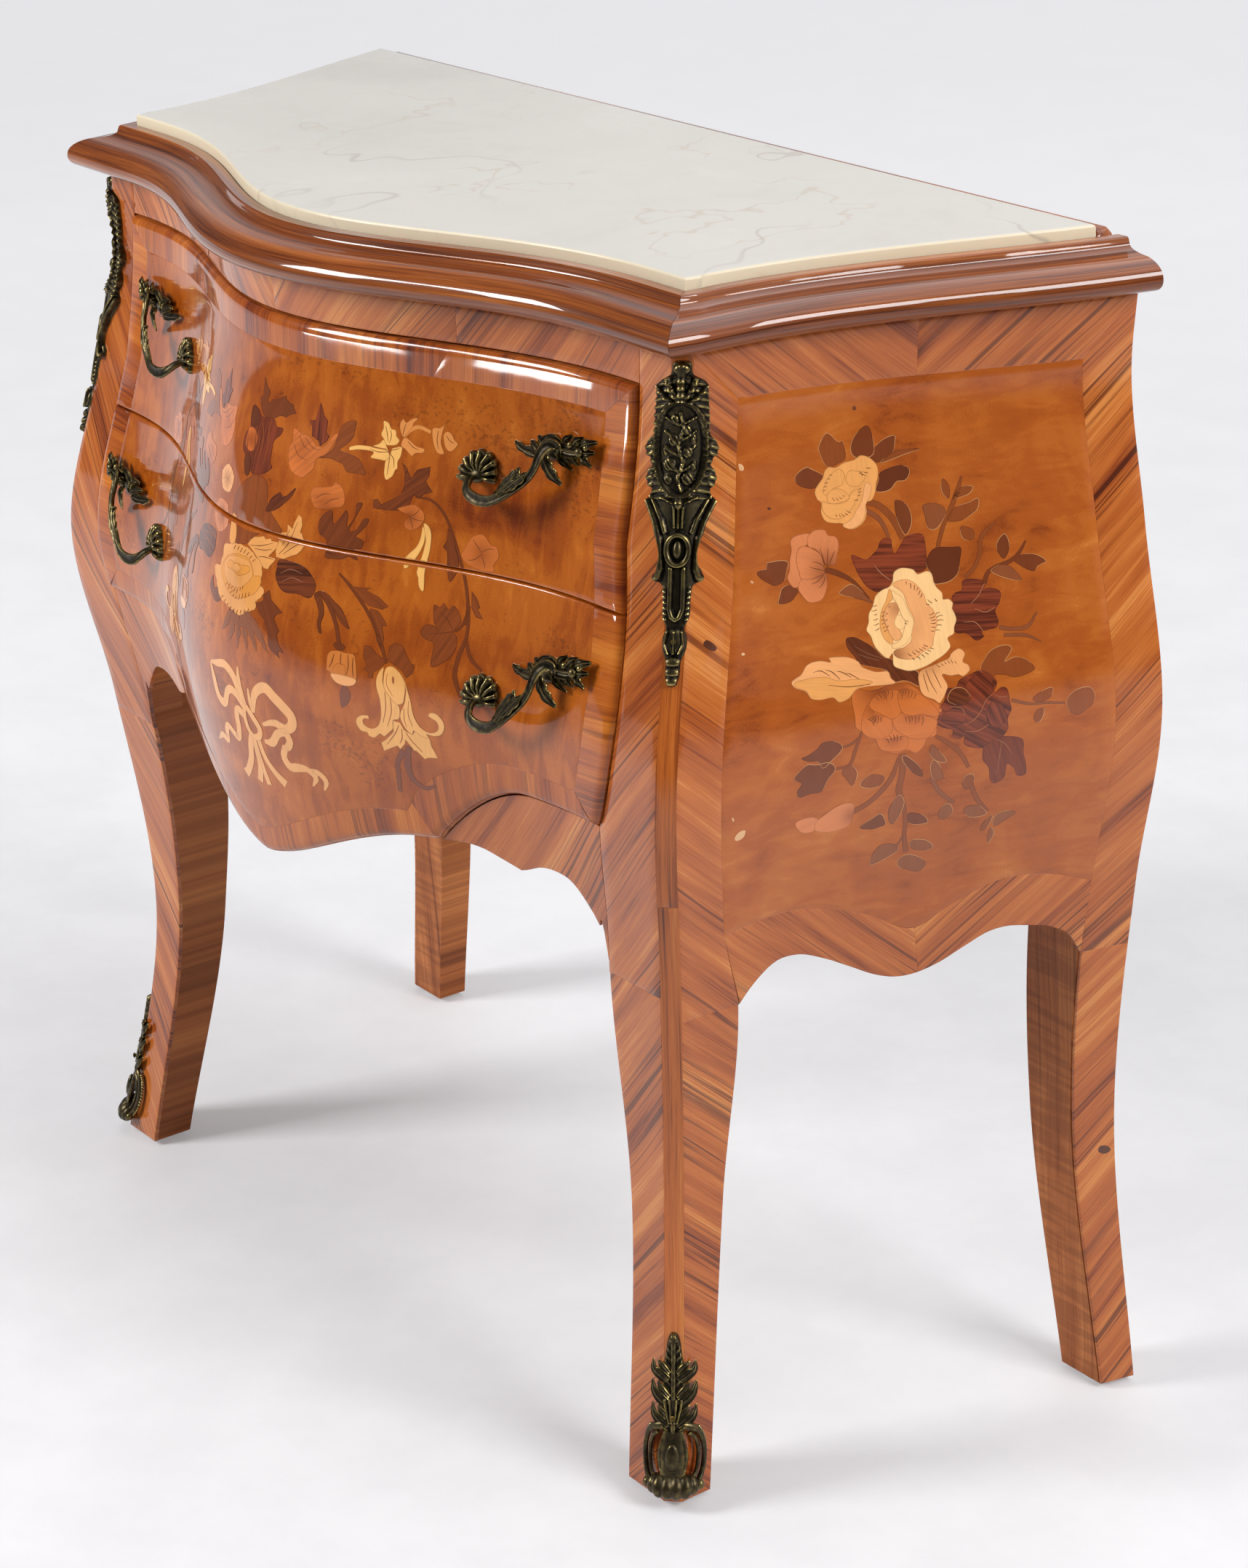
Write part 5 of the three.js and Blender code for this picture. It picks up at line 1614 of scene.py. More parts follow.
def pull_map(x, z, turn):
    """Lays a pull's (u, v, out) over the drawer's front, from a place and at an angle."""
    cos, sin = math.cos(math.radians(turn)), math.sin(math.radians(turn))
    return lambda u, v, out=0.0: on_drawer(x + u * cos - v * sin, z + u * sin + v * cos, out)


def pull(x, z, turn):
    """A rococo pull: shell, strap with a rising acanthus leaf, and a spray with a flower."""
    shells = Shells()
    at = pull_map(x, z, turn)

    def leaves(*parts, lobe_depth=0.2):
        """Each part is its line, widths, thicknesses, steps and lobes."""
        for controls, widths, thicks, count, lobes in parts:
            sweep(shells, at, controls, widths, thicks, LEAF_SECTION, count, lobes, lobe_depth)

    fan(shells, at, (0.5, -1.5), [12, 13.5, 16, 17, 17, 16, 15.5, 14],
        [-15, 15, 45, 75, 105, 135, 165, 200], 9, 3.4)
    bead(shells, at, (0.5, -0.5, 3.4), (5.4, 4.6, 3.0), 9, 14)
    for degrees in range(-5, 205, 24):
        cos, sin = math.cos(math.radians(degrees)), math.sin(math.radians(degrees))
        rib = [(0.5 + far * cos, -1 + far * sin, out) for far, out in ((4, 4.4), (8.5, 5.4), (13.6, 4.0))]
        sweep(shells, at, rib, [1.0, 2.4, 2.8], [1.2, 2.4, 2.0], None, 12)
    strap = [
        (-1.5, -0.5, 3), (-1.2, -3.2, 9), (1.2, -7.8, 13.5), (5.8, -10.6, 16), (11.9, -12.1, 17.6),
        (18.5, -12.2, 19), (25, -10.9, 20), (33, -7, 20), (41.5, -1.5, 20), (49, 4.2, 19.2),
        (54.2, 9.8, 18.2), (56.8, 15.4, 17.6), (58, 21.2, 16.6), (60.2, 26.4, 15.4), (64.0, 29.6, 13.2),
        (67.6, 28.6, 10.6), (67.4, 24.6, 8), (65, 23, 5.5),
    ]
    strap_widths = [5.0, 5.6, 6.4, 7.2, 7.4, 7.2, 6.8, 6.4, 6.4, 6.0, 5.6, 5.8, 6.6, 7.2, 6.6, 5.6, 4.2, 3.0]
    strap_thicks = [3.6, 3.6, 3.2, 3.0, 3.0, 3.0, 3.4, 3.8, 4.0, 3.8, 3.4, 3.2, 3.2, 3.2, 3.2, 3.0, 2.8, 2.4]
    sweep(shells, at, strap, strap_widths, strap_thicks, BAND_SECTION, 110)
    # Acanthus leaf rising from the strap
    leaves(
        ([(30, -6.5, 20), (36, -1, 21), (41, 4.5, 21), (44.5, 9.6, 20.4), (43.8, 12.2, 19)],
         [4.5, 8.5, 9.5, 6.5, 2.2], [2.6, 3.2, 3.2, 2.8, 1.6], 34, 3),
        ([(36, -3.5, 20.5), (42, 1.5, 21.5), (48, 6.5, 20.6), (51, 10.2, 19)],
         [4, 7.4, 6.8, 2.0], [2.4, 3.0, 2.8, 1.6], 28, 3),
        ([(27, -8, 19.6), (32, -3.2, 20.4), (36, 1.2, 20.8), (37.2, 4.6, 20)],
         [3.0, 5.6, 4.8, 1.6], [2.0, 2.6, 2.4, 1.4], 24, 2),
        lobe_depth=0.22,
    )
    # Leaves at the back of the spray
    leaves(
        ([(48, 18.5, 6), (42, 20, 6), (34.5, 21, 5), (28.5, 22.6, 3.8), (24.6, 24, 2.4)],
         [5.5, 7.2, 6.6, 5.2, 1.8], [3.4, 3.6, 3.2, 2.6, 1.4], 34, 3),
        ([(50, 21, 6.6), (45.5, 24, 6.8), (40.5, 26, 5.2), (38, 26.4, 3.6)],
         [5, 6, 4.6, 1.8], [3.2, 3.2, 2.6, 1.4], 22, 2),
        ([(52, 24, 7.4), (50.5, 28, 7.4), (46.6, 30, 6), (43.6, 29.4, 4)],
         [5, 6, 4.6, 1.8], [3.2, 3.2, 2.6, 1.4], 22, 2),
        ([(50, 27, 7), (56, 31, 8), (62, 31.6, 7.6), (67, 29, 6)],
         [5.4, 6.4, 6.0, 4], [4.0, 4.2, 4.0, 3.0], 26, 0),
        lobe_depth=0.25,
    )
    bead(shells, at, (56, 24, 3), (9, 6.5, 5.4), 9, 16)
    # Leaf hanging from the spray
    leaves(([(57, 22, 11), (58.4, 17.5, 11), (60.2, 13, 9.4), (62.6, 9, 7), (66.6, 5, 4)],
            [4.5, 9, 10, 8, 2.4], [2.4, 2.8, 2.8, 2.4, 1.4], 36, 3))
    # Bud and flower at the end
    leaves(
        ([(62.5, 23, 5), (66, 20.4, 6), (70.4, 17.6, 4.6), (74, 15.2, 3)],
         [3.6, 5.6, 4.6, 1.4], [3.0, 3.6, 3.0, 1.4], 24, 2),
        ([(64, 27, 6), (70, 27.4, 7.6), (77, 27.6, 7.4), (84, 28.2, 6.4)],
         [6, 9, 10, 8], [5, 6.4, 6.4, 4.6], 26, 0),
        lobe_depth=0.25,
    )
    for controls, widths in (
        ([(70, 28, 6), (71, 33, 7.6), (74.4, 36.2, 5.4)], [5, 6.2, 2]),
        ([(77, 29, 6), (80.6, 34, 8), (84, 36.4, 5)], [5, 6.4, 2]),
        ([(83, 29, 6), (88.6, 33.6, 7.6), (95.2, 36, 4)], [5.4, 7.4, 2.2]),
        ([(84, 28, 6), (89.6, 28.6, 7), (94, 29.4, 4)], [5, 6.4, 2]),
        ([(83, 26.6, 6), (88, 24, 7), (91.4, 20.6, 4)], [5, 7.0, 2.4]),
        ([(77, 26, 6), (80.2, 22.4, 7.6), (82, 19.6, 4.4)], [5, 6.2, 2]),
        ([(71, 26, 6), (73.2, 22, 7.2), (75.2, 19.4, 4.2)], [5, 5.8, 2]),
    ):
        leaves((controls, widths, [3.0, 3.4, 1.6], 20, 2))
    for place, size in (
        ((84.5, 28.2, 8.8), (3.2, 3.0, 2.6)), ((76, 31, 8.6), (2.4, 2.4, 2.2)),
        ((89, 31.4, 7.4), (2.0, 2.0, 1.8)),
    ):
        bead(shells, at, place, size, 8, 12)
    return shells


def values_of(collection, name, width, kind=float):
    """One property of all of a mesh's vertices or edges, as an array."""
    values = np.zeros(len(collection) * width, kind)
    collection.foreach_get(name, values)
    return values.reshape(-1, width)


def ridges(piece):
    """Marks how far each place stands out of its neighbours, for the bronze's colour and polish: pale raised
    metal, partly rubbed and partly painted highlight, and dark hollows, partly patina and partly painted
    shade.
    """
    mesh = piece.data
    places = values_of(mesh.vertices, "co", 3)
    normals = values_of(mesh.vertex_normals, "vector", 3)
    first, second = values_of(mesh.edges, "vertices", 2, int).T

    def total(at_first, at_second):
        """The sum at each vertex of what its edges bring to their ends."""
        sums = np.zeros((len(places),) + at_first.shape[1:])
        np.add.at(sums, first, at_first)
        np.add.at(sums, second, at_second)
        return sums

    ones = np.ones(len(first))
    degree = np.maximum(total(ones, ones), 1)

    def averaged(values):
        return (total(values[second], values[first]).T / degree).T

    length = np.linalg.norm(places[first] - places[second], axis=1)
    scale = np.maximum(total(length, length) / degree, 1e-5)
    offset = averaged(places) - places
    bend = np.clip(-(offset * normals).sum(1) / scale ** 2 * MILLIMETRE, -1.5, 1.5)
    for _ in range(2):
        bend = 0.4 * bend + 0.6 * averaged(bend)
    share = np.clip(0.35 + 0.9 * bend, 0, 1)
    attribute = mesh.attributes.new("ridge", "FLOAT", "POINT")
    attribute.data.foreach_set("value", share.astype(np.float32))


def bronze():
    """Dark in the hollows, partly patina and partly painted shade; pale where it stands out, partly rubbed
    metal and partly painted highlight, and polished there.
    """
    graph = Graph("antique_bronze")
    place = graph.place()
    patches = graph.noise(place, 260.0, 3.0, 0.6)
    grit = graph.noise(place, 1400.0, 2.0, 0.6)
    uneven = graph.product(graph.math("SUBTRACT", patches, 0.5), 0.5)
    share = graph.math("ADD", graph.attribute("ridge", "Fac"), uneven)
    # Painted light on the metal: the colour runs from dark in the hollows (patina and painted shade) to pale
    # on raised parts (rubbed metal and painted highlight)
    colour = graph.ramp(share, shades(
        (0.24, 34, 30, 26), (0.44, 76, 67, 47), (0.64, 140, 124, 74), (0.86, 208, 192, 138),
    ), "LINEAR")
    return graph.surface(
        Base_Color=colour, Metallic=0.95, Roughness=graph.level(share, 0.2, 0.8, 0.46, 0.2),
        Normal=graph.bump(grit, 0.00006, 0.5),
    )


antique_bronze = bronze()


def make_bronze(name, shells, body, node):
    """A casting and its mirror image, polished where they stand out, with painted highlights there and
    painted shade in the hollows.
    """
    for piece in make_pair(name, shells, antique_bronze, body, [node], BRONZE_SMOOTH_ANGLE):
        ridges(piece)


make_bronze("corner_ornament", corner_mount(), "case", "corner_mount")
make_bronze("foot_sabot", sabot(), "case", "sabot")
for drawer, turn in (("upper", 0.0), ("lower", 4.0)):
    root_low, root_high = node_box(f"{drawer}_screw_inner_right")
    root = (root_low + root_high) / 2
    make_bronze(f"{drawer}_bronze_pull", pull(root[0], root[2], turn), f"{drawer}_drawer", f"{drawer}_pull")


# Marquetry: pieces of veneer let into the fields, each with a scorched rim and engraved lines

CREAM = (252, 202, 138)
WORN = (222, 172, 124)
GLUE_LINE = (196, 138, 86)
HONEY = (234, 162, 90)
PEACH = (242, 170, 108)
AMBER = (208, 122, 54)
GOLD = (230, 152, 68)
TAN = (206, 112, 50)
ROSY = (214, 128, 78)
BROWN = (140, 70, 28)
FADED = (140, 76, 40)
LEAF = (118, 57, 24)
DARK = (102, 47, 20)
ROSEWOOD = (116, 50, 26)
ENGRAVED = (120, 66, 34)
EDGED_TONES = (LEAF, BROWN, DARK, FADED)
SCORCH_POWERS = np.array([1.0, 1.25, 1.4])


def resampled(points, step, rounded):
    """A closed outline through the given places, evenly divided."""
    points = np.array(points, float)
    count = len(points)
    line = []
    for i in range(count):
        before, first, last, after = (points[(i + k) % count] for k in (-1, 0, 1, 2))
        pieces = max(1, int(round(np.linalg.norm(last - first) / step)))
        for t in np.arange(pieces) / pieces:
            if rounded:
                square = (2 * before - 5 * first + 4 * last - after) * t ** 2
                cube = (3 * first - before - 3 * last + after) * t ** 3
                line.append(0.5 * (2 * first + (last - before) * t + square + cube))
            else:
                line.append(first + (last - first) * t)
    return np.array(line)


def cut_level(line, level, above):
    """The part of a closed outline above or below a level."""
    sign = 1 if above else -1
    kept = []
    for here, after in zip(line, np.roll(line, -1, axis=0)):
        inside, next_inside = sign * (here[1] - level) >= 0, sign * (after[1] - level) >= 0
        if inside:
            kept.append(here)
        if inside != next_inside:
            t = (level - here[1]) / (after[1] - here[1])
            kept.append(here + (after - here) * t)
    return np.array(kept)


def area_of(line):
    """The area of a closed outline, above zero when it runs to the left."""
    after = np.roll(line, -1, axis=0)
    return 0.5 * float((line[:, 0] * after[:, 1] - after[:, 0] * line[:, 1]).sum())


def ways_of(line):
    """At each point of a line, its own direction and the one square to it."""
    tangent = unit(np.gradient(line, axis=0))
    return tangent, np.column_stack([-tangent[:, 1], tangent[:, 0]])


def within(line, places):
    """Which places lie inside a closed outline."""
    after = np.roll(line, -1, axis=0)
    inside = np.zeros(len(places), bool)
    for (a0, b0), (a1, b1) in zip(line, after):
        crosses = (b0 > places[:, 1]) != (b1 > places[:, 1])
        if crosses.any():
            at_a = a0 + (places[:, 1] - b0) * (a1 - a0) / (b1 - b0 if b1 != b0 else 1)
            inside ^= crosses & (places[:, 0] < at_a)
    return inside


def apart_from(line, places):
    """How far each place is from the nearest point of a line."""
    return np.sqrt(((places[:, None, :] - line[None, :, :]) ** 2).sum(-1)).min(axis=1)


class Inlay:
    """The marquetry of one surface, cut off at two heights: levels tell which piece lies over which."""

    def __init__(self, at, low=-1e6, high=1e6):
        self.at = at
        self.low = low
        self.high = high
        self.shells = Shells()

    def piece(self, tone, level, points, figure=0.0, way=90, scorch=(), rounded=True, rim=0.55, step=1.5,
              edged=False):
        """One inlaid piece of veneer.

        figure is how strongly it is striped, scorch lists the (place, radius, strength) of its shaded
        parts, rim is the tone of its edge, and an edged piece shows a thin line of glue."""
        line = resampled(points, step, rounded)
        for limit, above in ((self.low, True), (self.high, False)):
            if len(line):
                line = cut_level(line, limit, above)
        if len(line) < 4 or abs(area_of(line)) < 0.3:
            return
        if area_of(line) < 0:
            line = line[::-1]
        gap = np.linalg.norm(line - np.roll(line, 1, axis=0), axis=1)
        line = line[gap > 0.05]
        flat = np.concatenate([line, *self.places_inside(line, 3.0 if scorch else 5.0)])
        outline = [list(range(len(line)))]
        places, _, faces, origin, _, _ = geometry.delaunay_2d_cdt(
            [Vector(place) for place in flat.tolist()], [], outline, 1, 1e-5)
        if not faces:
            return
        places = np.array([tuple(place) for place in places])
        rimmed = np.array([bool(ids) and min(ids) < len(line) for ids in origin])
        shade = np.where(rimmed, rim, 1.0)
        for place, radius, strength in scorch:
            far = ((places - np.array(place)) ** 2).sum(1) / radius ** 2
            shade = shade * (1 - strength * np.exp(-far))
        tint = shade[:, None] ** SCORCH_POWERS * np.array(srgb(*tone)[:3])
        tint = np.column_stack([tint, np.full(len(tint), figure)])
        self.raise_piece(places, faces, INLAY_LIFT + INLAY_LEVEL * level, way, tint)
        if edged and len(line) > 12:
            start = int(chance.uniform(0, len(line)))
            part = np.roll(line, -start, axis=0)[:int(len(line) * chance.uniform(0.45, 0.8)):2]
            self.band(GLUE_LINE, level + 1, part, [0.15, 0.4, 0.4, 0.15], rim=1.0)

    def places_inside(self, line, spacing):
        """Places just inside an outline, and others spread over the middle of it."""
        tangent = unit(np.roll(line, -1, axis=0) - np.roll(line, 1, axis=0))
        inner = line + np.column_stack([-tangent[:, 1], tangent[:, 0]]) * 0.5
        inner = inner[within(line, inner) & (apart_from(line, inner) > 0.3)]
        low, high = line.min(axis=0), line.max(axis=0)
        a, b = np.meshgrid(*(np.arange(low[i] + 1, high[i], spacing) for i in (0, 1)))
        middle = np.column_stack([a.ravel(), b.ravel()])
        if len(middle):
            middle = middle[within(line, middle) & (apart_from(line, middle) > 1.4)]
        return inner, middle

    def raise_piece(self, places, faces, lift, way, tint):
        """A closed solid over the triangles of a piece, let into the surface below it."""
        count = len(places)
        heights = (np.full(count, lift), np.full(count, -INLAY_DEPTH))
        solid = np.concatenate([self.at(places[:, 0], places[:, 1], height) for height in heights])
        edges = {}
        for face in faces:
            for first, second in zip(face, list(face[1:]) + [face[0]]):
                edges.setdefault((min(first, second), max(first, second)), []).append((first, second))
        walls = [[first, second, second + count, first + count]
                 for uses in edges.values() if len(uses) == 1 for first, second in uses]
        top = [list(face) for face in faces]
        low = [[i + count for i in face[::-1]] for face in top]
        grain = grain_of(np.concatenate([places, places]), way, some_seed())
        self.shells.add(solid, top + low + walls, grain, np.concatenate([tint, tint]))

    def band(self, tone, level, points, widths, figure=0.0, rim=0.7):
        """A stem, ribbon or engraved line: a strip along a curve."""
        length = sum(math.dist(first, last) for first, last in zip(points[:-1], points[1:]))
        count = max(4, int(length / 2.2) + 1)
        line = curve(points, count)
        wide = np.interp(np.linspace(0, 1, count), np.linspace(0, 1, len(widths)), widths) / 2
        across = ways_of(line)[1] * wide[:, None]
        outline = np.concatenate([line + across, (line - across)[::-1]])
        self.piece(tone, level, outline, figure, rounded=False, rim=rim, step=3.0)

    def lines(self, level, curves, tone=ENGRAVED, width=0.5):
        """Engraved lines."""
        for points in curves:
            self.band(tone, level, points, [width * 0.6, width, width * 0.4], rim=1.0)

    def ticks(self, level, points, count, length, tone=ENGRAVED, lean=0.5):
        """Short engraved strokes that stand off a line, as in the folds of petals."""
        line = curve(points, count + 2)
        width = 0.42
        for place, way, side in list(zip(line, *ways_of(line)))[1:-1]:
            size = length * chance.uniform(0.6, 1.15)
            end = place + side * size + way * size * lean
            middle = (place + end) / 2 + way * size * 0.15
            self.band(tone, level, [place, middle, end], [width, width * 0.8, width * 0.4], rim=1.0)

    def leaf(self, tone, level, base, tip, width, bend, lobes, figure=0.0, vein=None):
        """A leaf along a bent spine, with lobed edges and perhaps a vein."""
        base, tip = np.array(base, float), np.array(tip, float)
        along = tip - base
        length = float(np.linalg.norm(along))
        across = np.array([-along[1], along[0]]) / length
        t = np.linspace(0, 1, max(8, int(length / 1.6)))
        spine = base + along * t[:, None] + across * (bend * length * 4 * t * (1 - t))[:, None]
        half = width / 2 * np.sin(math.pi * t ** 0.85) ** 0.8
        if lobes:
            half = half * (1 - 0.4 * (1 - np.abs(np.sin(math.pi * lobes * t)) ** 0.6))
        half = across * half[:, None]
        outline = np.concatenate([spine + half, (spine - half)[::-1][1:-1]])
        way = math.degrees(math.atan2(along[1], along[0]))
        self.piece(tone, level, outline, figure, way, rounded=False, rim=0.75, step=2.0)
        if vein:
            inner = spine[int(len(t) * 0.1):int(len(t) * 0.85)]
            if len(inner) > 3:
                self.band(vein, level + 1, inner[::3], [0.5, 0.3], rim=1.0)

    def blossom(self, tone, level, centre, radius, petals, turn, flat):
        """A flower seen from the front: overlapping rounded petals, scorched in the middle."""

        def place(size, angle):
            return centre[0] + size * math.cos(angle), centre[1] + flat * size * math.sin(angle)

        for i in range(petals):
            way = math.radians(turn + 360 * i / petals)
            half = math.radians(180 / petals) * 1.15
            outline = [centre]
            for share in np.linspace(-1, 1, 7):
                size = radius * (1 - 0.16 * share ** 2 + 0.03 * math.cos(9 * share))
                outline.append(place(size, way + half * share))
            scorch = [(place(radius * 0.2, way), radius * 0.42, 0.35)]
            self.piece(tone, level + i % 2, outline, 0.0, math.degrees(way), scorch)


def inlay_wood():
    """One material for all inlaid veneers: their colour comes from each piece, and so does its figure."""
    graph = Graph("inlay_veneer")
    attribute = graph.node("ShaderNodeAttribute", attribute_name="tint")
    fine = graph.noise(graph.stretched(0.05, 1.1, 2.1), 1.0, 2.0, 0.6)
    soft = graph.noise(graph.stretched(0.05, 0.12, 3.3), 1.0, 1.0)
    stripes = graph.noise(graph.stretched(0.02, 0.42, 1.9), 1.0, 2.0, 0.6)
    soft = graph.level(soft, 0.3, 0.7, -0.03, 0.04)
    even = graph.math("ADD", graph.level(fine, 0.3, 0.7, 0.93, 1.03), soft)
    striped = graph.level(stripes, 0.36, 0.62, 0.5, 1.5)
    share = graph.node("ShaderNodeMix", {0: attribute.outputs["Alpha"], 2: even, 3: striped}).outputs[0]
    return varnished(graph, graph.shaded(attribute.outputs["Color"], share), fine)


inlay_veneer = inlay_wood()


def side_marquetry():
    """The bouquet on a side, and the knots and chips of its veneer."""
    work = Inlay(on_side)
    band, lines, ticks = work.band, work.lines, work.ticks

    def piece(tone, level, points, *rest, **settings):
        work.piece(tone, level, points, *rest, edged=tone in EDGED_TONES, **settings)

    # Knots in the banding, and chips where the veneer is worn through
    knot = (84, 42, 22)
    for reach, z, tone, turn, long, wide in (
        (281, 570, knot, 40, 5.5, 2.2), (8, 166, knot, 25, 4.5, 2.6), (270, 450, WORN, -20, 4.2, 2.6),
        (243, 667, WORN, 60, 2.6, 1.6), (259, 560, WORN, 10, 1.4, 0.9), (276, 462, WORN, 80, 1.6, 0.8),
        (246, 600, WORN, 40, 1.2, 0.7), (168, 690, (110, 56, 28), 90, 1.5, 1.2),
        (228, 640, (100, 50, 26), 0, 1.3, 1.0),
    ):
        angle = math.radians(turn)
        way = np.array([math.cos(angle), math.sin(angle)])
        side = np.array([-way[1], way[0]])
        shares = [chance.uniform(0.75, 1.2) for _ in range(7)]
        outline = []
        for k, share in enumerate(shares):
            t = 2 * math.pi * k / 7
            spoke = way * long * math.cos(t) + side * wide * math.sin(t)
            outline.append(np.array([reach, z]) + share * spoke)
        piece(tone, 0, outline, 0.2, turn, rim=1.1)
    # Sprigs at the back edge and round the flowers
    band(BROWN, 0, [
        (109, 642), (113, 633), (118, 624), (123, 616), (127, 607), (129, 601),
    ], [1.5, 3, 3, 2.6, 2.6, 2.6])
    piece(BROWN, 0, [(116, 629), (111, 630), (106, 631), (103, 635), (108, 636), (113, 634)])
    piece(BROWN, 0, [(118, 630), (121, 632), (122, 637), (120, 642), (117, 637)])
    piece(BROWN, 0, [(101, 628), (107, 626), (116, 624), (121, 617), (113, 616), (106, 619), (102, 622)])
    piece(FADED, 0, [(121, 623), (126, 628), (134, 628), (134, 622), (133, 614), (129, 613), (125, 616)])
    band(BROWN, 0, [
        (93, 612), (99, 608), (103, 603), (104, 596), (108, 588), (115, 582),
    ], [1.4, 3, 3, 2.6, 2.6, 3])
    piece(BROWN, 0, [(106, 609), (110, 612), (114, 612), (113, 605), (107, 604)])
    band(LEAF, 0, [
        (76, 599), (81, 592), (87, 588), (95, 586), (101, 583), (104, 577),
    ], [1.2, 2.4, 2.6, 2.4, 2.6, 3])
    piece(LEAF, 0, [(88, 605), (92, 602), (94, 597), (91, 590), (88, 592), (86, 598)])
    piece(LEAF, 0, [(65, 585), (71, 590), (79, 591), (85, 589), (79, 583), (73, 580), (71, 583)])
    piece(FADED, 0, [(81, 576), (86, 584), (92, 587), (99, 584), (94, 580), (87, 577)])
    band(FADED, 0, [(75, 556), (82, 548), (92, 548), (99, 550)], [1.2, 2.6, 2.6, 3])
    band(FADED, 0, [(75, 538), (84, 543), (97, 545)], [0.8, 2.2, 2.4])
    piece(BROWN, 0, [
        (94, 538), (99, 539), (106, 537), (111, 532), (114, 526), (109, 521), (105, 522), (99, 521),
        (95, 519), (89, 519), (81, 522), (85, 528), (92, 531), (99, 529), (94, 535),
    ])
    piece(BROWN, 0, [
        (45, 500), (47, 505), (52, 506), (59, 504), (63, 499), (61, 492), (56, 489), (50, 492), (46, 495),
    ])
    band(FADED, 0, [(64, 498), (75, 500), (86, 501), (97, 505)], [1.2, 1.8, 1.8, 2.4])
    piece(BROWN, 0, [(71, 509), (77, 508), (84, 504), (80, 501), (73, 503)])
    piece(BROWN, 0, [(77, 497), (82, 496), (84, 491), (81, 488), (78, 492)])
    # Leaves and stems of the upper rose
    piece(LEAF, 0, [
        (159, 662), (159, 675), (162, 679), (168, 675), (172, 669), (172, 663), (167, 660),
    ], way=80)
    piece(BROWN, 0, [
        (176, 662), (177, 672), (179, 671), (186, 678), (191, 672), (192, 668), (188, 658), (181, 659),
    ])
    piece(LEAF, 0, [
        (145, 671), (151, 670), (156, 667), (162, 661), (160, 657), (154, 657), (147, 662), (146, 666),
    ])
    piece(BROWN, 0, [(131, 661), (139, 662), (148, 661), (156, 656), (149, 657), (141, 659)])
    piece(DARK, 0, [
        (139, 650), (144, 653), (152, 652), (157, 650), (158, 646), (161, 640), (155, 639), (150, 641),
        (148, 644), (142, 644),
    ])
    piece(LEAF, 0, [
        (191, 653), (199, 659), (199, 660), (204, 659), (209, 655), (207, 650), (200, 647), (196, 648),
    ])
    band(BROWN, 0, [(168, 635), (160, 631), (153, 622), (149, 610)], [4, 4, 4.4, 3.4])
    band(FADED, 0, [(169, 630), (161, 623), (157, 612)], [3.2, 3, 2])
    piece(LEAF, 1, [(150, 633), (151, 626), (150, 619), (147, 612), (143, 617), (142, 623), (144, 630)])
    # Rosewood leaves behind the large rose
    piece(ROSEWOOD, 0, [
        (136, 607), (137, 611), (141, 612), (147, 611), (149, 609), (152, 605), (155, 602), (156, 606),
        (156, 611), (160, 612), (163, 610), (165, 606), (169, 603), (173, 601), (181, 605), (180, 598),
        (178, 592), (175, 586), (169, 581), (163, 582), (158, 587), (154, 592), (148, 591), (142, 589),
        (137, 591), (136, 598),
    ], 1.0, 8)
    piece(DARK, 1, [
        (115, 600), (120, 601), (130, 602), (135, 598), (137, 592), (134, 586), (134, 581), (125, 581),
        (119, 585), (117, 591),
    ])
    lines(1, [[(160, 587), (165, 592), (168, 597)]], (170, 120, 84))
    piece(ROSEWOOD, 0, [
        (95, 570), (98, 573), (104, 574), (109, 570), (104, 575), (105, 579), (113, 581), (117, 580),
        (118, 575), (122, 574), (125, 571), (124, 568), (126, 564), (124, 559), (126, 553), (125, 550),
        (119, 549), (114, 544), (109, 546), (110, 549), (101, 550), (99, 554), (100, 560), (97, 564),
    ], 1.0, 6)
    lines(1, [
        [(104, 577), (108, 571), (114, 566)], [(100, 562), (106, 560), (112, 563)],
        [(109, 549), (113, 555), (120, 556)],
    ], (176, 112, 76))
    # Pink flower
    band(LEAF, 0, [(174, 578), (182, 589), (190, 595), (198, 599)], [1, 2.4, 3.4, 3.6])
    piece(FADED, 0, [(172, 575), (179, 584), (184, 588), (192, 584), (186, 581), (179, 578)])
    piece(LEAF, 0, [
        (221, 607), (225, 609), (235, 609), (235, 606), (242, 605), (240, 601), (235, 597), (231, 595),
        (225, 597), (223, 602),
    ])
    piece(LEAF, 0, [(217, 590), (223, 594), (228, 592), (229, 589), (231, 584), (223, 584), (219, 587)])
    piece(ROSY, 1, [
        (205, 621), (209, 622), (216, 621), (218, 618), (218, 614), (220, 608), (221, 602), (223, 598),
        (220, 592), (216, 592), (212, 595), (215, 606), (213, 614), (208, 615),
    ], way=70)
    piece(ROSY, 2, [
        (192, 601), (190, 606), (188, 612), (189, 617), (194, 619), (195, 622), (200, 623), (204, 622),
        (207, 619), (207, 614), (203, 612), (200, 608), (198, 602),
    ], way=110, scorch=[((197, 602), 8, 0.5)])
    piece(ROSY, 2, [
        (198, 597), (201, 596), (207, 595), (214, 596), (217, 591), (215, 586), (212, 582), (208, 581),
        (203, 582), (200, 586), (198, 591),
    ], way=60, scorch=[((199, 597), 8, 0.45)])
    piece(ROSY, 3, [
        (199, 597), (199, 602), (200, 608), (204, 612), (210, 615), (214, 613), (216, 606), (215, 600),
        (214, 596), (207, 595), (202, 596),
    ], way=20, scorch=[((199, 598), 9, 0.45)])
    lines(4, [
        [(198, 598), (203, 600), (208, 602)], [(198, 599), (201, 603), (206, 605)],
        [(197, 600), (196, 606), (195, 611)], [(198, 601), (199, 607), (200, 612)],
        [(199, 595), (201, 591), (204, 589)], [(200, 596), (204, 593), (208, 592)],
        [(196, 601), (193, 606), (191, 609)],
    ])
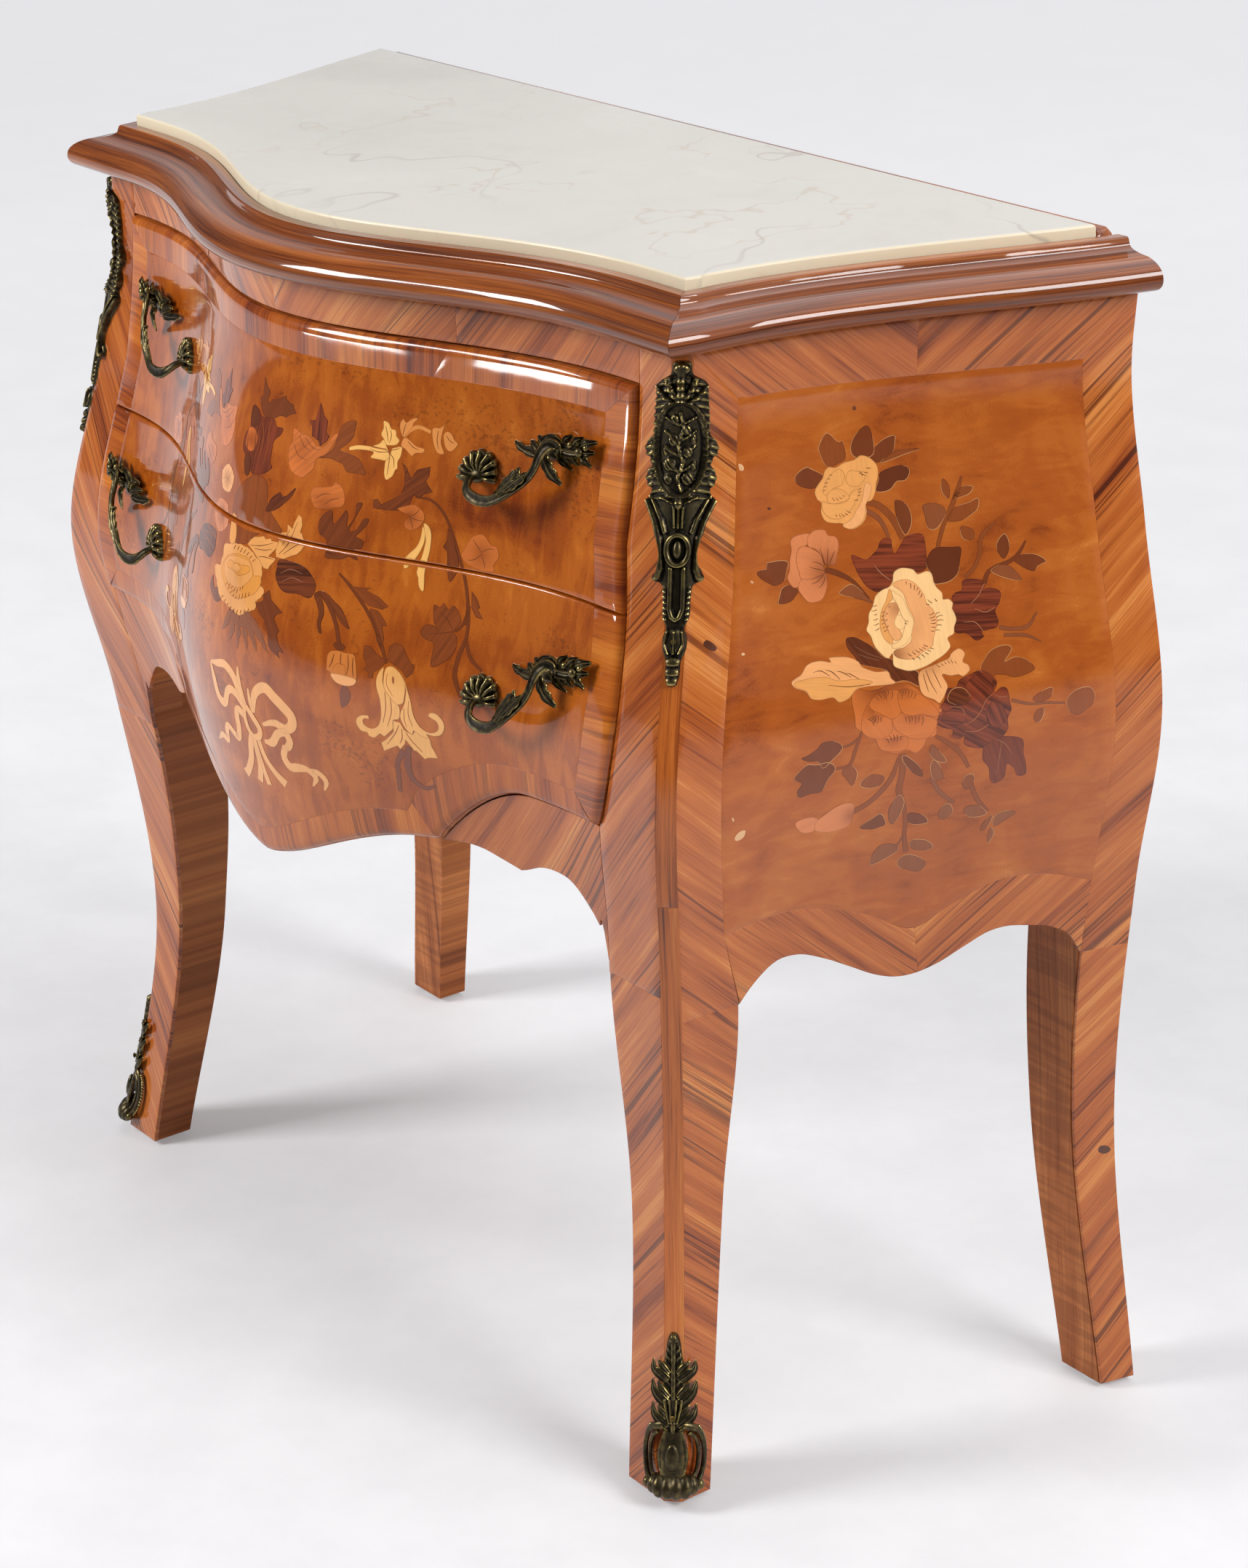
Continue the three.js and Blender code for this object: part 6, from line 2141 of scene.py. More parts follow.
    # Upper rose
    piece(HONEY, 1, [
        (158, 655), (162, 660), (167, 662), (171, 660), (178, 659), (183, 657), (187, 658), (190, 656),
        (192, 652), (195, 649), (198, 645), (197, 640), (195, 638), (196, 632), (194, 627), (189, 625),
        (184, 624), (179, 620), (174, 621), (170, 624), (168, 629), (168, 634), (164, 635), (161, 640),
        (160, 644), (158, 649),
    ])
    piece(PEACH, 2, [
        (168, 633), (169, 628), (172, 623), (179, 620), (184, 623), (178, 626), (174, 631), (170, 636),
        (168, 642), (166, 646), (163, 643), (165, 637),
    ], way=70)
    piece(HONEY, 3, [
        (171, 640), (175, 634), (180, 629), (186, 627), (192, 629), (195, 634), (194, 639), (190, 637),
        (184, 636), (179, 637), (176, 641), (172, 643),
    ], way=10)
    piece(HONEY, 2, [(165, 651), (170, 653), (175, 654), (178, 650), (177, 646), (172, 644), (168, 646)])
    piece(HONEY, 3, [(177, 638), (180, 643), (185, 645), (190, 643), (191, 638), (186, 636)], way=30)
    piece(HONEY, 2, [
        (178, 652), (181, 656), (186, 654), (190, 650), (193, 644), (190, 641), (186, 645), (181, 646),
    ])
    ticks(4, [(160, 656), (166, 650), (170, 652)], 5, 2.4)
    ticks(4, [(169, 645), (170, 640), (174, 634)], 4, 2.2)
    ticks(4, [(176, 631), (182, 628), (189, 629)], 5, 2.6)
    ticks(4, [(184, 655), (189, 649), (192, 643)], 5, 2.2)
    ticks(4, [(178, 641), (183, 638), (189, 638)], 4, 2.0)
    # Large rose
    piece(CREAM, 2, [
        (134.5, 587), (137, 589), (143, 588), (145, 591), (152, 593), (157, 591), (158.5, 586), (161, 583),
        (165, 582), (170, 579), (173, 573), (176, 569), (177, 564), (179, 560), (177, 556), (176, 551),
        (174, 547), (170, 542), (168, 541.5), (165.5, 544), (166, 537), (162, 534), (156, 532), (148, 533),
        (140, 536), (134, 539), (130, 543), (131, 548), (127, 550), (126, 554), (124, 558), (124.5, 562),
        (125.5, 565), (124.5, 568), (127, 571), (130, 571), (130, 575), (133, 579), (134, 583),
    ])
    piece(HONEY, 3, [
        (161, 582), (164.5, 575), (168, 570), (170, 564), (170.5, 559), (169, 553), (165, 549), (164, 552),
        (166.5, 560), (167.5, 567), (163, 573), (160, 576),
    ], way=100)
    piece(PEACH, 3, [
        (149, 585.5), (154, 586), (159, 584), (154, 579), (152.5, 574), (152, 570), (150, 564), (149.5, 561),
        (152, 555), (153, 550), (158, 546.5), (163, 546), (165, 544), (163, 541), (157, 539), (152, 539),
        (147, 542), (141, 544.5), (139, 550), (135.5, 559), (137, 566), (140, 570), (141, 575.5),
        (144.5, 582),
    ], way=80, scorch=[((164, 543), 7, 0.55), ((153, 558), 9, 0.12)])
    piece(PEACH, 4, [
        (158, 573), (163, 573), (167.5, 567), (166.5, 560), (164.5, 553), (162, 551), (159, 552), (158, 555),
        (161, 561), (158, 567), (157, 570),
    ], way=90, scorch=[((158, 570), 5, 0.4)])
    piece(CREAM, 5, [
        (160, 581), (156.5, 578), (154, 575.5), (152.5, 570), (151, 565), (149.5, 561), (151, 556.5),
        (153, 552), (157, 548), (162, 546.5), (165, 547), (165, 549.5), (162, 550), (159, 552), (157, 555.5),
        (155.5, 559), (154.5, 561), (156.5, 565), (157, 568), (158, 572), (160, 577),
    ])
    piece(CREAM, 5, [
        (154.5, 561), (157, 566), (159, 566), (161.5, 562), (161, 559), (158.5, 557), (156, 558),
    ])
    ticks(6, [(130, 571), (137, 570), (140, 568)], 3, 2.6)
    ticks(6, [(136, 565), (135.5, 559), (138, 551)], 5, -3.6, lean=0.1)
    ticks(6, [(137, 566), (136.5, 559), (139, 551)], 6, 3.4, lean=0.1)
    ticks(6, [(141, 574), (145, 581), (153, 586)], 6, -2.6)
    ticks(6, [(141, 545), (147, 541), (157, 539)], 6, -2.6)
    ticks(6, [(142, 546), (148, 542.5), (157, 540)], 6, 2.6)
    ticks(6, [(170, 576), (171, 567), (171, 557)], 6, 2.8, lean=0.2)
    ticks(6, [(167, 571), (169, 563), (168, 555)], 6, -2.2, lean=0.2)
    ticks(6, [(160, 575), (165, 566), (165, 557)], 4, 1.8)
    ticks(6, [(154, 563), (155, 561), (156, 559)], 2, -2.0, lean=0.0)
    # Petals and leaves under the large rose
    piece(PEACH, 1, [
        (122, 537.5), (125, 541), (130, 539), (132.5, 536), (140, 534), (151, 530.5), (152, 521), (150, 516),
        (144, 512.5), (141, 510), (137, 515), (135, 520), (137.5, 527), (132.5, 525.5), (127.5, 525.5),
        (125, 524), (120.5, 527), (121, 530.5), (124, 533),
    ], way=60, scorch=[((146, 534), 7, 0.35)])
    ticks(2, [(126, 532), (133, 533), (140, 531)], 6, 2.6)
    lines(2, [
        [(147, 531), (145, 523), (142, 516)], [(143, 531), (141, 525), (139, 519)],
        [(149, 529), (148, 523), (147, 518)],
    ])
    piece(DARK, 0, [
        (152, 522), (155, 524), (161, 527), (168, 527), (170, 534), (179, 538), (186, 541), (189, 546),
        (192.5, 552), (192, 557), (187, 557), (181, 553), (176, 549), (171, 542.5), (167, 541), (160, 534),
        (152, 531),
    ], 0.4, 60)
    lines(1, [[(172, 542), (180, 546), (188, 552)], [(174, 541), (181, 544), (187, 547)]], (130, 84, 60))
    piece(PEACH, 2, [
        (167, 526), (169, 530), (170, 534), (177.5, 535), (185, 539), (187, 542.5), (192.5, 546),
        (200, 547.5), (205, 547.5), (204, 545), (211, 547), (219, 546), (224, 541), (230.5, 538), (229, 534),
        (222.5, 530.5), (220, 526), (214, 524), (206, 524), (202.5, 520.5), (196, 522), (191, 526),
        (185, 527),
    ], way=15)
    piece(HONEY, 3, [
        (180, 529), (189, 532.5), (201, 533.5), (209, 537), (220, 538), (229, 537), (228, 534), (222, 530.5),
        (220, 526), (214, 524), (206, 524), (202.5, 520.5), (196, 522), (190, 527),
    ], way=10)
    lines(4, [
        [(188, 532), (193, 536), (196, 537)], [(193, 534), (198, 538), (201, 539)],
        [(200, 534), (204, 539), (208, 541)], [(206, 537), (211, 541), (216, 541)],
        [(182, 528), (196, 529), (208, 532)],
    ])
    # Peony
    piece(TAN, 1, [
        (140, 505.5), (142, 510), (150, 516), (154, 521), (160, 525), (169, 526), (177.5, 524.5),
        (184, 524.5), (190.5, 526), (194.5, 522.5), (194, 510), (194, 504), (190, 500), (186, 495.5),
        (182, 494), (181, 489), (175, 485), (169, 483), (162.5, 484), (157.5, 481), (152.5, 484.5),
        (150.5, 489), (145, 490.5), (144, 495), (144, 500), (140.5, 504),
    ], way=20, scorch=[((178, 526), 11, 0.55), ((163, 526), 7, 0.35)])
    piece(TAN, 2, [
        (171, 499), (172.5, 506), (181, 510), (184, 517.5), (189, 510), (190.5, 501), (185, 495.5),
        (177.5, 494), (172.5, 496),
    ], way=60, scorch=[((183, 513), 6, 0.35)])
    piece(TAN, 3, [
        (144, 500.5), (152.5, 504.5), (165, 508), (170.5, 504.5), (170, 499), (165, 494), (157.5, 490),
        (149, 490), (144.5, 495),
    ], way=10, scorch=[((158, 506), 6, 0.3)])
    piece(TAN, 4, [
        (165, 521), (175, 523), (182.5, 519), (184, 514), (177.5, 509), (170.5, 505), (165, 509),
    ], way=70, scorch=[((176, 524), 7, 0.5)])
    piece(TAN, 5, [
        (142, 505), (150, 515.5), (160, 522), (166, 520), (165, 509), (159, 505), (152.5, 505), (145, 502),
    ], way=30, scorch=[((163, 523), 6, 0.4)])
    piece(TAN, 2, [
        (163, 493), (172, 493), (181, 493), (179, 487), (172, 484.5), (166, 484), (162, 487),
    ], way=0, scorch=[((171, 494), 6, 0.4)])
    ticks(6, [(153, 517), (160, 521), (166, 521)], 6, -5, lean=0.0)
    ticks(6, [(167, 522), (175, 523), (182, 519)], 6, -5, lean=0.0)
    ticks(6, [(150, 503), (158, 505), (165, 505)], 6, -5, lean=0.1)
    ticks(6, [(176, 507), (182, 509), (187, 507)], 6, -5, lean=0.1)
    ticks(6, [(164, 493), (171, 495), (178, 493)], 5, -4, lean=0.1)
    # Rosewood flower
    piece(ROSEWOOD, 1, [
        (98, 504), (99, 512), (102.5, 514), (107.5, 511), (105, 517), (107.5, 522), (114, 526), (121, 524.5),
        (127.5, 522), (130, 518), (135.5, 518), (138, 511), (142.5, 506), (142.5, 501), (144, 497.5),
        (139, 494), (134, 492), (134.5, 488), (131, 485.5), (127, 487), (127.5, 482.5), (124, 479.5),
        (116, 477.5), (110, 481), (104, 482.5), (100, 487.5), (100, 494), (97.5, 499),
    ], 1.0, 35)
    piece(ROSEWOOD, 2, [
        (108, 512), (113, 508), (115, 503), (121, 507), (125, 515), (121, 522), (113, 524), (108, 520),
    ], 1.0, 50)
    piece(DARK, 2, [(122, 511), (126, 517), (133, 517), (136, 511), (130, 507), (125, 507)], 0.6, 30)
    piece(ROSEWOOD, 2, [(101, 495), (103, 503), (109, 506), (113, 500), (112, 493), (106, 489)], 1.0, 70)
    piece(ROSEWOOD, 2, [(126, 500), (130, 506), (138, 504), (141, 499), (135, 495), (128, 495)], 1.0, 15)
    lines(3, [
        [(99, 508), (104, 508), (108, 511)], [(115, 503), (120, 497), (127, 494)],
        [(112, 492), (119, 489), (127, 490)], [(108, 511), (113, 507), (116, 501)],
        [(126, 500), (128, 505), (135, 507)],
    ], (160, 92, 56), 0.6)
    piece(ROSEWOOD, 0, [
        (91, 479), (100, 482.5), (109, 483), (115, 479), (115.5, 470), (113, 466), (111, 462.5), (110, 456),
        (107, 452), (101, 455), (100, 464), (95, 460), (93, 455), (87.5, 455), (88, 462.5), (90, 470),
    ], 0.3, 70)
    lines(1, [[(108, 482), (102, 478), (97, 470)], [(104, 480), (105, 470), (106, 458)]], (150, 92, 60))
    # Lower sprays
    band(BROWN, 0, [(145, 490), (138, 485), (130, 477), (124, 466)], [2, 3, 3, 2.4])
    piece(BROWN, 0, [(120, 460), (125, 461), (127.5, 456), (125, 451), (121, 452.5)])
    band(BROWN, 0, [(123, 459), (120, 450), (116, 442), (109, 433)], [2.6, 3, 3, 2.4])
    piece(FADED, 0, [(109, 431), (115, 438), (122.5, 439), (124, 435), (119, 430.5)])
    piece(BROWN, 0, [(106, 430), (111, 424), (111, 419), (107.5, 421), (105, 427.5)])
    piece(FADED, 0, [(90, 429), (99, 431), (104, 427.5), (102.5, 421), (95, 425)])
    piece(FADED, 0, [(102, 416), (105, 421), (106, 416), (105, 409)])
    piece(FADED, 0, [(138, 472), (142, 479), (147, 485), (149, 480), (145, 474)])
    piece(FADED, 0, [(140, 461), (141, 468), (146, 475), (148, 470), (146, 462)])
    band(FADED, 0, [(147, 463), (143, 455), (138, 449), (131, 443)], [2.6, 2.8, 2.6, 2])
    piece(FADED, 0, [(131, 436), (134, 443), (139, 441), (140, 435), (136, 432)])
    band(BROWN, 0, [
        (166, 482), (165.5, 470), (167, 458), (163, 447), (160.5, 435), (160, 425), (157, 413),
    ], [4.5, 4, 4.4, 2.8, 2.8, 3, 3.4])
    piece(LEAF, 1, [(152.5, 465), (155, 472), (164, 481), (166, 479), (162, 472), (157, 467)])
    piece(LEAF, 0, [(146, 432), (150, 438), (159, 441), (159, 435), (154, 432)])
    piece(LEAF, 0, [(173, 436), (177, 444), (182, 442), (190, 437), (182, 434), (176, 435)])
    piece(FADED, 0, [(163, 450), (167, 455), (172, 447), (172, 440), (169, 435), (165, 440)])
    piece(FADED, 0, [(162, 416), (167, 421), (175, 421), (179, 415), (179, 408), (170, 411)])
    band(FADED, 0, [(161, 426), (163, 420), (167, 419)], [1, 1.4, 1.2])
    piece(FADED, 0, [(140, 413), (145, 419), (155, 421), (154, 415), (146, 412)])
    piece(FADED, 0, [(143, 401), (146, 406), (155, 411), (161, 409), (161, 404), (155, 400), (147, 397)])
    band(BROWN, 0, [(168, 480), (172, 468), (178, 460), (186, 453), (195, 449)], [2, 3.6, 3.8, 3.6, 4])
    piece(BROWN, 0, [(177, 469), (184, 472), (190, 470), (192, 466), (186, 463), (179, 464)])
    piece(ROSY, 1, [
        (195, 454), (200, 456), (206, 455), (212, 452), (219, 447), (219, 441), (211, 438), (204, 438),
        (197, 440), (195, 447),
    ], way=160, scorch=[((196, 447), 6, 0.4)])
    piece(ROSY, 0, [(217, 447), (222, 451), (232, 450), (232, 446), (227, 441), (220, 441)], way=160)
    band(BROWN, 0, [(190, 501), (195, 490), (199, 481), (208, 480)], [1.6, 2.4, 2.2, 1.6])
    band(BROWN, 0, [(191, 498), (197, 494), (203, 493)], [1.4, 1.8, 1.4])
    piece(LEAF, 0, [
        (203, 494), (209, 498), (216, 498), (219, 495), (226, 492), (230, 491), (225, 488), (219, 487),
        (216, 482), (209, 487), (205, 490),
    ])
    piece(LEAF, 0, [
        (208, 480), (212, 485), (220, 485), (227, 486), (235, 479), (230, 475), (233, 470), (231, 466),
        (224, 467), (217, 467), (213, 474),
    ])
    piece(BROWN, 0, [(194, 475), (199, 481), (204, 477), (201, 472), (197, 467)])
    return work.shells


make_pair("side_marquetry", side_marquetry(), inlay_veneer, "case")


def front_centre(work):
    """Carnation, leaves round it, dark flower above it and the bow below."""
    piece, band, lines, ticks = work.piece, work.band, work.lines, work.ticks
    piece(BROWN, 0, [
        (-18, 584), (-17, 598), (-10, 606), (0, 613), (10, 615), (18, 612), (20, 605), (22, 598), (30, 592),
        (38, 585), (24, 583), (12, 577), (4, 571), (-8, 568), (-9, 575),
    ], 0.2)
    piece(GOLD, 1, [
        (-17.5, 585), (-11, 584), (-11, 580), (-9.5, 576), (-9, 571), (-11, 567), (-16, 567), (-18, 572),
    ])
    work.blossom(PEACH, 0, (-32, 604), 10, 5, 20, 0.9)
    work.blossom(ROSY, 0, (-34, 580), 12, 5, 50, 0.9)
    for tip in ((-14, 511), (-4, 506), (6, 503), (17, 505), (27, 507), (38, 508)):
        work.leaf(FADED, 0, (2 + (tip[0] - 2) * 0.25, 531), tip, 7, 0.05, 4, 0.2, (150, 84, 44))
    piece(LEAF, 1, [
        (22, 537), (29, 540), (29, 544), (34, 548), (37, 542), (43, 539), (48, 536), (43, 534), (41, 531),
        (47, 524), (45, 522), (47, 516), (52, 511), (47, 511), (49, 507), (42, 510), (38, 513), (37, 519),
        (33, 528), (26, 532),
    ], 0.2, 120, rounded=False)
    piece(LEAF, 1, [
        (-24, 537), (-29, 534), (-33, 536), (-35, 541), (-38, 534), (-33, 529), (-27, 526), (-20, 529),
    ], 0.2)
    # Pale leaves
    piece(HONEY, 2, [
        (6, 571), (8, 574), (12, 577), (17, 578), (22, 579.5), (24, 578), (29, 579.5), (30, 578),
        (36, 578.5), (36, 575), (32, 571), (29, 568), (36, 568), (35, 566), (32, 563), (30, 560), (26, 560),
        (22, 562), (18, 565), (13, 568),
    ], 0.0, 20, rounded=False)
    lines(3, [
        [(9, 571), (20, 573), (32, 577)], [(14, 570), (24, 571), (31, 573)],
        [(19, 566), (26, 567), (34, 567)],
    ])
    piece(HONEY, 3, [
        (36, 569), (35, 573), (37, 581), (38, 585), (43, 586), (42.5, 591), (45, 590), (47, 589), (48, 593),
        (51, 598.5), (54, 597), (55, 592), (54, 588), (56, 587), (57, 585), (60, 582.5), (57, 577),
        (54, 574), (49, 572), (43, 569),
    ], 0.0, 60, rounded=False)
    lines(4, [
        [(38, 571), (45, 579), (51, 594)], [(42, 572), (50, 578), (57, 582)],
        [(40, 577), (43, 584), (45, 588)],
    ])
    # Carnation
    carnation = [
        (HONEY, [(-23, 564), (-16, 566), (-12, 567), (-6, 568.5), (3, 569), (10.5, 568), (17, 565),
          (22, 563), (24.5, 559), (25, 553), (25, 549), (29, 547), (28, 543), (24, 539.5), (22, 538),
          (23, 534), (19, 531.5), (13, 529.5), (9, 526.5), (4, 525.5), (-1, 527), (-6, 527.5), (-13, 529),
          (-20, 530.5), (-25, 535.5), (-28, 539.5), (-33, 545.5), (-32, 549), (-25, 550.5), (-23, 557)]),
        (GOLD, [(-22, 552), (-18, 557), (-13, 560), (-6, 562), (3, 563), (10.5, 562), (14.5, 558),
          (17, 553.5), (24, 554.5), (25, 549), (20.5, 543), (15, 540), (8, 537), (1.5, 535), (-5, 535.5),
          (-12, 538), (-18, 542), (-22, 547)]),
        (HONEY, [(-19, 553), (-15, 558), (-8, 560.5), (1.5, 561.5), (10.5, 561), (14.5, 557), (15.5, 552),
          (10.5, 547), (5, 543), (-4, 541.5), (-13, 543), (-18, 547)]),
        (GOLD, [(-16, 553), (-12, 557), (-7, 556.5), (3, 557), (10.5, 558), (13, 555.5), (8, 552),
          (0.5, 549.5), (-8, 551), (-14, 551.5)]),
        (HONEY, [(-7, 554.5), (-3, 557), (3, 554.5), (-0.5, 551.5), (-6, 551.5)]),
    ]
    heart = 548
    frill = 1.03
    for level, (tone, outline) in enumerate(carnation):
        scorch = [((-2, 545 + level), 14 - 2 * level, 0.18)]
        frilled = []
        for first, last in zip(outline, outline[1:] + outline[:1]):
            x, z = (first[0] + last[0]) / 2, (first[1] + last[1] - 2 * heart) / 2
            frilled += [first, (x * frill, z * frill + heart)]
        piece(tone, 3 + level, frilled, 0.0, 90, scorch, rim=0.5)
    for line, count, length in (
        ([(-20, 534), (0, 528), (20, 533)], 9, -3), ([(-18, 542), (0, 535), (18, 541)], 9, 3),
        ([(-12, 567), (5, 567), (20, 562)], 7, -3), ([(-12, 543), (0, 541), (10, 546)], 6, -2.5),
    ):
        ticks(8, line, count, length, (150, 84, 36))
    # Dark flower and the leaves above it
    piece(LEAF, 0, [
        (-4, 674), (-2, 672), (0, 669), (4, 667), (4.5, 664), (3, 661), (5, 659), (8, 662), (13, 663),
        (22, 667), (22.5, 665), (27, 663), (30, 663), (31, 661), (34, 658), (28, 656), (25, 654), (20, 654),
        (17, 653), (13, 651), (5, 650), (0, 651), (-3, 655), (-6, 661), (-3, 662),
    ], 0.2, 60, rounded=False)
    piece(ROSEWOOD, 1, [
        (-13, 654), (-11, 655), (-5, 653), (0, 650), (10, 651), (15, 650), (17, 647), (24, 647), (23, 643),
        (19, 640), (17, 637), (17, 632), (17.5, 625), (20, 622), (15, 618), (10, 616), (5, 615), (0, 614.5),
        (-3, 616), (-4, 612.5), (-7, 612), (-11, 617), (-12, 623), (-16, 626), (-17.5, 632), (-16, 637),
        (-12, 640), (-13, 645), (-12.5, 650),
    ], 0.8, 85)
    piece(DARK, 2, [(-13, 654), (-5, 652), (-2, 646), (-7, 642), (-13, 645)], 0.3)
    piece(DARK, 2, [(-12, 622), (-8, 626), (-4, 621), (-4, 613), (-8, 612), (-11, 617)], 0.3)
    piece(TAN, 2, [
        (-13, 640), (-6, 641), (-1, 637), (-2, 629), (-8, 627), (-14, 630),
    ], 1.0, 100, [((-8, 634), 8, 0.6)])
    lines(3, [
        [(2, 648), (6, 636), (5, 622)], [(9, 648), (12, 636), (11, 622)], [(-1, 641), (2, 634), (0, 624)],
    ], (160, 84, 40), 0.6)
    piece(DARK, 1, [
        (20, 595), (23, 602), (27, 606), (32, 609), (34, 607), (38, 608), (45, 614), (43, 609), (38, 604),
        (32, 599), (26, 596),
    ], 0.6, 40)
    # Bow
    ribbon = (238, 170, 106)
    for points, widths in (
        ([(-31, 485), (-20, 487), (-10, 489), (0, 485), (6, 478), (10, 469)], [1.5, 4, 4.6, 5, 5, 5]),
        ([(-31, 485), (-27, 475), (-23, 465), (-17, 461), (-12, 463), (-8, 471), (-2, 474), (6, 471),
          (12, 465)], [2, 4.6, 5, 5, 5, 4.6, 4.6, 4.6, 4]),
        ([(11, 459), (4, 462), (1, 457), (1, 448), (-2, 440), (-8, 442), (-14, 445), (-18, 441), (-20, 433),
          (-28, 434), (-37, 428)], [4, 4.6, 4.6, 4.6, 4.6, 4, 4, 4.4, 4.6, 4, 1]),
        ([(7, 492), (8, 480), (12, 467)], [1.5, 4.4, 5]), ([(18, 480), (19, 472), (22, 464)], [1.5, 3, 3.5]),
        ([(22, 466), (24, 476), (29, 482), (36, 484.5), (44, 480), (52, 475), (58, 470), (58, 464),
          (52, 460), (42, 462), (30, 458)], [3, 5, 5.4, 5.8, 6, 6, 6, 6, 5, 4, 2]),
        ([(29, 446), (37, 447), (44, 455), (51, 457), (54, 452), (51, 447), (46, 446)],
         [2, 5, 4.6, 4.6, 4.6, 4.4, 2]),
        ([(49, 447), (46, 439), (50, 433), (57, 434), (65, 434.5), (71, 430), (67, 423)],
         [4, 4.6, 5, 5, 3.6, 4, 1]),
        ([(66, 434.5), (74, 434), (79, 429), (76, 422)], [2, 3.4, 3.6, 1]),
        ([(16, 449), (12, 438), (9, 428), (2, 418), (-3, 414)], [4, 4.6, 4.6, 4.6, 5]),
        ([(17, 448), (18, 436), (18, 425), (14, 413)], [4, 3.6, 4, 4.6]),
        ([(18, 447), (20, 432), (22, 421), (24, 413)], [3, 3.2, 3.6, 4]),
        ([(22, 448), (26, 434), (33, 425), (42, 418)], [3.4, 3.6, 4, 5.4]),
    ):
        band(ribbon, 1, points, [RIBBON_FULLNESS * width for width in widths], rim=0.62)
    band(ribbon, 2, [(13, 468), (11, 460), (13, 451), (18, 446)], [4, 4, 4, 4])
    band(ribbon, 3, [(14, 467), (20, 461), (26, 454), (24, 448), (17, 446)], [4, 5, 5, 5, 4])


def front_spray(work, side):
    """Lily, bell flower, tulip and leaves to one side of the carnation."""

    def piece(tone, level, points, figure=0.0, way=90, scorch=(), rounded=True):
        way = way if side > 0 else 180 - way
        scorch = [((side * place[0], place[1]), size, strength) for place, size, strength in scorch]
        work.piece(tone, level, flipped(side, points), figure, way, scorch, rounded)

    def band(tone, level, points, widths):
        work.band(tone, level, flipped(side, points), widths)

    def lines(level, curves, tone=ENGRAVED, width=0.5):
        work.lines(level, [flipped(side, points) for points in curves], tone, width)

    vine = (120, 58, 22)
    shadow = (134, 66, 26)
    pale = (252, 190, 106)
    # Flowers and leaves on the upper drawer
    piece(ROSEWOOD, 1, [
        (54, 668), (56, 665), (58, 661), (62, 658), (62, 653), (62, 651), (65, 649), (64, 646), (59, 642),
        (57, 645), (51, 647), (50, 652), (47, 656), (52, 657), (53, 662),
    ], 1.0, 95, rounded=False)
    piece(TAN, 0, [
        (34, 648), (37, 649), (42, 647), (48, 647), (52, 645), (57, 642), (63, 643), (69, 651), (72, 651),
        (69, 644), (65, 638), (58, 634), (57, 628), (52, 623), (49, 621), (42, 622), (38, 624), (35, 628),
        (33, 637), (35, 641),
    ], 0.3, 40, [((46, 636), 8, 0.25)])
    lines(1, [
        [(40, 646), (46, 640), (52, 638)], [(37, 640), (42, 634), (50, 632)],
        [(46, 645), (54, 640), (60, 640)],
    ])
    piece(BROWN, 0, [
        (60, 635), (65, 638), (70, 643), (72, 651), (74, 657), (78, 660), (84, 661), (84, 655), (83, 650),
        (78, 645), (75, 642), (82, 641), (90, 639), (94, 635), (97, 630), (90, 630), (83, 630), (79, 634),
        (74, 635), (68, 636),
    ], 0.2, 40)
    piece(TAN, 0, [
        (58, 612), (60, 617), (65, 618), (74, 620), (76, 623), (82, 620), (85, 614), (84, 609), (78, 607),
        (71, 605), (63, 605),
    ], 0.2, 20, [((70, 607), 8, 0.35)])
    lines(1, [[(62, 610), (68, 614), (74, 615)], [(70, 608), (76, 612), (81, 613)]])
    piece(LEAF, 1, [
        (76, 576), (76, 581), (75, 587), (69, 590), (68, 598), (73, 604), (77, 605), (79, 597), (84, 603),
        (87, 607), (89, 604), (89, 597), (94, 604), (94, 612), (98, 613), (97, 609), (94, 603), (91, 595),
        (96, 596), (100, 603), (104, 604), (103, 600), (98, 594), (96, 592), (102, 590), (101, 585),
        (96, 584), (100, 578), (93, 579), (89, 577), (83, 576),
    ], 0.3, 60)
    piece(LEAF, 0, [
        (121, 641), (125, 638), (129, 632), (132, 638), (141, 641), (141, 635), (139, 632), (145, 626),
        (139, 624), (138, 622), (132, 622), (130, 616), (124, 612), (114, 611), (106, 611), (105, 616),
        (108, 617), (111, 614), (118, 618), (124, 622), (125, 628), (124, 635),
    ], 0.5, 40, rounded=False)
    piece(TAN, 1, [
        (123, 613), (127, 615), (133, 617), (137, 616), (141, 613), (142, 609), (140, 605), (138, 603),
        (133, 601), (129, 603), (129, 607), (132, 610), (127, 611),
    ], 0.0, 30, [((132, 609), 5, 0.45)])
    lines(2, [
        [(132, 609), (136, 612), (138, 615)], [(132, 609), (137, 608), (141, 608)],
        [(132, 609), (134, 605), (135, 602)],
    ])
    band(vine, 0, [
        (134, 621.5), (145, 621), (155, 614), (163, 602), (170, 588), (176, 575), (180, 562), (181, 550),
    ], [1, 1.6, 1.8, 1.8, 2.0, 2.2, 2.4, 2.4])
    piece(LEAF, 1, [
        (159, 606), (163, 601), (166, 594), (169, 588), (169, 581), (165, 574), (162, 581), (160, 592),
        (157, 594), (159, 599),
    ], 0.4, 110)
    piece(TAN, 1, [
        (171, 594), (174, 600), (177, 604), (184, 606), (190, 601), (195, 600), (197, 594), (194, 589),
        (195, 585), (187, 584), (180, 585), (174, 587), (170, 591),
    ], 0.0, 10, [((184, 594), 6, 0.35)])
    lines(2, [
        [(184, 595), (180, 599), (177, 602)], [(184, 595), (189, 598), (193, 598)],
        [(184, 594), (180, 590), (175, 589)], [(184, 594), (187, 589), (188, 586)],
    ])
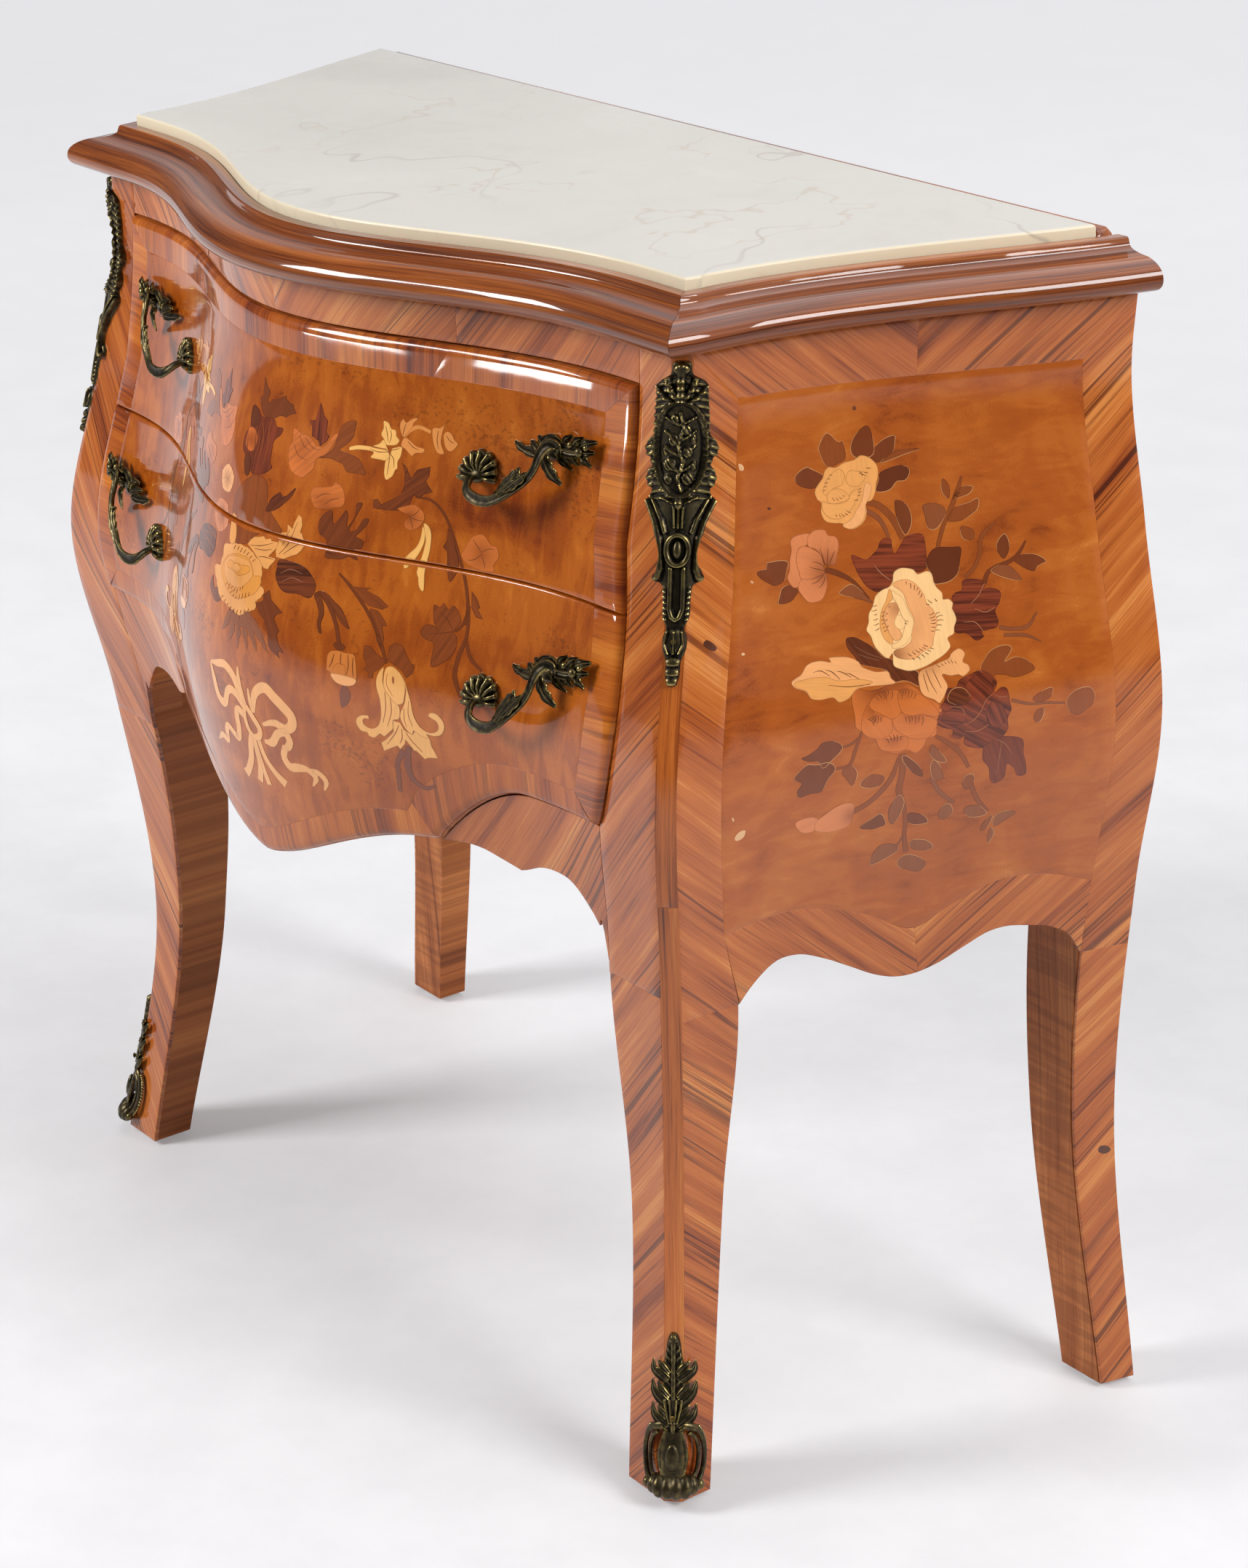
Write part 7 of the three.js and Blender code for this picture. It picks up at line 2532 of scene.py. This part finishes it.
    # Lily
    for outline, way in (
        ([(82, 643), (82, 645), (88, 647), (96, 647.5), (101, 647), (105, 647), (109.5, 646.5), (112, 643),
          (109.5, 640.5), (105, 640.5), (98.5, 641), (100, 644.5), (90, 644.5)], 0),
        ([(99, 648), (103, 650), (106, 653), (108, 650), (110, 647), (112, 643.5), (109, 647), (104, 647.5)],
         30),
        ([(104, 664), (108, 663), (110, 660), (113.5, 659.5), (114.5, 656), (117, 654), (115.5, 651),
          (112, 650), (108, 650), (106, 653), (103.5, 655.5), (104.5, 660)], 60),
        ([(112, 644.5), (112.5, 648), (116, 649.5), (119.5, 650), (119.5, 644.5), (118, 641), (118.5, 637),
          (117, 635.5), (116, 632), (112, 629), (110, 632), (109.5, 636), (109.5, 640.5)], 100),
    ):
        piece(pale, 1, outline, 0.0, way)
    lines(2, [
        [(106, 661), (108, 656), (109, 652)], [(110, 659), (111, 655), (110, 651)],
        [(112, 645), (115, 642), (116, 637)], [(112, 644), (112, 638), (112, 632)],
        [(111, 646), (104, 645), (97, 646)], [(112, 647), (115, 648), (118, 649)],
    ])
    spray = (230, 148, 76)
    piece(spray, 1, [
        (116, 661), (116, 665), (118, 667), (120, 665), (124, 668), (128, 668.5), (125, 665), (125, 663),
        (123, 660), (119.5, 656), (117, 659),
    ], 0.0, 60)
    band(spray, 0, [(120, 656.5), (124.5, 661.5), (130, 663.5), (138, 661.5)], [1.5, 2.6, 2.6, 2.2])
    piece(spray, 1, [
        (120, 656), (124, 655), (129, 652), (135, 651), (134.5, 648.5), (129, 647.5), (127, 645.5),
        (122, 649), (118.5, 651),
    ], 0.0, 150)
    piece(spray, 1, [
        (139, 664), (144, 665), (147, 667), (146, 662), (146, 656), (149, 650), (144, 650), (140, 657),
    ], 0.0, 80)
    piece(spray, 1, [
        (147, 661), (149.5, 663.5), (153, 662), (155, 659), (158, 657), (154, 652), (149.5, 653.5),
    ], 0.0, 120)
    lines(2, [
        [(120, 664), (119, 660), (119, 657)], [(123, 654), (127, 651), (131, 650)],
        [(143, 663), (143, 657), (145, 652)], [(149, 661), (152, 658), (155, 657)],
    ])
    # Pale curved leaves across the seam
    piece(pale, 2, [
        (141.5, 604.5), (143.5, 602.5), (144, 597), (143, 592), (140, 585.5), (134.5, 578), (132.5, 577.5),
        (132, 583), (134.5, 587), (139, 592), (141, 598),
    ], 0.0, 60)
    piece(pale, 3, [
        (142, 606.5), (145.5, 605.5), (148, 601), (148.5, 592), (147.5, 583.5), (147, 577), (148, 566),
        (144.5, 568), (143, 573.5), (141.5, 576.5), (142.5, 582), (144, 590), (144.5, 597),
    ], 0.0, 85)
    # Lower drawer
    piece(DARK, 0, [
        (38, 563), (39, 568), (49, 569), (62, 567), (71, 560), (72, 554), (68, 549), (59, 550), (49, 549),
        (43, 551), (38, 557),
    ], 1.0, 10)
    lines(1, [[(42, 560), (50, 564), (60, 563)], [(44, 555), (52, 559), (62, 558)]], (150, 90, 60), 0.6)
    band(LEAF, 1, [
        (72, 551.5), (77, 553), (83, 549), (88, 542), (92, 534), (95, 524),
    ], [2, 4, 3.6, 3, 2.8, 3])
    piece(LEAF, 1, [
        (72, 552), (76, 555), (82, 554), (88, 550), (93, 547), (97, 542), (101, 535), (96, 537), (92, 540),
        (88, 545), (82, 550),
    ], 0.4, 140)
    piece(LEAF, 2, [
        (72, 551), (78, 550), (81, 542), (79.5, 535), (81, 529), (79, 529), (77, 535), (77, 542), (74, 548),
    ], 0.4, 90)
    piece(LEAF, 1, [(91, 525), (98, 525), (99, 522), (95, 521), (92, 522)])
    piece(AMBER, 1, [
        (87, 509), (87, 516), (89.5, 519.5), (95, 520.5), (100, 520), (106, 520), (108, 516), (109.5, 506),
        (108.5, 501), (105, 499.5), (100, 499), (94, 500.5), (91, 503), (90, 506), (87, 507),
    ], 0.0, 90)
    piece(AMBER, 2, [(92, 508), (94, 512), (98, 512.5), (101, 511.5), (101, 505.5), (96, 505), (92, 506.5)])
    piece(PEACH, 3, [(90.5, 505), (98, 505.7), (109, 504.5), (107.5, 500.5), (101, 499), (94, 500.5)], 0.0, 0)
    lines(4, [
        [(92, 518), (91, 513), (89, 509)], [(97, 519), (97, 514), (98, 512)],
        [(102, 519), (103, 512), (102, 506)], [(106, 518), (106, 512), (107, 506)],
    ])
    band(vine, 0, [
        (88, 568), (98, 561), (108, 552), (116, 543), (122, 534), (126, 526), (129.5, 518),
    ], [1.4, 2.4, 2.4, 2.4, 2.6, 2.6, 2])
    piece(shadow, 0, [
        (98, 561.5), (104, 561.5), (112, 562.5), (109, 560.5), (118, 558), (126, 553), (122, 550.5),
        (112, 551.5), (106, 555),
    ], 0.2, 150, rounded=False)
    piece(shadow, 0, [
        (113, 550), (119, 549.5), (124, 545), (127, 541), (123.5, 540.5), (126, 533), (124.5, 526),
        (121, 531), (119, 538), (115, 545),
    ], 0.2, 120, rounded=False)
    piece(shadow, 0, [
        (113, 527), (117, 527), (122, 523), (130, 519.5), (126, 515), (121, 511), (121, 507), (117, 507.5),
        (118, 510), (114, 512), (116, 515), (113, 519.5),
    ], 0.2, 40, rounded=False)
    piece(shadow, 0, [
        (129.5, 520), (130.5, 529), (134, 532), (139, 531), (144, 524), (147, 520.5), (149, 520.5),
        (148.5, 515), (144, 511), (141, 515), (136, 517.5),
    ], 0.2, 60, rounded=False)
    piece(shadow, 0, [
        (162, 521), (160, 523), (160.5, 531), (160, 536), (155, 537), (150, 540.5), (153, 546), (159, 546.5),
        (161, 545), (158, 549), (157, 554), (156.5, 559), (161, 558), (163, 561), (167, 557.5), (170, 560.5),
        (175, 556.5), (177, 551), (173, 544.5), (176, 542), (176, 534), (171, 527),
    ], 0.3, 60)
    lines(1, [
        [(173, 545), (166, 543), (157, 541)], [(172, 546), (168, 551), (162, 555)],
        [(173, 543), (168, 535), (163, 526)],
    ], (104, 50, 20))
    band(vine, 0, [(174, 545), (178, 549), (180.5, 556), (181, 562)], [1.4, 2, 2.2, 2.4])
    band(vine, 0, [(181, 560), (182.5, 550), (182.5, 540)], [2.2, 2.4, 2.4])
    band(vine, 0, [(182.5, 542), (179, 530), (178, 518), (184, 506)], [2.4, 3, 3.4, 3])
    band(vine, 0, [(182.5, 541), (188, 531), (197, 525)], [2.4, 2.6, 2])
    piece(shadow, 0, [
        (181, 571), (186, 567), (189, 562), (187.5, 561), (192.5, 555.5), (187, 556), (183, 561),
    ], 0.2, 130, rounded=False)
    # Bell flower
    bell = (242, 176, 102)
    edge = (176, 104, 58)
    piece(bell, 1, [
        (136, 482.5), (141, 482), (144, 477.5), (149.5, 475.5), (151.5, 478.5), (162, 475), (163, 470),
        (165, 467), (167, 463), (160, 462), (157, 460.5), (151.5, 465), (150, 465), (144.5, 471),
        (143.5, 468), (140, 464), (138, 466), (128, 460.5), (126.5, 466), (130.5, 469), (136, 475),
    ], 0.0, 90, rounded=False)
    piece(bell, 2, [
        (128, 515.5), (125, 512), (123.5, 507), (124, 501.5), (126.5, 495), (127.5, 487), (127, 481.5),
        (125, 477), (121, 474.5), (117, 475), (114.5, 477), (115, 480), (119, 480.5), (118.5, 482.5),
        (113.5, 482), (110, 479.5), (109.5, 475.5), (112.5, 471.5), (117, 471), (118, 469), (122, 468.5),
        (126.5, 472), (129, 470.5), (133.5, 474.5), (136, 477.5), (136, 482.5), (140, 484), (141, 487),
        (140, 493), (132.5, 498.5), (128.5, 505), (128, 511),
    ], 0.0, 80)
    piece(bell, 3, [
        (138.5, 515), (143, 510), (145.5, 504.5), (148.5, 497), (150.5, 489), (154.5, 482.5), (160, 479.5),
        (165.5, 480), (168.5, 483), (167.5, 487), (163, 489), (161, 490), (162, 492), (166.5, 492.5),
        (171.5, 489), (173, 484.5), (170.5, 479.5), (165.5, 477.5), (160, 477.5), (162, 475), (156, 475.5),
        (150.5, 478.5), (149.5, 475.5), (145, 478.5), (141.5, 484.5), (141.5, 489), (144, 495),
        (144.5, 504.5), (141, 511),
    ], 0.0, 100)
    piece(bell, 4, [
        (133.5, 517), (138, 515), (142, 511), (144, 506), (144, 499.5), (143, 495), (139, 493.5),
        (134.5, 496.5), (129.5, 502.5), (128.5, 508), (129.5, 515),
    ], 0.0, 95)
    piece(edge, 5, [(134.8, 511), (136, 510), (136, 506), (134.6, 508)])
    lines(5, [
        [(130, 500), (131, 490), (129, 480)], [(134, 497), (135, 488), (132, 478)],
        [(147, 497), (147, 488), (150, 481)], [(144, 492), (144, 485), (146, 480)],
        [(140, 480), (137, 474), (131, 466)], [(145, 476), (149, 471), (156, 465)],
        [(142, 478), (142, 472), (140, 468)], [(131, 512), (131, 505), (136, 498)],
    ], edge)
    faint = (128, 66, 40)
    band(faint, 0, [(142, 463), (137, 455), (136, 445), (135, 434)], [4, 3.4, 3.4, 3])
    band(faint, 0, [(146, 467), (144, 455), (146, 445), (154, 440), (162, 443)], [4, 5, 4, 3, 2])
    work.leaf(faint, 0, (side * 101, 500), (side * 99, 484), 8, 0.1, 0)


# The marquetry runs over both drawers, and each one's share ends short of the seam between them
for drawer, low, high in (("upper", UPPER_LOW + 0.7, 1e6), ("lower", -1e6, LOWER_HIGH - 1.8)):
    work = Inlay(on_drawer, low, high)
    front_centre(work)
    front_spray(work, 1)
    front_spray(work, -1)
    make(drawer + "_marquetry", work.shells, inlay_veneer, drawer + "_drawer")


# Materials of the carried-over parts
BOX_PARTS = ("side", "back", "bottom")
MOUNT_WORDS = ("pin", "pull", "mount", "sabot")


def carried_material(name):
    """What a part of the frame is made of, from its name."""
    first, second = name.split("_")[:2]
    if first == "glide":
        return nylon
    if "screw" in name:
        return steel
    if any(word in name for word in MOUNT_WORDS):
        return dull_bronze
    if first in ("upper", "lower") and second in BOX_PARTS:
        return box_timber
    return carcass_timber


for name, node in frame["nodes"].items():
    for slot in node.material_slots:
        slot.material = carried_material(name)


# Camera, at the photograph's place
CAMERA_PLACE = (2.0489, -1.3365, 1.3298)
CAMERA_YAW = 54.882
CAMERA_PITCH = 21.828
CAMERA_ROLL = 2.484
PHOTO_LONG_SIDE = 2156
FOCAL_PIXELS = 5278.6


def camera():
    """The camera of the photograph: yaw is counted from straight ahead, pitch downward."""
    yaw, pitch, roll = (math.radians(angle) for angle in (CAMERA_YAW, CAMERA_PITCH, CAMERA_ROLL))
    forward = Vector((-math.sin(yaw) * math.cos(pitch), math.cos(yaw) * math.cos(pitch), -math.sin(pitch)))
    level_right = Vector((math.cos(yaw), math.sin(yaw), 0))
    level_down = forward.cross(level_right)
    right = level_right * math.cos(roll) + level_down * math.sin(roll)
    up = level_right * math.sin(roll) - level_down * math.cos(roll)
    data = bpy.data.cameras.new("camera")
    data.sensor_width = 36
    data.lens = data.sensor_width * FOCAL_PIXELS / PHOTO_LONG_SIDE
    data.clip_start = 0.05
    data.clip_end = 60
    eye = bpy.data.objects.new("camera", data)
    bpy.context.scene.collection.objects.link(eye)
    rows = [(right[i], up[i], -forward[i], CAMERA_PLACE[i]) for i in range(3)]
    eye.matrix_world = Matrix((*rows, (0, 0, 0, 1)))
    bpy.context.scene.camera = eye


camera()


# Floor, world and lamps

STUDIO_WHITE = srgb(252, 251, 254)
FLOOR_HALF_SIZE = 14
BEHIND_GLOW = 0.75
SKY_GLOW = 0.82
ROOM_GLOW = 0.1
FILL_X = 3.0
FILL_Y = 0.7


def floor():
    """A pale floor; its own glow evens out the background and leaves the light on the object alone.

    Mirrored rays see the glow only near the object, and the camera sees less of it under the fill lamp."""
    graph = Graph("pale_floor")
    place = graph.place()
    scuffs = graph.noise(place, 9.0, 5.0, 0.65)
    colour = graph.ramp(scuffs, shades((0.3, 202, 202, 204), (0.7, 209, 209, 211)))
    shader = graph.node("ShaderNodeBsdfPrincipled", {"Base Color": colour, "Roughness": 0.6})
    path = graph.node("ShaderNodeLightPath").outputs
    x, y, _ = graph.split(place)
    near = graph.product(graph.level(x, 0.9, 1.5, 1.0, 0.0), graph.level(y, -4.5, -3.7, 0.0, 1.0))
    mirrored = graph.product(path["Is Glossy Ray"], near)
    beside = graph.node("ShaderNodeVectorMath", {0: place, 1: (FILL_X, FILL_Y, 0.0)}, operation="DISTANCE")
    weaker = graph.level(beside.outputs["Value"], 0.6, 2.6, 0.1, 1.0)
    seen = graph.math("MAXIMUM", graph.product(path["Is Camera Ray"], weaker), mirrored)
    seen = graph.math("MAXIMUM", seen, path["Is Transmission Ray"])
    far = graph.node("ShaderNodeVectorMath", {0: place}, operation="LENGTH").outputs["Value"]
    farthest = graph.level(far, 3.2, 8.0, 0.0, 0.19)
    bright = graph.math("ADD", graph.level(far, 0.6, 3.2, 0.235, 0.555), farthest)
    glow = graph.node("ShaderNodeEmission", {"Color": STUDIO_WHITE, "Strength": graph.product(seen, bright)})
    lit = graph.node("ShaderNodeAddShader", {0: shader.outputs[0], 1: glow.outputs[0]})
    graph.node("ShaderNodeOutputMaterial", {"Surface": lit.outputs[0]})
    mesh = bpy.data.meshes.new("floor")
    corners = [(x * FLOOR_HALF_SIZE, y * FLOOR_HALF_SIZE, 0) for x, y in ((-1, -1), (1, -1), (1, 1), (-1, 1))]
    mesh.from_pydata(corners, [], [(0, 1, 2, 3)])
    mesh.materials.append(graph.material)
    ground = bpy.data.objects.new("floor", mesh)
    bpy.context.scene.collection.objects.link(ground)


def world():
    """Pale where it is seen; mirrored, it is pale behind the object and dark in the room before it."""
    graph = Graph("studio", "worlds")
    way = graph.split(graph.node("ShaderNodeTexCoord").outputs["Generated"])
    behind = graph.level(way[1], 0.1, 0.6, 0.0, BEHIND_GLOW)
    path = graph.node("ShaderNodeLightPath").outputs
    mirrored = graph.math("MAXIMUM", path["Is Glossy Ray"], path["Is Transmission Ray"])
    sky = graph.product(path["Is Camera Ray"], SKY_GLOW)
    seen = graph.math("MAXIMUM", sky, graph.product(mirrored, behind))
    glow = graph.math("MAXIMUM", seen, ROOM_GLOW)
    background = graph.node("ShaderNodeBackground", {"Color": STUDIO_WHITE, "Strength": glow})
    graph.node("ShaderNodeOutputWorld", {"Surface": background.outputs[0]})
    bpy.context.scene.world = graph.material


def lamp(name, place, target, size, power):
    """A soft rectangular lamp that points at a target."""
    data = bpy.data.lights.new(name, "AREA")
    data.shape = "RECTANGLE"
    data.size, data.size_y = size
    data.energy = power
    light = bpy.data.objects.new(name, data)
    bpy.context.scene.collection.objects.link(light)
    light.location = place
    light.rotation_euler = (Vector(target) - Vector(place)).to_track_quat("-Z", "Y").to_euler()
    return light


floor()
world()
lamp("key", (-1.25, -2.3, 2.0), (0, 0, 0.5), (1.0, 1.25), 80)
lamp("fill", (FILL_X, FILL_Y, 2.2), (0, 0, 0.4), (1.4, 1.4), 86)
lamp("overhead", (0.3, 0.9, 3.4), (0.3, 0.9, 0), (4.0, 3.0), 56)
# Small highlights along the upper drawer's top edge
glint = lamp("glint", (-0.90, -1.93, 0.38), (0.2, -0.2, 0.7), (0.9, 0.15), 10)
glint.visible_diffuse = False
glinting = bpy.data.collections.new("glinting")
glinting.objects.link(bpy.data.objects["upper_band_veneer"])
glint.light_linking.receiver_collection = glinting

scene = bpy.context.scene
scene.view_settings.view_transform = "Standard"
